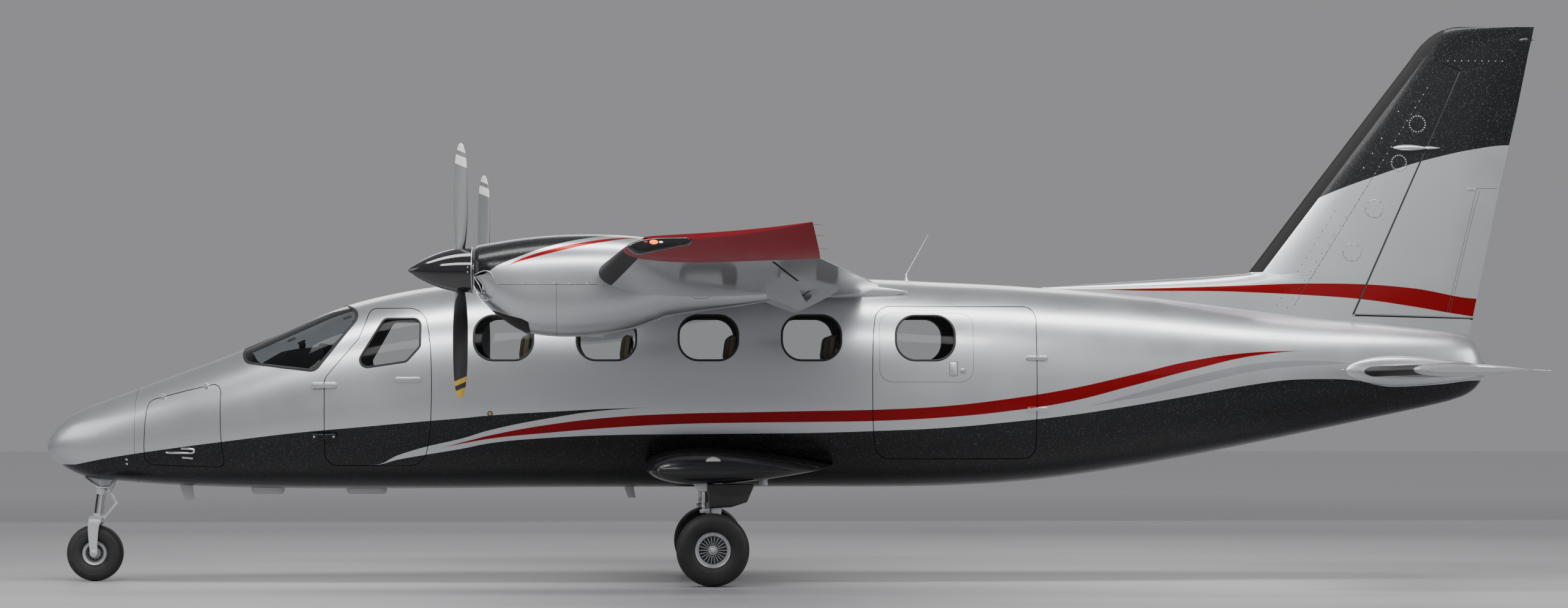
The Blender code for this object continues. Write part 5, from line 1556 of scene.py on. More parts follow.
def make_nacelles(m):
    bowl = ((3.4502, 0.100), (3.4504, 0.055), (3.4512, 0.036), (3.4535, 0.023), (3.4575, 0.013), (3.464, 0.0065),
            (3.473, 0.0025), (3.484, 0.0))
    cowl_rows = list(bowl) + [(s, 0.0) for s in even(3.50, 4.82, 0.045)]
    rear_rows = [(s, NACELLE_REAR_INSET) for s in even(4.79, 5.77, 0.06)]
    recess = smooth_line((
        (3.43, 2.315), (3.47, 2.345), (3.53, 2.366), (3.572, 2.358), (3.597, 2.325), (3.608, 2.27), (3.605, 2.21),
        (3.59, 2.168), (3.562, 2.150), (3.53, 2.153), (3.49, 2.172), (3.43, 2.20),
    ), 0.012)
    fasteners = (3.63, 3.70, 3.81, 3.92, 4.04, 4.155, 4.28, 4.395)
    split_line = [(s, SPLIT_HEIGHT) for s in even(3.615, 4.36, 0.05)]
    for side, label in SIDES:
        y = side * NACELLE_Y
        rings = nacelle_rings(y, cowl_rows)
        skin = Skin(rings)
        rear_rings = nacelle_rings(y, rear_rows) + tail_rings(y)
        rear_skin = Skin(rear_rings)
        floor_rings = nacelle_rings(y, [(s, 0.034) for s in even(3.42, 3.75, 0.04)])
        cowl = finish_with(loft("cowl", rings), m["nacelle"])
        bay = loft("bay", nacelle_rings(y, [(s, 0.045) for s in even(3.50, 4.30, 0.10)], 64))
        carve(cowl, finish_with(bay, m["dark"]))
        for out in (-1, 1):
            tool = side_prism("recess", recess, y + out * 0.17, y + out * 0.55)
            carve(tool, loft("core", floor_rings))
            carve(cowl, finish_with(tool, m["nacelle"]))
            start, end = at(3.40, y + out * 0.245, SPLIT_HEIGHT), at(3.58, y + out * 0.215, SPLIT_HEIGHT)
            carve(cowl, finish_with(rod("intake", start, end, 0.068, count=40), m["dark"]))
        carve(cowl, wing_slot(m, y - 0.62, y + 0.62))
        skins = (skin, Skin(floor_rings))
        piece(cowl, f"cowl_{label}", stands_for=(f"nacelle_{label}",), skins=skins)
        rear = finish_with(loft("rear", rear_rings), m["nacelle"])
        carve(rear, wing_slot(m, y - 0.62, y + 0.62))
        piece(rear, f"nacelle_fairing_{label}", skins=(rear_skin,))

        lines, heads, lips, rims = [], [], [], []
        for out in (-1, 1):
            lines.append(strip_on("line", skin, split_line, out, SEAM, False))
            heads += [skin.side_point(s, FASTENER_HEIGHT, out) for s in fasteners]
            lips.append(strip_on("lip", skin, recess[2:-1], out, bead(0.007, 0.0022), False))
        for s in (4.50, 4.60, 4.70):
            heads += [skin.side_point(s, FASTENER_HEIGHT - (s - 4.395) * 0.5, out) for out in (-1, 1)]
        around = []
        for k in range(49):
            angle = pi + pi * k / 48
            spot = at(4.06, y + 0.9 * cos(angle), 2.28 + 0.9 * sin(angle))
            found = skin.hit(spot, Vector((0, -cos(angle), -sin(angle))))
            if found:
                around.append(found)
        lines.append(strip("line", around, SEAM, False))
        hatch = rounded(rectangle(5.05, 5.18, 2.168, 2.262), 0.022)
        lines.append(strip_on("line", rear_skin, dense(hatch, 0.02), side, SEAM))
        heads += [rear_skin.side_point(s, z, side) for s in (5.065, 5.165) for z in (2.183, 2.247)]
        piece(merge("lines", lines), f"cowl_seams_{label}", finish=m["dark"], angle=60)
        piece(studs("heads", heads, 0.0048, 0.0016, 10), f"cowl_fasteners_{label}", finish=m["steel"])
        piece(merge("lips", lips), f"intake_lips_{label}", finish=m["silver"], angle=60)
        for out in (-1, 1):
            ring = []
            for angle in turns(40):
                spot = at(3.30, y + out * 0.243 + 0.070 * cos(angle), SPLIT_HEIGHT + 0.070 * sin(angle))
                found = skin.hit(spot, AFT)
                if found and found[0].x < at(3.56, 0, 0).x:
                    ring.append(found)
            rims.append(strip("rim", ring, bead(0.009, 0.003), closed=False))
        piece(merge("rims", rims), f"intake_rims_{label}", finish=m["silver"], angle=60)
        make_engine(m, y, label)
        make_propeller(m, y, label)


def make_engine(m, y, label):
    """A plain engine block with two rows of finned cylinders, seen through the intakes."""
    parts = [box("case", 3.60, 4.28, y - 0.13, y + 0.13, 2.06, 2.50)]
    for out in (-1, 1):
        for i in range(3):
            centre = at(3.72 + i * 0.215, y, 2.27)
            way = Vector((0, out, 0))
            profile = [(0.10, 0.070)]
            for k in range(9):
                start = 0.135 + k * 0.019
                profile += [(start, 0.070), (start + 0.002, 0.086), (start + 0.007, 0.086), (start + 0.009, 0.070)]
            profile.append((0.315, 0.065))
            parts.append(lathe("cylinder", centre, way, profile, 28))
            parts.append(tube("pipe", smooth_line([centre + way * 0.28 + Vector((0, 0, -0.05)),
                                                   centre + way * 0.27 + Vector((0.02, 0, -0.14)),
                                                   at(4.10, y + out * 0.20, 2.08)], 0.03), 0.018, 12))
    piece(merge("engine", parts), f"engine_{label}", stands_for=(f"engine_block_{label}",),
          finish=m["iron"], angle=40)


def spinner_radius(station):
    t = (station - SPINNER_TIP) / (SPINNER_BASE - SPINNER_TIP)
    return SPINNER_RADIUS * sin(pi / 2 * max(t, 0.0) ** 0.85)


def blade_rings(y, way):
    """Sections of one blade from the hub outward, with a round shank and a rounded tip."""
    rings = []
    table = BLADE[:-1]
    radii = even(BLADE[0][0], 0.915, 0.024) + [0.924, 0.931, 0.936, 0.9395, 0.9415, 0.9423]
    for radius in radii:
        held = min(radius, 0.915)
        chord, thickness, pitch = [interpolate(table, held, column) for column in (1, 2, 3)]
        if radius > 0.915:
            shrink = sqrt(max(1.0 - ((radius - 0.915) / 0.0276) ** 2, 0.0))
            chord, thickness = chord * (0.25 + 0.75 * shrink) * max(shrink, 0.25), thickness * max(shrink, 0.2)
        turn = radians(pitch)
        blend = min(max((radius - 0.15) / 0.12, 0.0), 1.0)
        ring = []
        for angle in turns(36):
            a = chord / 2 * cos(angle)
            b = thickness / 2 * sin(angle) * (1 - 0.45 * blend * (cos(angle) * 0.5 - 0.1) * -1)
            b -= blend * 0.10 * thickness * (1 - cos(angle) ** 2) * (1 if sin(angle) < 0 else 0)
            dx = a * sin(turn) - b * cos(turn)
            dy = -(a * cos(turn) + b * sin(turn)) * way
            ring.append(at(BLADE_STATION + dx, y + dy, PROP_Z + way * radius))
        rings.append(ring)
    return rings


def make_propeller(m, y, label):
    body = f"propeller_{label}_unit"
    axis = at(SPINNER_TIP, y, PROP_Z)
    length = SPINNER_BASE - SPINNER_TIP - SEAT_GAP
    steps = [0.0002, 0.001, 0.003, 0.007, 0.013, 0.022, 0.035, 0.055, 0.08] + even(0.11, 1.0, 0.03)
    profile = [(f * length, spinner_radius(SPINNER_TIP + f * length)) for f in steps]
    shell = finish_with(lathe("spinner", axis, AFT, profile, 96), m["gloss_black"])
    back = [(0.014 + along, radius - 0.006) for along, radius in profile[5:]]
    carve(shell, finish_with(lathe("inside", axis, AFT, back, 64), m["dark"]))
    for way in (-1, 1):
        outline = [Vector((BLADE_STATION + 0.058 * cos(a), y + 0.054 * sin(a))) for a in turns(40)]
        corners = [p if p.x < BLADE_STATION else Vector((SPINNER_BASE + 0.02, p.y)) for p in outline]
        z = sorted((PROP_Z + way * 0.10, PROP_Z + way * 0.30))
        carve(shell, finish_with(plan_prism("notch", corners, *z), m["dark"]))
    rings = [[at(SPINNER_TIP + along, y + radius * cos(a), PROP_Z + radius * sin(a)) for a in turns(48)]
             for along, radius in profile]
    piece(shell, f"spinner_shell_{label}", body, (f"spinner_{label}",), skins=(Skin(rings),))

    blades = merge("blades", [loft("blade", blade_rings(y, way)) for way in (-1, 1)])
    piece(blades, f"blades_{label}", body, (f"propeller_{label}",), finish=m["blade"], angle=50)
    hub = [rod("hub", at(3.262, y, PROP_Z), at(SPINNER_BASE + 0.004, y, PROP_Z), 0.062, count=40, edge=0.006)]
    hub.append(rod("shaft", at(SPINNER_BASE, y, PROP_Z), at(3.4497, y, PROP_Z), 0.050, count=32))
    for way in (-1, 1):
        root = at(BLADE_STATION, y, PROP_Z)
        hub.append(rod("socket", root + UP * way * 0.05, root + UP * way * 0.118, 0.047, 0.042, 32, 0.004))
        hub.append(rod("clamp", root + UP * way * 0.088, root + UP * way * 0.104, 0.051, count=32, edge=0.003))
    piece(merge("hub", hub), f"propeller_hub_{label}", body, finish=m["steel"])
    profile = ((0.0003, 0.164), (0.0012, 0.170), (0.004, 0.173), (0.009, 0.173), (0.012, 0.169))
    back_plate = lathe("plate", at(SPINNER_BASE, y, PROP_Z), AFT, profile, 96)
    piece(back_plate, f"spinner_back_plate_{label}", body, finish=m["alloy"])
    brackets, bolts = [], []
    for way in (-1, 1):
        for out in (-1, 1):
            spot = at(SPINNER_BASE - 0.016, y + out * 0.034, PROP_Z + way * 0.147)
            brackets.append(block("bracket", spot, AFT, ACROSS, (0.030, 0.020, 0.030), 0.003))
        for out in (-1, 1):
            spot = at(3.405, y + out * (spinner_radius(3.405) + 0.0005), PROP_Z + 0.018 * way)
            bolts.append((spot, Vector((0, out, 0))))
        for out in (-1, 1):
            spot = at(3.412, y + out * 0.060, PROP_Z + way * (spinner_radius(3.412) * 0.925))
            bolts.append((spot, Vector((0, out * 0.35, way))))
    piece(merge("brackets", brackets), f"spinner_brackets_{label}", body, finish=m["satin_black"])
    piece(studs("bolts", bolts, 0.0055, 0.002, 12), f"spinner_bolts_{label}", body, finish=m["chrome"])


# Landing gear


def turned(name, profile, centre, count=96, side=1):
    """Turn a closed profile of radii and side offsets about an axle along Y."""
    rings = [[centre + Vector((r * cos(a), y * side, r * sin(a))) for r, y in profile] for a in turns(count)]
    return loft(name, rings, capped=False)


def cross_rod(name, station, z, side, inner, outer, radius, count=40, edge=0.0):
    """A rod across the aircraft on one side, between two distances from the middle."""
    return rod(name, at(station, side * inner, z), at(station, side * outer, z), radius, count=count, edge=edge)


def bolt_circle(centre, side, radius, offset, count, shift=0.0):
    """Places round an axle on a wheel's outer face, with their normals."""
    places = []
    for i in range(count):
        angle = 2 * pi * (i + shift) / count
        spot = centre + Vector((radius * cos(angle), side * offset, radius * sin(angle)))
        places.append((spot, Vector((0, side, 0))))
    return places


def make_tyre_beads(m, name, rows, height, centre, body):
    """Fine raised rings round both walls of a tyre; each row has a radius, a side offset and a half width."""
    rings = []
    for radius, offset, half in rows:
        for out in (-1, 1):
            profile = [(radius + half * cos(a), out * (offset + height * sin(a))) for a in turns(10)]
            rings.append(turned("bead", profile, centre, 96))
    piece(merge("beads", rings), name, body, finish=m["tyre"], angle=60)


def tyre_outline(radius, rim, half_width, grooves, count=72):
    """A rounded tyre section with grooves around its tread and a flat seat on the rim."""
    half_height = (radius - rim) * 0.56
    middle = radius - half_height
    outline = []
    for i in range(count):
        angle = 2 * pi * (i + 0.5) / count
        r = middle + half_height * power_curve(cos(angle), 2.6)
        outline.append((max(r, rim), half_width * power_curve(sin(angle), 2.6)))
    fine = []
    for i, (r, y) in enumerate(outline):
        fine.append((r, y))
        r1, y1 = outline[(i + 1) % count]
        low, high = sorted((y, y1))
        for g in grooves:
            if r > middle + half_height * 0.8 and low <= g < high:
                top = r + (r1 - r) * (g - y) / (y1 - y)
                way = 1 if y1 > y else -1
                fine += [(top, g - way * 0.0032), (top - 0.0045, g - way * 0.0022), (top - 0.0045, g + way * 0.0022),
                         (top, g + way * 0.0032)]
    return fine


def sponson_rings(side):
    """The pod as a swept lens, finely lofted outboard with a rounded outer edge."""
    spans = even(0.30, 0.95, 0.08) + even(0.98, 1.10, 0.03) + [1.12, 1.14, 1.155, 1.167, 1.175, 1.1785, 1.1798]
    rings = []
    for span in spans:
        front, rear, middle, half = [interpolate(SPONSON_RIBS, min(span, 1.10), column) for column in (1, 2, 3, 4)]
        if span > 1.10:
            t = (span - 1.10) / 0.08
            shrink = sqrt(max(1.0 - t * t, 0.0))
            centre = (front + rear) / 2 - 0.02
            reach = (rear - front) / 2
            front, rear = centre - reach * (0.45 + 0.55 * shrink), centre + reach * (0.45 + 0.55 * shrink)
            half *= max(shrink, 0.02)
        chord = rear - front
        ring = []
        for x, z in aerofoil(chord, 2 * half / chord, 0.0, 30, 0.003):
            ring.append(at(front + x, side * span, middle + z))
        rings.append(ring)
    return rings


def make_sponsons(m):
    for side, label in SIDES:
        rings = sponson_rings(side)
        skin = Skin(rings, closed=False)
        pod = finish_with(loft("pod", rings), m["pod_black"])
        carve(pod, fuselage_solid("skin", 4.5, 6.4, -SEAT_GAP))
        piece(pod, f"sponson_skin_{label}", stands_for=(f"sponson_{label}",), skins=(skin,))
        pad = rod("pad", at(5.62, side * 0.90, 0.83), at(5.62, side * 0.90, 0.765), 0.035, count=40, edge=0.004)
        piece(pad, f"jack_pad_{label}", finish=m["grey"])
        outline = [(5.230 + 0.055 * cos(a), 0.955 + 0.034 * sin(a)) for a in [pi * k / 20 for k in range(21)]]
        places = [skin.side_point(p[0], p[1], side) for p in outline]
        middle = skin.side_point(5.230, 0.970, side)
        n = middle[1]
        rings = [[p - n * 0.003 for p, _ in places], [p + n * 0.002 for p, _ in places]]
        for share, height in ((0.9, 0.006), (0.55, 0.011), (0.15, 0.013)):
            rings.append([middle[0].lerp(p, share) + n * height for p, _ in places])
        piece(loft("lens", rings), f"sponson_lens_{label}", finish=m["lens"], angle=60)
        rim = strip("rim", places, bead(0.006, 0.003))
        piece(rim, f"sponson_lens_rim_{label}", finish=m["alloy"], angle=60)
        seam = [skin.hit(at(s, side * 0.955, 1.3), -UP) for s in even(4.80, 6.05, 0.03)]
        seam = [found for found in seam if found]
        piece(strip("seam", seam, bead(0.005, 0.0015), False), f"sponson_seam_{label}",
              finish=m["pod_black"], angle=60)


def make_main_gear(m):
    make_sponsons(m)
    x, y0 = MAIN_WHEEL
    for side, label in SIDES:
        body = f"main_wheel_{label}_unit"
        centre = at(x, side * y0, MAIN_RADIUS)
        shape = rounded(((5.185, 0.78), (5.55, 0.78), (5.49, 0.642), (5.37, 0.603), (5.20, 0.595)), 0.012)
        fairing = side_prism("fairing", shape, side * 1.012, side * 1.108)
        soften(fairing, 0.010, 3, 50.0)
        piece(fairing, f"leg_fairing_{label}", finish=m["pod_black"])
        spine = [(5.262, 0.86), (5.262, 0.70), (5.255, 0.58), (5.24, 0.46), (5.226, 0.35), (5.225, 0.28)]
        path = smooth_line([at(s, side * LEG_Y, z) for s, z in spine], 0.02)
        rings = []
        for i, p in enumerate(path):
            t = i / (len(path) - 1)
            u, v = frame_of(way_at(path, i, False), ACROSS)
            half_a, half_b = 0.026 + 0.010 * t, 0.046 - 0.012 * t
            rings.append([p + u * half_a * power_curve(cos(a), 3.2) + v * half_b * power_curve(sin(a), 3.2)
                          for a in turns(28)])
        leg = [
            loft("leg", rings),
            cross_rod("axle", x, MAIN_RADIUS, side, 1.035, 1.333, 0.0185, edge=0.003),
            cross_rod("boss", x, MAIN_RADIUS, side, 1.030, 1.100, 0.044, edge=0.006),
            cross_rod("shoulder", x, MAIN_RADIUS, side, 1.08, 1.187, 0.034),
        ]
        piece(merge("leg", leg), f"main_leg_{label}_body", stands_for=(f"main_leg_{label}",),
              finish=m["grey"])

        damper = []
        for top, foot, radius, edge in ((0.735, 0.615, 0.0185, 0.002), (0.618, 0.600, 0.021, 0.003),
                                        (0.606, 0.575, 0.0165, 0.0)):
            start, end = [at(DAMPER_STATION, side * LEG_Y, z) for z in (top, foot)]
            damper.append(rod("damper", start, end, radius, count=36, edge=edge))
        piece(merge("damper", damper), f"main_strut_{label}", finish=m["steel"])
        mount = []
        for shape, inner, outer, bevel in (
            (((5.07, 0.79), (5.185, 0.79), (5.185, 0.722), (5.135, 0.722), (5.10, 0.745)), 1.035, 1.089, 0.005),
            (((5.125, 0.585), (5.245, 0.595), (5.245, 0.560), (5.130, 0.558)), 1.038, 1.086, 0.004),
        ):
            mount.append(soften(side_prism("mount", rounded(shape, 0.008), side * inner, side * outer), bevel))
        mount.append(cross_rod("pin", DAMPER_STATION, 0.574, side, 1.030, 1.094, 0.009, 24, 0.002))
        mount.append(cross_rod("pin", 5.150, 0.757, side, 1.028, 1.096, 0.010, 24, 0.002))
        piece(merge("mount", mount), f"main_strut_mounts_{label}", finish=m["grey"])

        disc = turned("disc", ((0.040, -0.062), (0.112, -0.062), (0.112, -0.054), (0.040, -0.054)), centre, 72, side)
        piece(disc, f"brake_disc_{label}", body, finish=m["brake"])
        caliper = block("caliper", at(x - 0.085, side * (y0 - 0.072), MAIN_RADIUS + 0.055), Vector((0.55, 0, -0.85)),
                        ACROSS, (0.070, 0.038, 0.045), 0.006)
        arm = block("arm", at(x - 0.045, side * (y0 - 0.092), MAIN_RADIUS + 0.03), Vector((0.8, 0, -0.6)), ACROSS,
                    (0.090, 0.012, 0.040), 0.003)
        piece(merge("caliper", [caliper, arm]), f"brake_caliper_{label}", finish=m["iron"])
        hose = smooth_line([at(x - 0.075, side * (y0 - 0.100), 0.36), at(x - 0.035, side * 1.11, 0.43),
                            at(5.215, side * 1.100, 0.52), at(5.205, side * 1.098, 0.60)], 0.015)
        piece(tube("hose", hose, 0.0045, 12), f"brake_hose_{label}", finish=m["rubber"])

        make_main_wheel(m, centre, side, label, body)
        outline = tyre_outline(MAIN_RADIUS, MAIN_RIM, MAIN_HALF_WIDTH, (-0.045, -0.015, 0.015, 0.045))
        piece(turned("tyre", outline, centre, 120), f"main_tyre_{label}_body", body,
              (f"main_tyre_{label}",), finish=m["tyre"], angle=50)
        rows = ((0.215, 0.0985, 0.004), (0.165, 0.0915, 0.004))
        make_tyre_beads(m, f"main_tyre_beads_{label}", rows, 0.0016, centre, body)


def make_main_wheel(m, centre, side, label, body):
    """A cast wheel: flat outer ring, a sunk disc with fine radial ribs, and a hub with its cap."""
    rim = MAIN_RIM - SEAT_GAP
    outer = (
        (0.0205, 0.060), (0.036, 0.060), (0.040, 0.052), (0.044, 0.040), (0.100, 0.036), (0.105, 0.046),
        (0.108, 0.062), (0.112, 0.066), (0.126, 0.067), (0.130, 0.0715), (0.134, 0.0735), (rim, 0.0715),
        (rim, -0.0715), (0.134, -0.0735), (0.128, -0.070), (0.120, -0.030), (0.100, 0.018), (0.044, 0.020),
        (0.0205, 0.010),
    )
    parts = [turned("wheel", outer, centre, 112, side)]
    for angle in turns(WHEEL_RIBS):
        way = Vector((cos(angle), 0, sin(angle)))
        middle = centre + way * 0.0735 + Vector((0, side * 0.0405, 0))
        parts.append(block("rib", middle, way, ACROSS, (0.062, 0.024, 0.0056), 0.0012))
    piece(merge("wheel", parts), f"main_wheel_{label}_casting", body, (f"main_wheel_{label}",),
          finish=m["alloy"], angle=28)
    profile = ((0.045, 0.0395), (0.1015, 0.0365), (0.1030, 0.0385), (0.1030, 0.0420), (0.045, 0.0430))
    piece(turned("web", profile, centre, 96, side), f"main_wheel_{label}_web", body, finish=m["dark"])
    cap_start = centre + Vector((0, side * 0.052, 0))
    profile = [(0.0, 0.037), (0.012, 0.037), (0.016, 0.0355), (0.0175, 0.031), (0.0165, 0.025), (0.020, 0.0225),
               (0.0235, 0.019), (0.025, 0.010), (0.0253, 0.0004)]
    cap = lathe("cap", cap_start, Vector((0, side, 0)), profile, 48)
    piece(cap, f"main_hub_cap_{label}", body, finish=m["alloy"], angle=40)
    heads = bolt_circle(centre, side, 0.098, 0.0375, WHEEL_RIBS, 0.5) + bolt_circle(centre, side, 0.049, 0.0405, 6, 0.5)
    piece(studs("bolts", heads, 0.0040, 0.0035, 6), f"main_wheel_bolts_{label}", body, finish=m["steel"])


def make_nose_gear(m):
    lean = Vector((sin(STRUT_LEAN), 0, cos(STRUT_LEAN)))
    foot = at(STRUT_FOOT[0], 0, STRUT_FOOT[1])
    collar_top = foot + lean * 0.050
    back = Vector((cos(STRUT_LEAN), 0, -sin(STRUT_LEAN)))

    top = foot + lean * 0.36
    piston = rod("piston", collar_top + lean * SEAT_GAP, foot + lean * 0.225, 0.0245, count=40)
    piece(piston, "nose_piston", stands_for=("nose_leg",), finish=m["chrome"])
    sleeve = [rod("sleeve", foot + lean * 0.216, top, 0.0385, count=40, edge=0.003),
              rod("band", foot + lean * 0.218, foot + lean * 0.262, 0.0425, count=40, edge=0.003)]
    lower, upper = collar_top + lean * 0.004, foot + lean * 0.222
    size = ((upper - lower).length, 0.044, 0.016)
    cover = block("cover", (lower + upper) / 2 - back * 0.021, lean, ACROSS, size, 0.003)
    piece(merge("sleeve", sleeve), "nose_leg_sleeve", finish=m["grey"])
    piece(cover, "nose_piston_cover", finish=m["satin_black"])
    guides = []
    for shift, radius in ((back * 0.037, 0.0065), (back * 0.030 + ACROSS * 0.022, 0.005)):
        guides.append(rod("guide", lower + shift, upper + shift, radius, count=20))
    piece(merge("guides", guides), "nose_guide_rods", finish=m["steel"])

    outline = ((0.285, 0.86), (0.300, 0.812), (0.397, 0.737), (0.490, 0.733), (0.532, 0.788), (0.545, 0.86))
    rings = []
    for width, shrink in ((0.052, 0.0), (0.050, 0.006), (0.043, 0.012), (0.030, 0.016)):
        shape = grown(anticlockwise(outline), -shrink)
        rings.append([at(p.x, width, p.y) for p in shape])
    rings = [[Vector((p.x, -p.y, p.z)) for p in ring] for ring in reversed(rings)] + rings
    fairing = finish_with(loft("fairing", rings), m["grey"])
    carve(fairing, fuselage_solid("skin", 0.05, 1.0, -0.004, 80, 0.04))
    piece(fairing, "nose_leg_fairing", angle=24)

    x, z = NOSE_WHEEL
    arm = smooth_line(((0.335, 0.470), (0.331, 0.42), (0.336, 0.34), (0.343, 0.27), (0.347, 0.235)), 0.012)
    lower_arc = [(x + 0.031 * cos(a), z + 0.031 * sin(a)) for a in [pi + pi * k / 16 for k in range(1, 16)]]
    rear = smooth_line(((0.409, 0.235), (0.406, 0.27), (0.409, 0.34), (0.417, 0.42), (0.430, 0.470)), 0.012)
    shape = arm + lower_arc + rear
    fork = []
    for side in (-1, 1):
        fork.append(soften(side_prism("arm", shape, side * 0.0955, side * 0.1195), 0.006, 3, 40.0))
    arch = []
    for k in range(25):
        angle = pi * k / 24
        y = 0.1075 * cos(angle)
        lift = 0.026 * sin(angle)
        half = 0.012 + 0.016 * sin(angle)
        arch.append([at(0.383 + dx * (0.048 + 0.003 * sin(angle)), y, 0.462 + lift + dz * half)
                     for dx, dz in ((-1, -0.8), (-1, 0.6), (-0.8, 1.0), (0.8, 1.0), (1, 0.6), (1, -0.8))])
    fork.append(soften(loft("crown", arch), 0.003))
    fork.append(rod("collar", foot - lean * 0.012, collar_top, 0.0375, count=44, edge=0.004))
    fork.append(cross_rod("axle", x, z, 1, -0.1318, 0.1318, 0.0145, 32, 0.003))
    for side in (-1, 1):
        fork.append(cross_rod("shoulder", x, z, side, 0.100, 0.052, 0.0255, 32))
        fork.append(cross_rod("boss", x, z, side, 0.117, 0.1245, 0.0265, 40, 0.0025))
    ring_foot = foot + lean * 0.2155
    fork.append(rod("ring", ring_foot - lean * 0.012, ring_foot + lean * 0.002, 0.0415, count=40, edge=0.002))
    piece(merge("fork", fork), "nose_fork_body", "nose_fork", ("nose_fork",), finish=m["grey"])
    nuts = []
    for side in (-1, 1):
        nuts.append(cross_rod("nut", x, z, side, 0.1240, 0.1300, 0.0185, 6, 0.0015))
        nuts.append(cross_rod("end", x, z, side, 0.1290, 0.1335, 0.0085, 24, 0.001))
    piece(merge("nuts", nuts), "nose_axle_nuts", "nose_fork", finish=m["steel"])

    knee = at(0.545, 0, 0.612)
    low_eye = at(0.449, 0, 0.500)
    high_eye = at(0.489, 0, 0.712)
    links = []
    for start, end in ((low_eye, knee), (high_eye, knee)):
        way = (end - start).normalized()
        for out in (-1, 1):
            a = start + ACROSS * out * 0.024
            b = end + ACROSS * out * 0.008
            links.append(block("link", (a + b) / 2, way, ACROSS, ((end - start).length, 0.007, 0.019), 0.002))
        links.append(rod("eye", start - ACROSS * 0.031, start + ACROSS * 0.031, 0.0150, count=28, edge=0.002))
        links.append(block("web", start.lerp(end, 0.45), way, ACROSS, (0.030, 0.034, 0.006), 0.0015))
    links.append(rod("knee", knee - ACROSS * 0.020, knee + ACROSS * 0.020, 0.0120, count=28, edge=0.002))
    links.append(block("ear", at(0.428, 0, 0.498), AFT, ACROSS, (0.040, 0.030, 0.026), 0.003))
    links.append(block("ear", at(0.462, 0, 0.706), AFT, ACROSS, (0.050, 0.030, 0.022), 0.003))
    piece(merge("links", links), "nose_torque_links", "nose_fork", finish=m["grey"])
    pins = [rod("pin", p - ACROSS * w, p + ACROSS * w, 0.0055, count=16, edge=0.001)
            for p, w in ((low_eye, 0.036), (high_eye, 0.036), (knee, 0.026))]
    piece(merge("pins", pins), "nose_link_pins", "nose_fork", finish=m["chrome"])
    stay = [rod("stay", at(0.512, 0.022, 0.735), at(0.538, 0.022, 0.792), 0.0055, count=16)]
    stay.append(rod("stay_eye", at(0.511, 0.014, 0.732), at(0.511, 0.030, 0.732), 0.009, count=20))
    piece(merge("stay", stay), "nose_stay", finish=m["steel"])

    centre = at(x, 0, z)
    rim = NOSE_RIM - SEAT_GAP
    half = (
        (0.0165, 0.0505), (0.030, 0.0505), (0.033, 0.044), (0.036, 0.024), (0.060, 0.022), (0.066, 0.030),
        (0.069, 0.048), (0.073, 0.0535), (0.088, 0.0545), (0.092, 0.0565), (0.095, 0.0585), (rim, 0.0565),
    )
    profile = half + tuple((r, -y) for r, y in reversed(half))
    body = "nose_wheel_unit"
    wheel = turned("wheel", profile, centre, 96)
    piece(wheel, "nose_wheel_casting", body, ("nose_wheel",), finish=m["alloy"], angle=28)
    heads, dishes = [], []
    profile = ((0.034, 0.0235), (0.0635, 0.0235), (0.0655, 0.0275), (0.0655, 0.020), (0.034, 0.020))
    for side in (-1, 1):
        heads += bolt_circle(centre, side, 0.050, 0.0235, 12)
        dishes.append(turned("dish", profile, centre, 72, side))
    piece(merge("dishes", dishes), "nose_wheel_dishes", body, finish=m["dark"])
    piece(studs("bolts", heads, 0.0034, 0.004, 8), "nose_wheel_bolts", body, finish=m["steel"])
    outline = tyre_outline(NOSE_RADIUS, NOSE_RIM, NOSE_HALF_WIDTH, (-0.030, 0.0, 0.030))
    piece(turned("tyre", outline, centre, 112), "nose_tyre_body", body, ("nose_tyre",),
          finish=m["tyre"], angle=50)
    make_tyre_beads(m, "nose_tyre_beads", ((0.172, 0.0790, 0.0032), (0.128, 0.0745, 0.003)), 0.0014, centre, body)


# Cabin


def puffed(thing, rests, cap, voxel=0.010, frames=20):
    """Blow a closed form up from inside as cloth, held flat where it rests, no point moved past the cap."""
    step = thing.modifiers.new("remesh", "REMESH")
    step.mode = "VOXEL"
    step.voxel_size = voxel
    graph = bpy.context.evaluated_depsgraph_get()
    mesh = bpy.data.meshes.new_from_object(thing.evaluated_get(graph))
    thing.modifiers.clear()
    thing.data = mesh
    held = [v.index for v in mesh.vertices if rests(v.co)]
    start = [v.co.copy() for v in mesh.vertices]
    thing.vertex_groups.new(name="rest").add(held, 1.0, "REPLACE")
    cloth = thing.modifiers.new("cloth", "CLOTH")
    cloth.settings.vertex_group_mass = "rest"
    cloth.settings.use_pressure = True
    cloth.settings.uniform_pressure_force = 4.0
    cloth.settings.effector_weights.gravity = 0.0
    cloth.point_cache.frame_start = 1
    cloth.point_cache.frame_end = frames + 4
    for frame_number in range(1, frames + 1):
        bpy.context.scene.frame_set(frame_number)
    graph = bpy.context.evaluated_depsgraph_get()
    swollen = [v.co.copy() for v in thing.evaluated_get(graph).data.vertices]
    thing.modifiers.clear()
    thing.vertex_groups.clear()
    bpy.context.scene.frame_set(1)
    for vertex, first, last in zip(mesh.vertices, start, swollen):
        way = last - first
        if way.length > 1e-6:
            vertex.co = first + way.normalized() * cap * (1 - exp(-way.length / cap))
    for index in held:
        mesh.vertices[index].co = start[index]
    mesh.update()


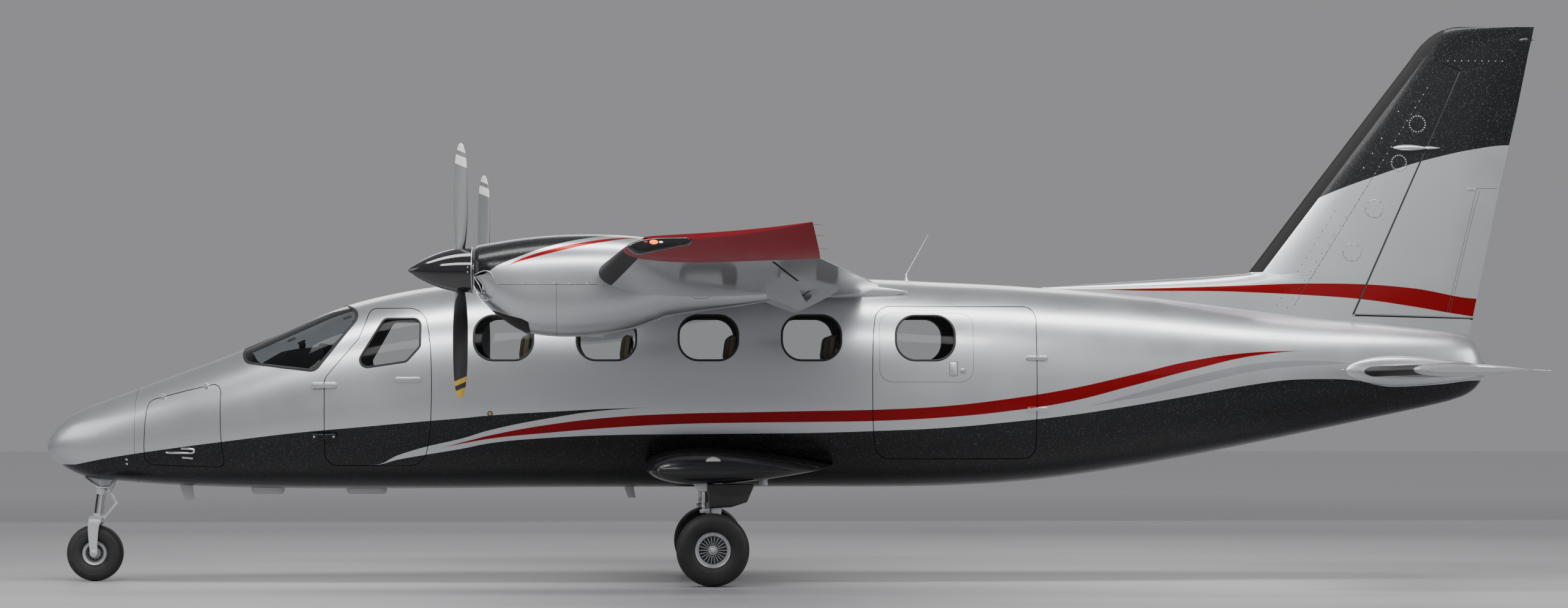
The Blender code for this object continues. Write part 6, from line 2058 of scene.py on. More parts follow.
def sew(thing, lines, depth, width, faces_way):
    """Sink sewn channels into a cushion along lines of points, on the faces that look one way."""
    mesh = thing.data
    points = [p for line in lines for p in dense(line, 0.006, False)]
    tree = KDTree(len(points))
    for i, p in enumerate(points):
        tree.insert(p, i)
    tree.balance()
    normals = [v.normal.copy() for v in mesh.vertices]
    for vertex, normal in zip(mesh.vertices, normals):
        if normal.dot(faces_way) < 0.25:
            continue
        flat = vertex.co - faces_way * vertex.co.dot(faces_way)
        _, _, distance = tree.find(flat)
        vertex.co = vertex.co - normal * depth * exp(-(distance / width) ** 2)
    mesh.update()


def laid_on(thing, starts, way, lift=0.0):
    """Points and normals where rays from the starts meet a cushion, lifted a little off it."""
    tree = BVHTree.FromPolygons([v.co for v in thing.data.vertices], [tuple(p.vertices) for p in thing.data.polygons])
    places = []
    for start in starts:
        place, normal, _, _ = tree.ray_cast(start, way(start) if callable(way) else way)
        if place is not None:
            places.append((place + normal * lift, normal))
    return places


def ring_round(centre, u, v, half_u, half_v, corner, grow=0.08):
    """Points round a rounded rectangle, outside it, in the plane of two directions."""
    shape = rounded(rectangle(-half_u, half_u, -half_v, half_v), corner, grow, 6)
    return [centre + u * p.x + v * p.y for p in dense(shape, 0.02)]


def seat_models():
    """One seat's pieces about its own front, made once: cushion and back swollen as cloth, belt, frame and shell."""
    cushion = block("cushion", Vector((0.206, 0, 1.2465)), AFT, ACROSS, (0.366, 0.388, 0.083))
    soften(cushion, 0.027, 4)
    puffed(cushion, lambda p: p.z < 1.2085, 0.022)
    lines = [[Vector((0.02, y, 0)), Vector((0.39, y, 0))] for y in (-0.118, 0.118)]
    lines += [[Vector((x, -0.118, 0)), Vector((x, 0.118, 0))] for x in (0.125, 0.245)]
    sew(cushion, lines, 0.008, 0.009, UP)

    slope = Vector((0.083, 0, 0.71)).normalized()
    out = Vector((-slope.z, 0, slope.x))
    shape = ((0.432, 1.275), (0.5115, 1.275), (0.5705, 1.940), (0.5135, 1.940))
    back = loft("back", [[Vector((x, y, z)) for x, z in shape] for y in (-0.182, 0.182)])
    soften(back, 0.026, 4)
    rear = (Vector((0.5115, 0, 1.275)), Vector((0.5705 - 0.5115, 0, 1.940 - 1.275)).normalized())
    rear_way = Vector((rear[1].z, 0, -rear[1].x))
    puffed(back, lambda p: (p - rear[0]).dot(rear_way) > -0.0035, 0.016)
    centre = Vector((0.50, 0, 1.60))
    flat = centre - out * centre.dot(out)

    def on_back(y, up):
        p = flat + ACROSS * y + slope * up
        return p - out * p.dot(out)

    lines = [[on_back(y, -0.30), on_back(y, 0.15)] for y in (-0.105, 0.105)]
    lines += [[on_back(-0.105, up), on_back(0.105, up)] for up in (-0.16, -0.02)]
    lines.append([on_back(-0.19, 0.155), on_back(0.19, 0.155)])
    sew(back, lines, 0.008, 0.009, out)

    piping = []
    middle = Vector((0.204, 0, 1.278))
    starts = ring_round(middle, AFT, ACROSS, 0.186, 0.196, 0.03)
    places = laid_on(cushion, starts, lambda p: (middle - p).normalized(), -0.0004)
    piping.append(tube("piping", [p for p, _ in places], 0.0028, 8, closed=True))
    middle = Vector((0.485, 0, 1.60))
    starts = ring_round(middle, ACROSS, slope, 0.185, 0.335, 0.03)
    places = laid_on(back, starts, lambda p: (middle - p).normalized(), -0.0004)
    piping.append(tube("piping", [p for p, _ in places], 0.0028, 8, closed=True))
    piping = merge("piping", piping)

    strap = ((-0.0225, 0.0), (0.0225, 0.0), (0.0225, 0.0018), (-0.0225, 0.0018))
    middle = Vector((0.305, 0, 1.235))
    belts = []
    for side in (-1, 1):
        angles = [radians(a) for a in (-4, 3, 10, 17, 23, 28)]
        starts = [middle + 0.4 * Vector((0, side * cos(a), sin(a))) for a in angles]
        places = [(Vector((0.305, side * 0.187, 1.190)), ACROSS * side)]
        places += laid_on(cushion, starts, lambda p: (middle - p).normalized(), 0.0008)
        above = [Vector((0.305, side * y, 1.5)) for y in (0.105, 0.08, 0.055, 0.03)]
        places += laid_on(cushion, above, -UP, 0.0008)
        belts.append(strip("strap", places, strap, closed=False))
    belts = merge("belts", belts)
    top = laid_on(cushion, [Vector((0.305, 0, 1.5))], -UP)[0][0]
    buckle = block("buckle", top + UP * 0.007, ACROSS, AFT, (0.075, 0.050, 0.013), 0.003)
    latch = block("latch", top + UP * 0.0145, ACROSS, AFT, (0.040, 0.036, 0.005), 0.0015)
    buckle = merge("buckle", [buckle, latch])

    frame_parts = [block("pan", Vector((0.205, 0, 1.1955)), AFT, ACROSS, (0.36, 0.37, 0.017), 0.004)]
    for y in (-0.085, 0.085):
        for x, lean in ((0.085, -0.010), (0.365, 0.012)):
            frame_parts.append(rod("leg", Vector((x + lean, y, 0.908)), Vector((x, y, 1.190)), 0.0115, count=16))
        frame_parts.append(block("skid", Vector((0.228, y, 0.9075)), AFT, ACROSS, (0.335, 0.026, 0.0135), 0.002))
    for x, z in ((0.085, 1.06), (0.365, 1.06)):
        frame_parts.append(rod("bar", Vector((x, -0.085, z)), Vector((x, 0.085, z)), 0.008, count=14))
    hoop = [Vector((0.375, -0.172, 1.196)), Vector((0.460, -0.174, 1.200)), Vector((0.515, -0.176, 1.235)),
            Vector((0.531, -0.178, 1.30)), Vector((0.5465, -0.178, 1.55)), Vector((0.5705, -0.168, 1.82)),
            Vector((0.5765, -0.12, 1.875)), Vector((0.577, 0.0, 1.885))]
    hoop = hoop + [Vector((p.x, -p.y, p.z)) for p in reversed(hoop[:-1])]
    frame_parts.append(tube("hoop", smooth_line(hoop, 0.03), 0.0095, 12))
    frame_part = merge("frame", frame_parts)
    shell = ((0.5125, 1.268), (0.5215, 1.262), (0.5795, 1.925), (0.5715, 1.936))
    shell = loft("shell", [[Vector((x, y, z)) for x, z in shell] for y in (-0.176, 0.176)])
    soften(shell, 0.003)
    pocket = block("pocket", Vector((0.5455, 0, 1.52)), slope, ACROSS, (0.22, 0.26, 0.012), 0.004)
    pocket.data.transform(Matrix.Translation(Vector((0.0085, 0, 0))))
    return {
        "cushion": (cushion, "leather", "seat_leather", 70.0), "back": (back, "leather", "seat_leather", 70.0),
        "piping": (piping, "leather_dark", "seat_leather", 60.0), "belt": (belts, "webbing", "dark_trim", 50.0),
        "buckle": (buckle, "chrome", "gear_steel", 35.0), "frame": (frame_part, "steel", "gear_steel", 35.0),
        "shell": (shell, "dark", "dark_trim", 35.0), "pocket": (pocket, "leather_dark", "seat_leather", 35.0),
    }


def make_seats(m):
    models = seat_models()
    places = []
    for side, label in SIDES:
        places.append((f"crew_seat_{label}", CREW_SEAT_STATION, side))
        places += [(f"seat_{i + 1}_{label}", front, side) for i, front in enumerate(SEAT_ROWS)]
    for name, front, side in places:
        shift = Matrix.Translation(at(front, side * SEAT_Y, 0.0))
        for part, (model, finish, slot, angle) in models.items():
            mesh = model.data.copy()
            mesh.transform(shift)
            copy = bpy.data.objects.new(part, mesh)
            bpy.context.scene.collection.objects.link(copy)
            stands_for = (name,) if part == "frame" else ()
            piece(copy, f"{name}_{part}", stands_for=stands_for, finish=m[finish], angle=angle)
    for model, _, _, _ in models.values():
        bpy.data.objects.remove(model, do_unlink=True)


def make_panel(m):
    """Instrument panel with dials and screens, its glare shield, control wheels, levers, pedals and compass."""
    room = fuselage_solid("room", 1.60, 2.24, WALL + SEAT_GAP, INNER_POINTS, 0.06)
    face = ((1.66, 1.60), (1.72, 1.20), (1.90, 1.20), (1.93, 1.62), (1.93, 1.64), (1.70, 1.64))
    panel = side_prism("panel", anticlockwise(face), -0.9, 0.9)
    carve(panel, room, "INTERSECT", drop=False)
    piece(panel, "instrument_panel_body", stands_for=("instrument_panel",), finish=m["dark"])
    lip = (
        (1.70, 1.6405), (1.93, 1.6405), (2.10, 1.668), (2.168, 1.700), (2.176, 1.690), (2.208, 1.690), (2.212, 1.700),
        (2.212, 1.858), (2.204, 1.866), (2.180, 1.864), (2.166, 1.836), (2.00, 1.822), (1.88, 1.800), (1.74, 1.720),
    )
    shield = side_prism("shield", anticlockwise(lip), -0.9, 0.9)
    carve(shield, room, "INTERSECT")
    piece(shield, "glare_shield", finish=m["leather_black"], angle=50)

    slope = Vector((0.03, 0, 0.42)).normalized()
    out = Vector((slope.z, 0, -slope.x))

    def on_face(y, z):
        return at(1.90 + (z - 1.20) * 0.03 / 0.42, y, z)

    rims, faces, marks, screens, knobs = [], [], [], [], []
    for side in (-1, 1):
        for row, z in enumerate((1.525, 1.425)):
            for column in range(3):
                spot = on_face(side * (0.245 + column * 0.100), z)
                profile = [(0.0, 0.0455), (0.006, 0.0455), (0.0075, 0.043), (0.0065, 0.0395), (0.003, 0.0385)]
                rims.append(lathe("rim", spot, out, profile, 40))
                faces.append(lathe("dial", spot, out, [(0.0, 0.0385), (0.0034, 0.0385)], 40))
                for k in range(12):
                    angle = 2 * pi * k / 12
                    way = ACROSS * cos(angle) + slope * sin(angle)
                    marks.append(block("mark", spot + out * 0.0036 + way * 0.0325, way, out, (0.008, 0.0012, 0.0016)))
                angle = 1.1 + 0.9 * column + 1.7 * row
                way = ACROSS * cos(angle) + slope * sin(angle)
                marks.append(block("needle", spot + out * 0.0044 + way * 0.013, way, out, (0.030, 0.0010, 0.0026)))
    for y, z, width, height in ((0.0, 1.545, 0.19, 0.105), (0.0, 1.425, 0.19, 0.105)):
        spot = on_face(y, z)
        rims.append(block("bezel", spot + out * 0.003, ACROSS, slope, (width, height, 0.010), 0.003))
        screens.append(block("screen", spot + out * 0.0088, ACROSS, slope, (width * 0.86, height * 0.80, 0.002)))
        for k in range(6):
            foot = spot + ACROSS * (k - 2.5) * width / 6.4 - slope * height * 0.45
            knobs.append(rod("knob", foot + out * 0.006, foot + out * 0.016, 0.0042, count=14, edge=0.001))
    for side in (-1, 1):
        for k in range(9):
            spot = on_face(side * (0.16 + k * 0.040), 1.325)
            knobs.append(block("switch", spot + out * 0.006, slope, ACROSS, (0.020, 0.010, 0.014), 0.002))
    piece(merge("rims", rims), "dial_rims", finish=m["satin_black"], angle=40)
    piece(merge("faces", faces), "dial_faces", finish=m["screen"], angle=40)
    piece(merge("marks", marks), "dial_marks", finish=m["legend"])
    piece(merge("screens", screens), "panel_screens", finish=m["screen"])
    piece(merge("knobs", knobs), "panel_switches", finish=m["alloy"])

    wheels = []
    for side in (-1, 1):
        hub = at(2.060, side * SEAT_Y, 1.455)
        wheels.append(rod("column", at(1.915, side * SEAT_Y, 1.44), hub, 0.014, count=20))
        horn = [Vector((0.004, -0.135, 0.115)), Vector((0.010, -0.145, 0.055)), Vector((0.012, -0.120, -0.005)),
                Vector((0.006, -0.060, -0.020)), Vector((0.0, 0.0, -0.022))]
        horn = horn + [Vector((p.x, -p.y, p.z)) for p in reversed(horn[:-1])]
        wheels.append(tube("wheel", [hub + p for p in smooth_line(horn, 0.015)], 0.0125, 14))
        wheels.append(block("boss", hub - UP * 0.012, ACROSS, UP, (0.075, 0.050, 0.034), 0.008))
    piece(merge("wheels", wheels), "control_wheels", finish=m["satin_black"], angle=50)
    quadrant = block("quadrant", at(1.975, 0.0, 1.315), AFT, ACROSS, (0.135, 0.150, 0.085), 0.010)
    piece(quadrant, "lever_quadrant", finish=m["dark"])
    levers, tops = [], []
    for k in range(6):
        y = (k - 2.5) * 0.022
        foot, head = at(1.975, y, 1.35), at(1.985 + 0.008 * (k % 2), y, 1.415)
        levers.append(rod("lever", foot, head, 0.0032, count=10))
        tops.append(rod("top", head - ACROSS * 0.008, head + ACROSS * 0.008, 0.0095, count=20, edge=0.003))
    piece(merge("levers", levers), "engine_levers", finish=m["steel"])
    piece(merge("tops", tops), "engine_lever_tops", finish=m["red"], angle=50)
    pedals = []
    for side in (-1, 1):
        for inner in (-1, 1):
            y = side * SEAT_Y + inner * 0.085
            pedals.append(rod("arm", at(1.790, y, 1.205), at(1.775, y, 1.000), 0.009, count=14))
            pad = at(1.782, y, 0.985)
            pedals.append(block("pad", pad, Vector((0.25, 0, 1.0)), ACROSS, (0.105, 0.080, 0.012), 0.003))
        y = side * SEAT_Y
        pedals.append(rod("bar", at(1.790, y - 0.15, 1.195), at(1.790, y + 0.15, 1.195), 0.012, count=16))
    piece(merge("pedals", pedals), "rudder_pedals", finish=m["steel"])
    compass = [block("compass", at(2.00, 0.0, 1.858), AFT, ACROSS, (0.050, 0.058, 0.056), 0.012),
               rod("stalk", at(2.00, 0.0, 1.818), at(2.00, 0.0, 1.838), 0.010, count=16)]
    piece(merge("compass", compass), "compass_case", finish=m["satin_black"], angle=50)


def make_interior(m):
    """Carpeted floor, seat rails, seats, instrument panel and ceiling lights."""
    floor = box("floor", CABIN_FRONT - 0.1, AFT_BULKHEAD + 0.1, -0.9, 0.9, FLOOR_TOP - 0.045, FLOOR_TOP)
    room = fuselage_solid("room", CABIN_FRONT + SEAT_GAP, AFT_BULKHEAD - SEAT_GAP, WALL + SEAT_GAP, INNER_POINTS, 0.10)
    carve(floor, room, "INTERSECT")
    piece(floor, "cabin_carpet", stands_for=("cabin_floor",), finish=m["carpet"])
    rails = []
    for side in (-1, 1):
        for y in (side * 0.275, side * 0.445):
            rails.append(box("rail", 2.45, 6.30, y - 0.015, y + 0.015, FLOOR_TOP - 0.004, FLOOR_TOP + 0.0008))
    piece(merge("rails", rails), "seat_rails", finish=m["steel"])
    make_seats(m)
    make_panel(m)
    lamps = []
    for side in (-1, 1):
        for i in range(4):
            front = SEAT_ROWS[i] + 0.12
            z = interpolate(FUSELAGE, front, 2) - WALL
            lamps.append(rod("lamp", at(front, side * 0.20, z - 0.012), at(front, side * 0.20, z + 0.030), 0.032, 0.036,
                             count=32, edge=0.004))
    piece(merge("lamps", lamps), "ceiling_lamps", finish=m["lens"], angle=50)


# Hinges, handles, antennas and other fittings


def plate(name, place, along, length, width, thickness, sink=0.004, corner=None):
    """A flat plate with rounded corners or ends, set on a surface."""
    p, n = place
    u = (along - n * along.dot(n)).normalized()
    v = n.cross(u)
    edge = 0.0015
    corner = min(length, width) * 0.499 if corner is None else corner
    outline = rectangle(-length / 2, length / 2, -width / 2, width / 2)
    rings = []
    for height, grow in ((-sink, 0.0), (thickness - edge, 0.0), (thickness - edge * 0.3, -edge * 0.3),
                         (thickness, -edge)):
        rings.append([p + u * q.x + v * q.y + n * height for q in rounded(outline, corner, grow, 8)])
    return loft(name, rings)


def screw(place, radius=0.0065, height=0.0016):
    """A low screw head with a dished top."""
    p, n = place
    profile = [(-0.002, radius), (height * 0.6, radius), (height, radius * 0.8), (height, radius * 0.45),
               (height * 0.3, radius * 0.35)]
    return lathe("screw", p, n, profile, 18)


def spindle(name, centre, along, out, length, width, height, sharp=0.75, count=24):
    """A slender streamlined blister along one direction, widest ahead of its middle."""
    u = along.normalized()
    w = (out - u * out.dot(u)).normalized()
    v = u.cross(w)
    rings = []
    for i in range(count + 1):
        t = 0.5 - 0.5 * cos(pi * i / count)
        swell = max(sin(pi * t ** sharp), 0.0) ** 0.8 + 0.004
        middle = centre + u * length * (t - 0.5)
        rings.append([middle + v * width / 2 * swell * cos(a) + w * height * swell * sin(a) for a in turns(20)])
    return loft(name, rings)


def blade(name, rows):
    """An upright blade of lens-shaped sections; each row has two stations, a height and a half thickness."""
    rings = []
    for x0, x1, z, half in rows:
        rings.append([at((x0 + x1) / 2 + (x1 - x0) / 2 * cos(a), half * sin(a), z) for a in turns(28)])
    return loft(name, rings)


def hinge(m, name, door, point, axis, inward, toward_door, lift, reach=0.100, height=0.046, screws=True):
    """Two half plates that meet at the axis, one on the frame and one on the door, with knuckles between them."""
    axis = axis.normalized()
    inward = inward.normalized()
    half = height / 2
    start = 0.0075
    corner = Vector((reach - half, 0.0))
    outline = [Vector((start, -half))] + [corner + half * Vector((cos(a), sin(a)))
                                          for a in [pi * (k / 12 - 0.5) for k in range(13)]] + [Vector((start, half))]
    knuckles = {-1: ((-0.0070, 0.0070),), 1: ((0.0075, half - 0.002), (0.002 - half, -0.0075))}
    for body, way in (("airframe", -1), (door, 1)):
        along = toward_door * way
        rings = []
        for depth, shrink in ((lift + 0.010, 0.0), (0.0040, 0.0), (0.0030, 0.0005), (0.0025, 0.0015)):
            ring = []
            for p in outline:
                x = max(p.x - shrink, start)
                ring.append(point + along * x + axis * (p.y - copysign(shrink, p.y)) + inward * depth)
            rings.append(ring)
        parts = [loft("leaf", rings)]
        for low, high in knuckles[way]:
            parts.append(rod("knuckle", point + axis * low, point + axis * high, 0.0065, count=24, edge=0.0008))
            middle = point + axis * (low + high) / 2 + along * 0.0045 + inward * 0.0045
            parts.append(block("tab", middle, along, axis, (0.011, high - low, 0.0036)))
        label = f"{name}_{'frame' if way < 0 else 'door'}"
        piece(merge("leaf", parts), f"{label}_hinge", body, finish=m["fuselage"], angle=40)
        if screws:
            head = screw((point + along * (reach - half - 0.002) + inward * 0.0025, -inward), 0.0085, 0.002)
            piece(head, f"{label}_hinge_screw", body, finish=m["steel"], angle=40)


def make_door_fittings(m, skin):
    """Hinges, handles and seams of the four doors, in the hinges' CAD places."""
    for side, label in SIDES:
        for i, z in enumerate(CREW_HINGE_HEIGHTS):
            point = at(CREW_AXIS[0], side * CREW_AXIS[1], z)
            lift = CREW_AXIS[1] - skin_y(CREW_AXIS[0] - 0.09, z)
            hinge(m, f"crew_{label}_{i}", f"crew_door_{label}", point, UP, Vector((0, -side, 0)), AFT, lift)
        place = skin.side_point(2.875, 1.583, side)
        handle = plate("handle", place, AFT, 0.205, 0.040, 0.006)
        piece(handle, f"crew_door_{label}_handle", f"crew_door_{label}", finish=m["fuselage"], angle=40)
        places = [skin.side_point(x, 1.583, side) for x in (2.796, 2.954)]
        heads = merge("heads", [screw((p + n * 0.006, n)) for p, n in places])
        piece(heads, f"crew_door_{label}_handle_screws", f"crew_door_{label}", finish=m["steel"],
              angle=40)
    for i, z in enumerate(CARGO_HINGE_HEIGHTS):
        point = at(CARGO_AXIS[0], -CARGO_AXIS[1], z)
        lift = CARGO_AXIS[1] - skin_y(CARGO_AXIS[0] + 0.09, z)
        hinge(m, f"cargo_{i}", "cargo_door", point, UP, Vector((0, 1, 0)), Vector((-1, 0, 0)), lift, 0.085, 0.036)
    ends = []
    for station, z in (BAGGAGE_DOOR[3], BAGGAGE_DOOR[2]):
        ends.append(at(station, -(skin_y(station, z) + 0.018), z + RUNNING_GAP / 2))
    along = (ends[1] - ends[0]).normalized()
    down = (-UP + along * along.dot(UP)).normalized()
    inward = along.cross(down)
    inward = inward if inward.y > 0 else -inward
    for i, t in enumerate((0.22, 0.78)):
        hinge(m, f"baggage_{i}", "nose_baggage_door", ends[0].lerp(ends[1], t), along, inward, down, 0.024, 0.028,
              0.030, False)

    hatch = dense(rounded(rectangle(6.525, 7.255, 1.565, 2.10), 0.10), 0.03)
    line = strip_on("line", skin, hatch, -1, SEAM)
    piece(line, "cargo_hatch_seam", "cargo_door", finish=m["dark"])
    grip = plate("grip", skin.side_point(7.10, 1.668, -1), UP, 0.105, 0.055, 0.0025, corner=0.012)
    piece(grip, "cargo_hatch_grip", "cargo_door", finish=m["fuselage"], angle=40)
    grip_edge = dense(rounded(rectangle(7.068, 7.132, 1.611, 1.725), 0.015), 0.012)
    piece(strip_on("line", skin, grip_edge, -1, SEAM), "cargo_hatch_grip_seam", "cargo_door",
          finish=m["dark"])
    lock = plate("lock", skin.side_point(7.175, 1.650, -1), UP, 0.046, 0.046, 0.003)
    piece(lock, "cargo_hatch_lock", "cargo_door", finish=m["steel"], angle=40)

    bar = ((0.985, 1.018, 0.004), (1.02, 1.018, 0.011), (1.10, 1.018, 0.013), (1.175, 1.018, 0.013),
           (1.203, 1.022, 0.013), (1.210, 1.034, 0.012), (1.200, 1.045, 0.011), (1.165, 1.048, 0.010),
           (1.105, 1.048, 0.003))
    spots = [skin.side_point(x, z, -1) for x, z, _ in bar]
    path = smooth_line([p + n * row[2] for (p, n), row in zip(spots, bar)], 0.008)
    piece(tube("bar", path, 0.0085, 16), "baggage_door_handle", "nose_baggage_door", finish=m["chrome"],
          angle=60)
    catches = [plate("catch", skin.side_point(1.155, 1.122, -1), AFT, 0.085, 0.007, 0.002),
               plate("catch", skin.side_point(1.15, 0.975, -1), AFT, 0.090, 0.016, 0.003)]
    piece(merge("catches", catches), "baggage_door_catches", "nose_baggage_door", finish=m["steel"],
          angle=40)


def make_skin_fittings(m, skin):
    """Radome seam, ports, antennas and the whip aerial of the fuselage."""
    ring = body_ring(FUSELAGE, RADOME_STATION, 0.0, 0.0, 90)
    seam = strip("seam", [skin.nearest(p)[:2] for p in ring], SEAM)
    piece(seam, "radome_seam", finish=m["dark"])
    for side, label in SIDES:
        rims = [lathe("rim", p, n, [(-0.002, 0.0095), (0.002, 0.0095), (0.003, 0.008), (0.001, 0.005)], 24)
                for p, n in (skin.side_point(0.665, z, side) for z in (0.928, 0.962))]
        piece(merge("rims", rims), f"static_ports_{label}", finish=m["chrome"], angle=40)
        p, n = skin.side_point(3.51, 1.32, side)
        rim = lathe("rim", p, n, [(-0.002, 0.021), (0.002, 0.021), (0.003, 0.019), (0.001, 0.013)], 28)
        piece(rim, f"drain_rim_{label}", finish=m["satin_black"], angle=40)
        profile = [(-0.002, 0.0125), (0.003, 0.0125), (0.0045, 0.010), (0.0045, 0.004), (0.002, 0.003)]
        cap = lathe("cap", p, n, profile, 24)
        piece(cap, f"drain_cap_{label}", finish=m["gold"], angle=40)

    belly = [blade("blade", ((1.040, 1.140, 0.775, 0.010), (1.045, 1.142, 0.735, 0.008), (1.080, 1.155, 0.645, 0.005),
                             (1.090, 1.153, 0.640, 0.003))),
             blade("blade", ((4.525, 4.612, 0.760, 0.009), (4.545, 4.618, 0.735, 0.008), (4.570, 4.632, 0.658, 0.005),
                             (4.578, 4.628, 0.653, 0.003)))]
    for x0, x1 in ((1.600, 1.865), (2.350, 2.670)):
        belly.append(blade("fairing", ((x0, x1, 0.760, 0.045), (x0 + 0.002, x1 - 0.002, 0.712, 0.043),
                                       (x0 + 0.012, x1 - 0.010, 0.692, 0.036), (x0 + 0.035, x1 - 0.025, 0.684, 0.022))))
    piece(merge("belly", belly), "belly_antennas", finish=m["pale_grey"], angle=50)
    top = skin.hit(at(6.78, 0.0, 4.0), -UP)[0]
    foot = lathe("foot", top - UP * 0.003, UP, [(0.0, 0.032), (0.005, 0.031), (0.014, 0.018), (0.030, 0.011),
                                                (0.060, 0.008), (0.064, 0.005)], 28)
    piece(foot, "roof_aerial_foot", finish=m["steel"], angle=50)
    whip = rod("whip", top + UP * 0.055, at(6.954, 0.0, 2.735), 0.0058, 0.0032, 12)
    piece(whip, "roof_aerial", finish=m["alloy"])


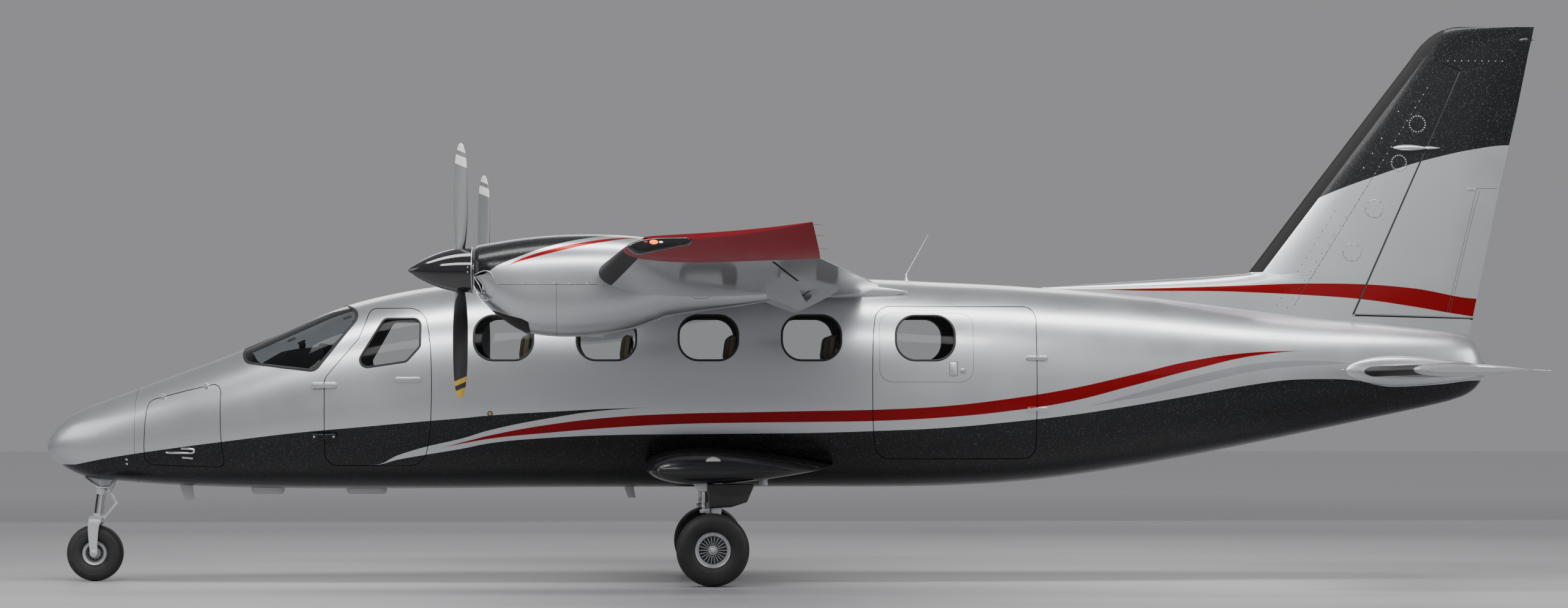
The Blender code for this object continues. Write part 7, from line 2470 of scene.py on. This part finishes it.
def make_tail_fittings(m, skin, fin_skin):
    """Inspection covers, blisters, seams and rivets of the fin, the root fairings, wicks and tail light."""
    blisters = []
    for side, label in SIDES:
        covers, seams, rivets, bright = [], [], [], []
        for x, z, radius in ((10.50, 2.945, 0.073), (10.32, 2.60, 0.073), (10.70, 3.31, 0.066), (10.85, 3.62, 0.070)):
            p, n = fin_skin.side_point(x, z, side)
            covers.append(lathe("cover", p, n, [(-0.003, radius), (0.0006, radius), (0.0012, radius - 0.0012)], 48))
            u, v = frame_of(n)
            round_it = [(p + (u * cos(a) + v * sin(a)) * (radius + 0.001), n) for a in [pi * k / 30 for k in range(60)]]
            seams.append(strip("seam", round_it, SEAM))
            heads, count = (bright, 20) if z > 3.2 else (rivets, 8)
            for a in turns(count):
                heads.append((p + (u * cos(a) + v * sin(a)) * (radius - 0.007) + n * 0.001, n))
        piece(merge("covers", covers), f"fin_covers_{label}", finish=m["fin"], angle=25)
        for start, end, gap in (((9.86, 2.18), (10.965, 3.96), 0.060), ((9.72, 2.18), (10.22, 2.98), 0.062),
                                ((9.80, 2.16), (10.32, 2.95), 0.085)):
            length_x, length_z = end[0] - start[0], end[1] - start[1]
            count = int(sqrt(length_x ** 2 + length_z ** 2) / gap)
            for k in range(count):
                t = k / count
                rivets.append(fin_skin.side_point(start[0] + length_x * t, start[1] + length_z * t, side))
        rivets += [fin_skin.side_point(11.10 + 0.055 * k, 4.125, side) for k in range(9)]
        for x, z in ((10.42, 3.27), (10.49, 3.385), (10.565, 3.505), (10.70, 3.72)):
            bright.append(fin_skin.side_point(x, z, side))
        pale = [r for r in rivets if r[0].z > interpolate(FIN_BLACK, r[0].x + REFERENCE_STATION, 1)]
        dull = [r for r in rivets if r[0].z <= interpolate(FIN_BLACK, r[0].x + REFERENCE_STATION, 1)]
        piece(studs("rivets", pale, 0.0042, 0.0010, 8), f"fin_rivets_{label}", finish=m["grey"], angle=60)
        piece(studs("rivets", dull, 0.0042, 0.0010, 8), f"fin_lower_rivets_{label}", finish=m["dark"],
              angle=60)
        piece(studs("bright", bright, 0.0050, 0.0012, 8), f"fin_screws_{label}", finish=m["chrome"],
              angle=60)
        for path in (((9.86, 2.18), (10.965, 3.96)), ((10.815, 4.135), (11.00, 4.150))):
            seams.append(strip_on("seam", fin_skin, dense(path, 0.05, False), side, SEAM, closed=False))
        piece(merge("seams", seams), f"fin_seams_{label}", finish=m["dark"])
        for x, size in ((10.800, (0.30, 0.052, 0.030)), (10.955, (0.16, 0.026, 0.016))):
            p, n = fin_skin.side_point(x, 3.430, side)
            blisters.append(spindle("blister", p, Vector((1, 0, -0.01)), n, *size))
        tab = dense(((11.50, 3.11), (11.335, 3.11), (11.325, 3.09), (11.09, 2.125)), 0.04, False)
        inner = [(x + 0.022, z - 0.022 if z > 3.0 else z) for x, z in tab]
        lines = [strip_on("line", fin_skin, path, side, SEAM, closed=False) for path in (tab, inner[4:])]
        piece(merge("lines", lines), f"rudder_tab_lines_{label}", "rudder", finish=m["dark"])
        horn = plate("horn", fin_skin.side_point(11.285, 3.105, side), AFT, 0.060, 0.018, 0.008)
        piece(horn, f"rudder_tab_horn_{label}", "rudder", finish=m["fin"], angle=40)
        p, n = fin_skin.side_point(11.735, 4.295, side)
        tip = spindle("tip", p, Vector((1, 0, 0.0)), n, 0.12, 0.036, 0.014)
        piece(tip, f"rudder_wick_fairing_{label}", "rudder", finish=m["gloss_black"], angle=50)
    piece(merge("blisters", blisters), "fin_blisters", finish=m["silver"], angle=50)
    wick = rod("wick", at(11.775, 0.0, 4.298), at(11.925, 0.0, 4.285), 0.0028, 0.0014, 10)
    piece(wick, "rudder_wick", "rudder", finish=m["steel"])

    outline = ((10.215, 0.000, 0.000), (10.235, 0.028, 0.010), (10.28, 0.056, 0.022), (10.36, 0.086, 0.034),
               (10.48, 0.108, 0.044), (10.62, 0.117, 0.050), (10.78, 0.114, 0.052), (10.94, 0.103, 0.050),
               (11.08, 0.088, 0.045), (11.20, 0.072, 0.036), (11.29, 0.058, 0.024), (11.345, 0.046, 0.012))
    for side, label in SIDES:
        rings = []
        for station in even(10.215, 11.345, 0.03):
            half, swell = interpolate(outline, station, 1) + 0.001, interpolate(outline, station, 2) + 0.001
            middle = skin_y(station, 1.655) - 0.006
            ring = []
            for a in turns(32):
                reach = swell * power_curve(cos(a), 2.2) if cos(a) > 0 else 0.030 * cos(a)
                ring.append(at(station, side * (middle + reach), 1.655 + half * power_curve(sin(a), 2.0)))
            rings.append(ring)
        piece(loft("fairing", rings), f"tailplane_fairing_{label}", finish=m["silver"], angle=60)
        p, n = skin.side_point(10.20, 1.66, side)
        piece(screw((p, n), 0.009, 0.003), f"tailplane_fairing_screw_{label}", finish=m["chrome"],
              angle=50)
        wick = rod("wick", at(11.285, side * 2.425, 1.648), at(11.43, side * 2.425, 1.642), 0.0026, 0.0013, 10)
        piece(wick, f"tailplane_wick_{label}", finish=m["steel"])
    p = at(11.352, 0.0, 1.598)
    ring = lathe("ring", p, Vector((1, 0, -0.25)), [(-0.02, 0.026), (0.012, 0.026), (0.017, 0.023), (0.016, 0.019)], 32)
    piece(ring, "tail_light_ring", finish=m["chrome"], angle=40)
    lens = lathe("lens", p, Vector((1, 0, -0.25)), [(0.0, 0.0185), (0.016, 0.0185), (0.023, 0.014), (0.027, 0.006)], 32)
    piece(lens, "tail_light_lens", finish=m["lens"], angle=60)


def make_flap_brackets(m):
    """Thin brackets at the flap hinges: a pair on the wing with a single one on the flap between them."""
    for side, label in SIDES:
        for i, span in enumerate((1.72, 2.86)):
            hinge_point, radius = hinge_on(WING_RIBS, WING_CAMBER, span, FLAP_HINGE, side)
            x, z = hinge_point.x + REFERENCE_STATION, hinge_point.z
            foot = z - radius - 0.140
            fixed = ((x - 0.32, z - radius * 0.6), (x - 0.105, z - radius * 0.6), (x - 0.030, foot + 0.05),
                     (x - 0.050, foot + 0.004), (x - 0.080, foot), (x - 0.120, foot + 0.012),
                     (x - 0.32, z - radius - 0.050))
            moving = ((x + 0.072, z - radius * 0.2), (x + 0.20, z - radius * 0.1), (x + 0.20, z - radius - 0.004),
                      (x + 0.085, foot + 0.075), (x - 0.046, foot + 0.010), (x - 0.060, foot + 0.018),
                      (x - 0.012, foot + 0.065), (x + 0.045, foot + 0.120))
            plates = []
            for y in (side * span - 0.015, side * span + 0.015):
                plates.append(side_prism("bracket", anticlockwise(fixed), y - 0.003, y + 0.003))
            piece(merge("brackets", plates), f"flap_bracket_{label}_{i}", finish=m["silver"])
            arm = side_prism("arm", anticlockwise(moving), side * span - 0.004, side * span + 0.004)
            piece(arm, f"flap_arm_{label}_{i}", f"flap_{label}", finish=m["silver"])


def make_root_fillets(m, skin):
    """Slender fillets that carry the wing root aft along the skin."""
    fillets = []
    for side, _ in SIDES:
        p, n = skin.side_point(6.24, 2.262, side)
        fillets.append(spindle("fillet", p, Vector((1, 0, 0.012)), n, 1.04, 0.120, 0.085, 0.8, 32))
    piece(merge("fillets", fillets), "wing_root_fillets", finish=m["silver"], angle=60)


def make_details(m, skin, fin_skin):
    make_door_fittings(m, skin)
    make_skin_fittings(m, skin)
    make_tail_fittings(m, skin, fin_skin)
    make_flap_brackets(m)
    make_root_fillets(m, skin)


# Floor, light and camera


def make_stage():
    corners = [(-90, -90, 0), (90, -90, 0), (90, 90, 0), (-90, 90, 0)]
    floor = mesh_object("studio_floor", corners, [(0, 1, 2, 3)])
    paint = Paint("studio_floor_paint", (0.42, 0.42, 0.43), 0.45)
    streaks = paint.noise(0.7, 4.0, 0.55, paint.stretched(0.25, 1.6, 1.0))
    grain = paint.noise(60.0, 2.0, 0.5)
    reach = paint.math("SQRT", paint.math("ADD", paint.both(paint.x, paint.x), paint.both(paint.y, paint.y)))
    near = paint.mix(streaks, (0.32, 0.32, 0.33), (0.40, 0.40, 0.41))
    # Darker streaked grey within 9 m of the middle, blending to pale grey by 34 m: the pale far floor is painted light
    # where the lamps' light fades toward the horizon
    far_painted_light = paint.spread(reach, 0.0, 1.0, 9.0, 34.0)
    paint.set(base_color=paint.mix(far_painted_light, near, (0.84, 0.84, 0.85)), roughness=paint.spread(streaks, 0.36, 0.54))
    paint.bump(grain, 0.0006, 0.3)
    finish_with(floor, paint.material)
    floor.location.z = -0.0005

    world = bpy.data.worlds.new("studio")
    bpy.context.scene.world = world
    world.use_nodes = True
    backdrop = world.node_tree.nodes["Background"]
    backdrop.inputs["Color"].default_value = (0.62, 0.62, 0.64, 1.0)
    backdrop.inputs["Strength"].default_value = 0.46

    softboxes = (
        ("overhead", (0.0, -3.0, 8.2), (0.0, 0.0, 1.6), 16.0, 2.0, 1150),
        ("left_key", (-2.5, -11.0, 7.8), (-0.5, 0.0, 1.6), 14.0, 2.0, 950),
        ("left_fill", (-1.0, -17.0, 3.6), (-0.5, 0.0, 2.0), 24.0, 7.0, 12),
        ("fin_fill", (8.5, -17.0, 4.8), (4.9, 0.0, 3.1), 6.0, 5.0, 70),
        ("rear_rim", (1.0, 10.0, 6.5), (0.0, 0.0, 2.0), 14.0, 4.0, 420),
        ("right_fill", (-1.0, 17.0, 3.6), (-0.5, 0.0, 2.0), 24.0, 7.0, 70),
        ("nose_fill", (-12.0, -3.0, 4.5), (-3.0, 0.0, 1.5), 5.0, 5.0, 150),
        ("tail_fill", (13.0, -4.0, 5.0), (4.0, 0.0, 2.0), 5.0, 5.0, 300),
    )
    for name, place, aim, width, height, power in softboxes:
        lamp = bpy.data.lights.new(name, "AREA")
        lamp.shape = "RECTANGLE"
        lamp.size = width
        lamp.size_y = height
        lamp.energy = power
        thing = bpy.data.objects.new(name, lamp)
        thing.location = place
        thing.rotation_euler = (Vector(aim) - Vector(place)).to_track_quat("-Z", "Y").to_euler()
        thing.visible_camera = False
        thing.visible_transmission = False
        bpy.context.scene.collection.objects.link(thing)


def make_camera():
    lens = bpy.data.cameras.new("camera")
    lens.lens = 101.4
    lens.sensor_width = 36.0
    lens.clip_end = 300.0
    camera = bpy.data.objects.new("camera", lens)
    place = Vector((-1.191, -35.0, 1.415))
    camera.location = place
    camera.rotation_euler = (Vector((-0.092, 0.0, 2.186)) - place).to_track_quat("-Z", "Y").to_euler()
    bpy.context.scene.collection.objects.link(camera)
    bpy.context.scene.camera = camera


def main():
    m = make_finishes()
    nose_tip = [0.0004, 0.002, 0.006, 0.014, 0.03, 0.055, 0.085]
    fuselage_skin = Skin(fuselage_rings(nose_tip + even(0.12, TAIL_CAP_START, 0.05)))
    make_fuselage(m, fuselage_skin)
    make_glazing(m, fuselage_skin)
    make_wing(m)
    fin_skin = make_tail(m)
    make_nacelles(m)
    make_main_gear(m)
    make_nose_gear(m)
    make_interior(m)
    make_details(m, fuselage_skin, fin_skin)
    make_stage()
    make_camera()


main()
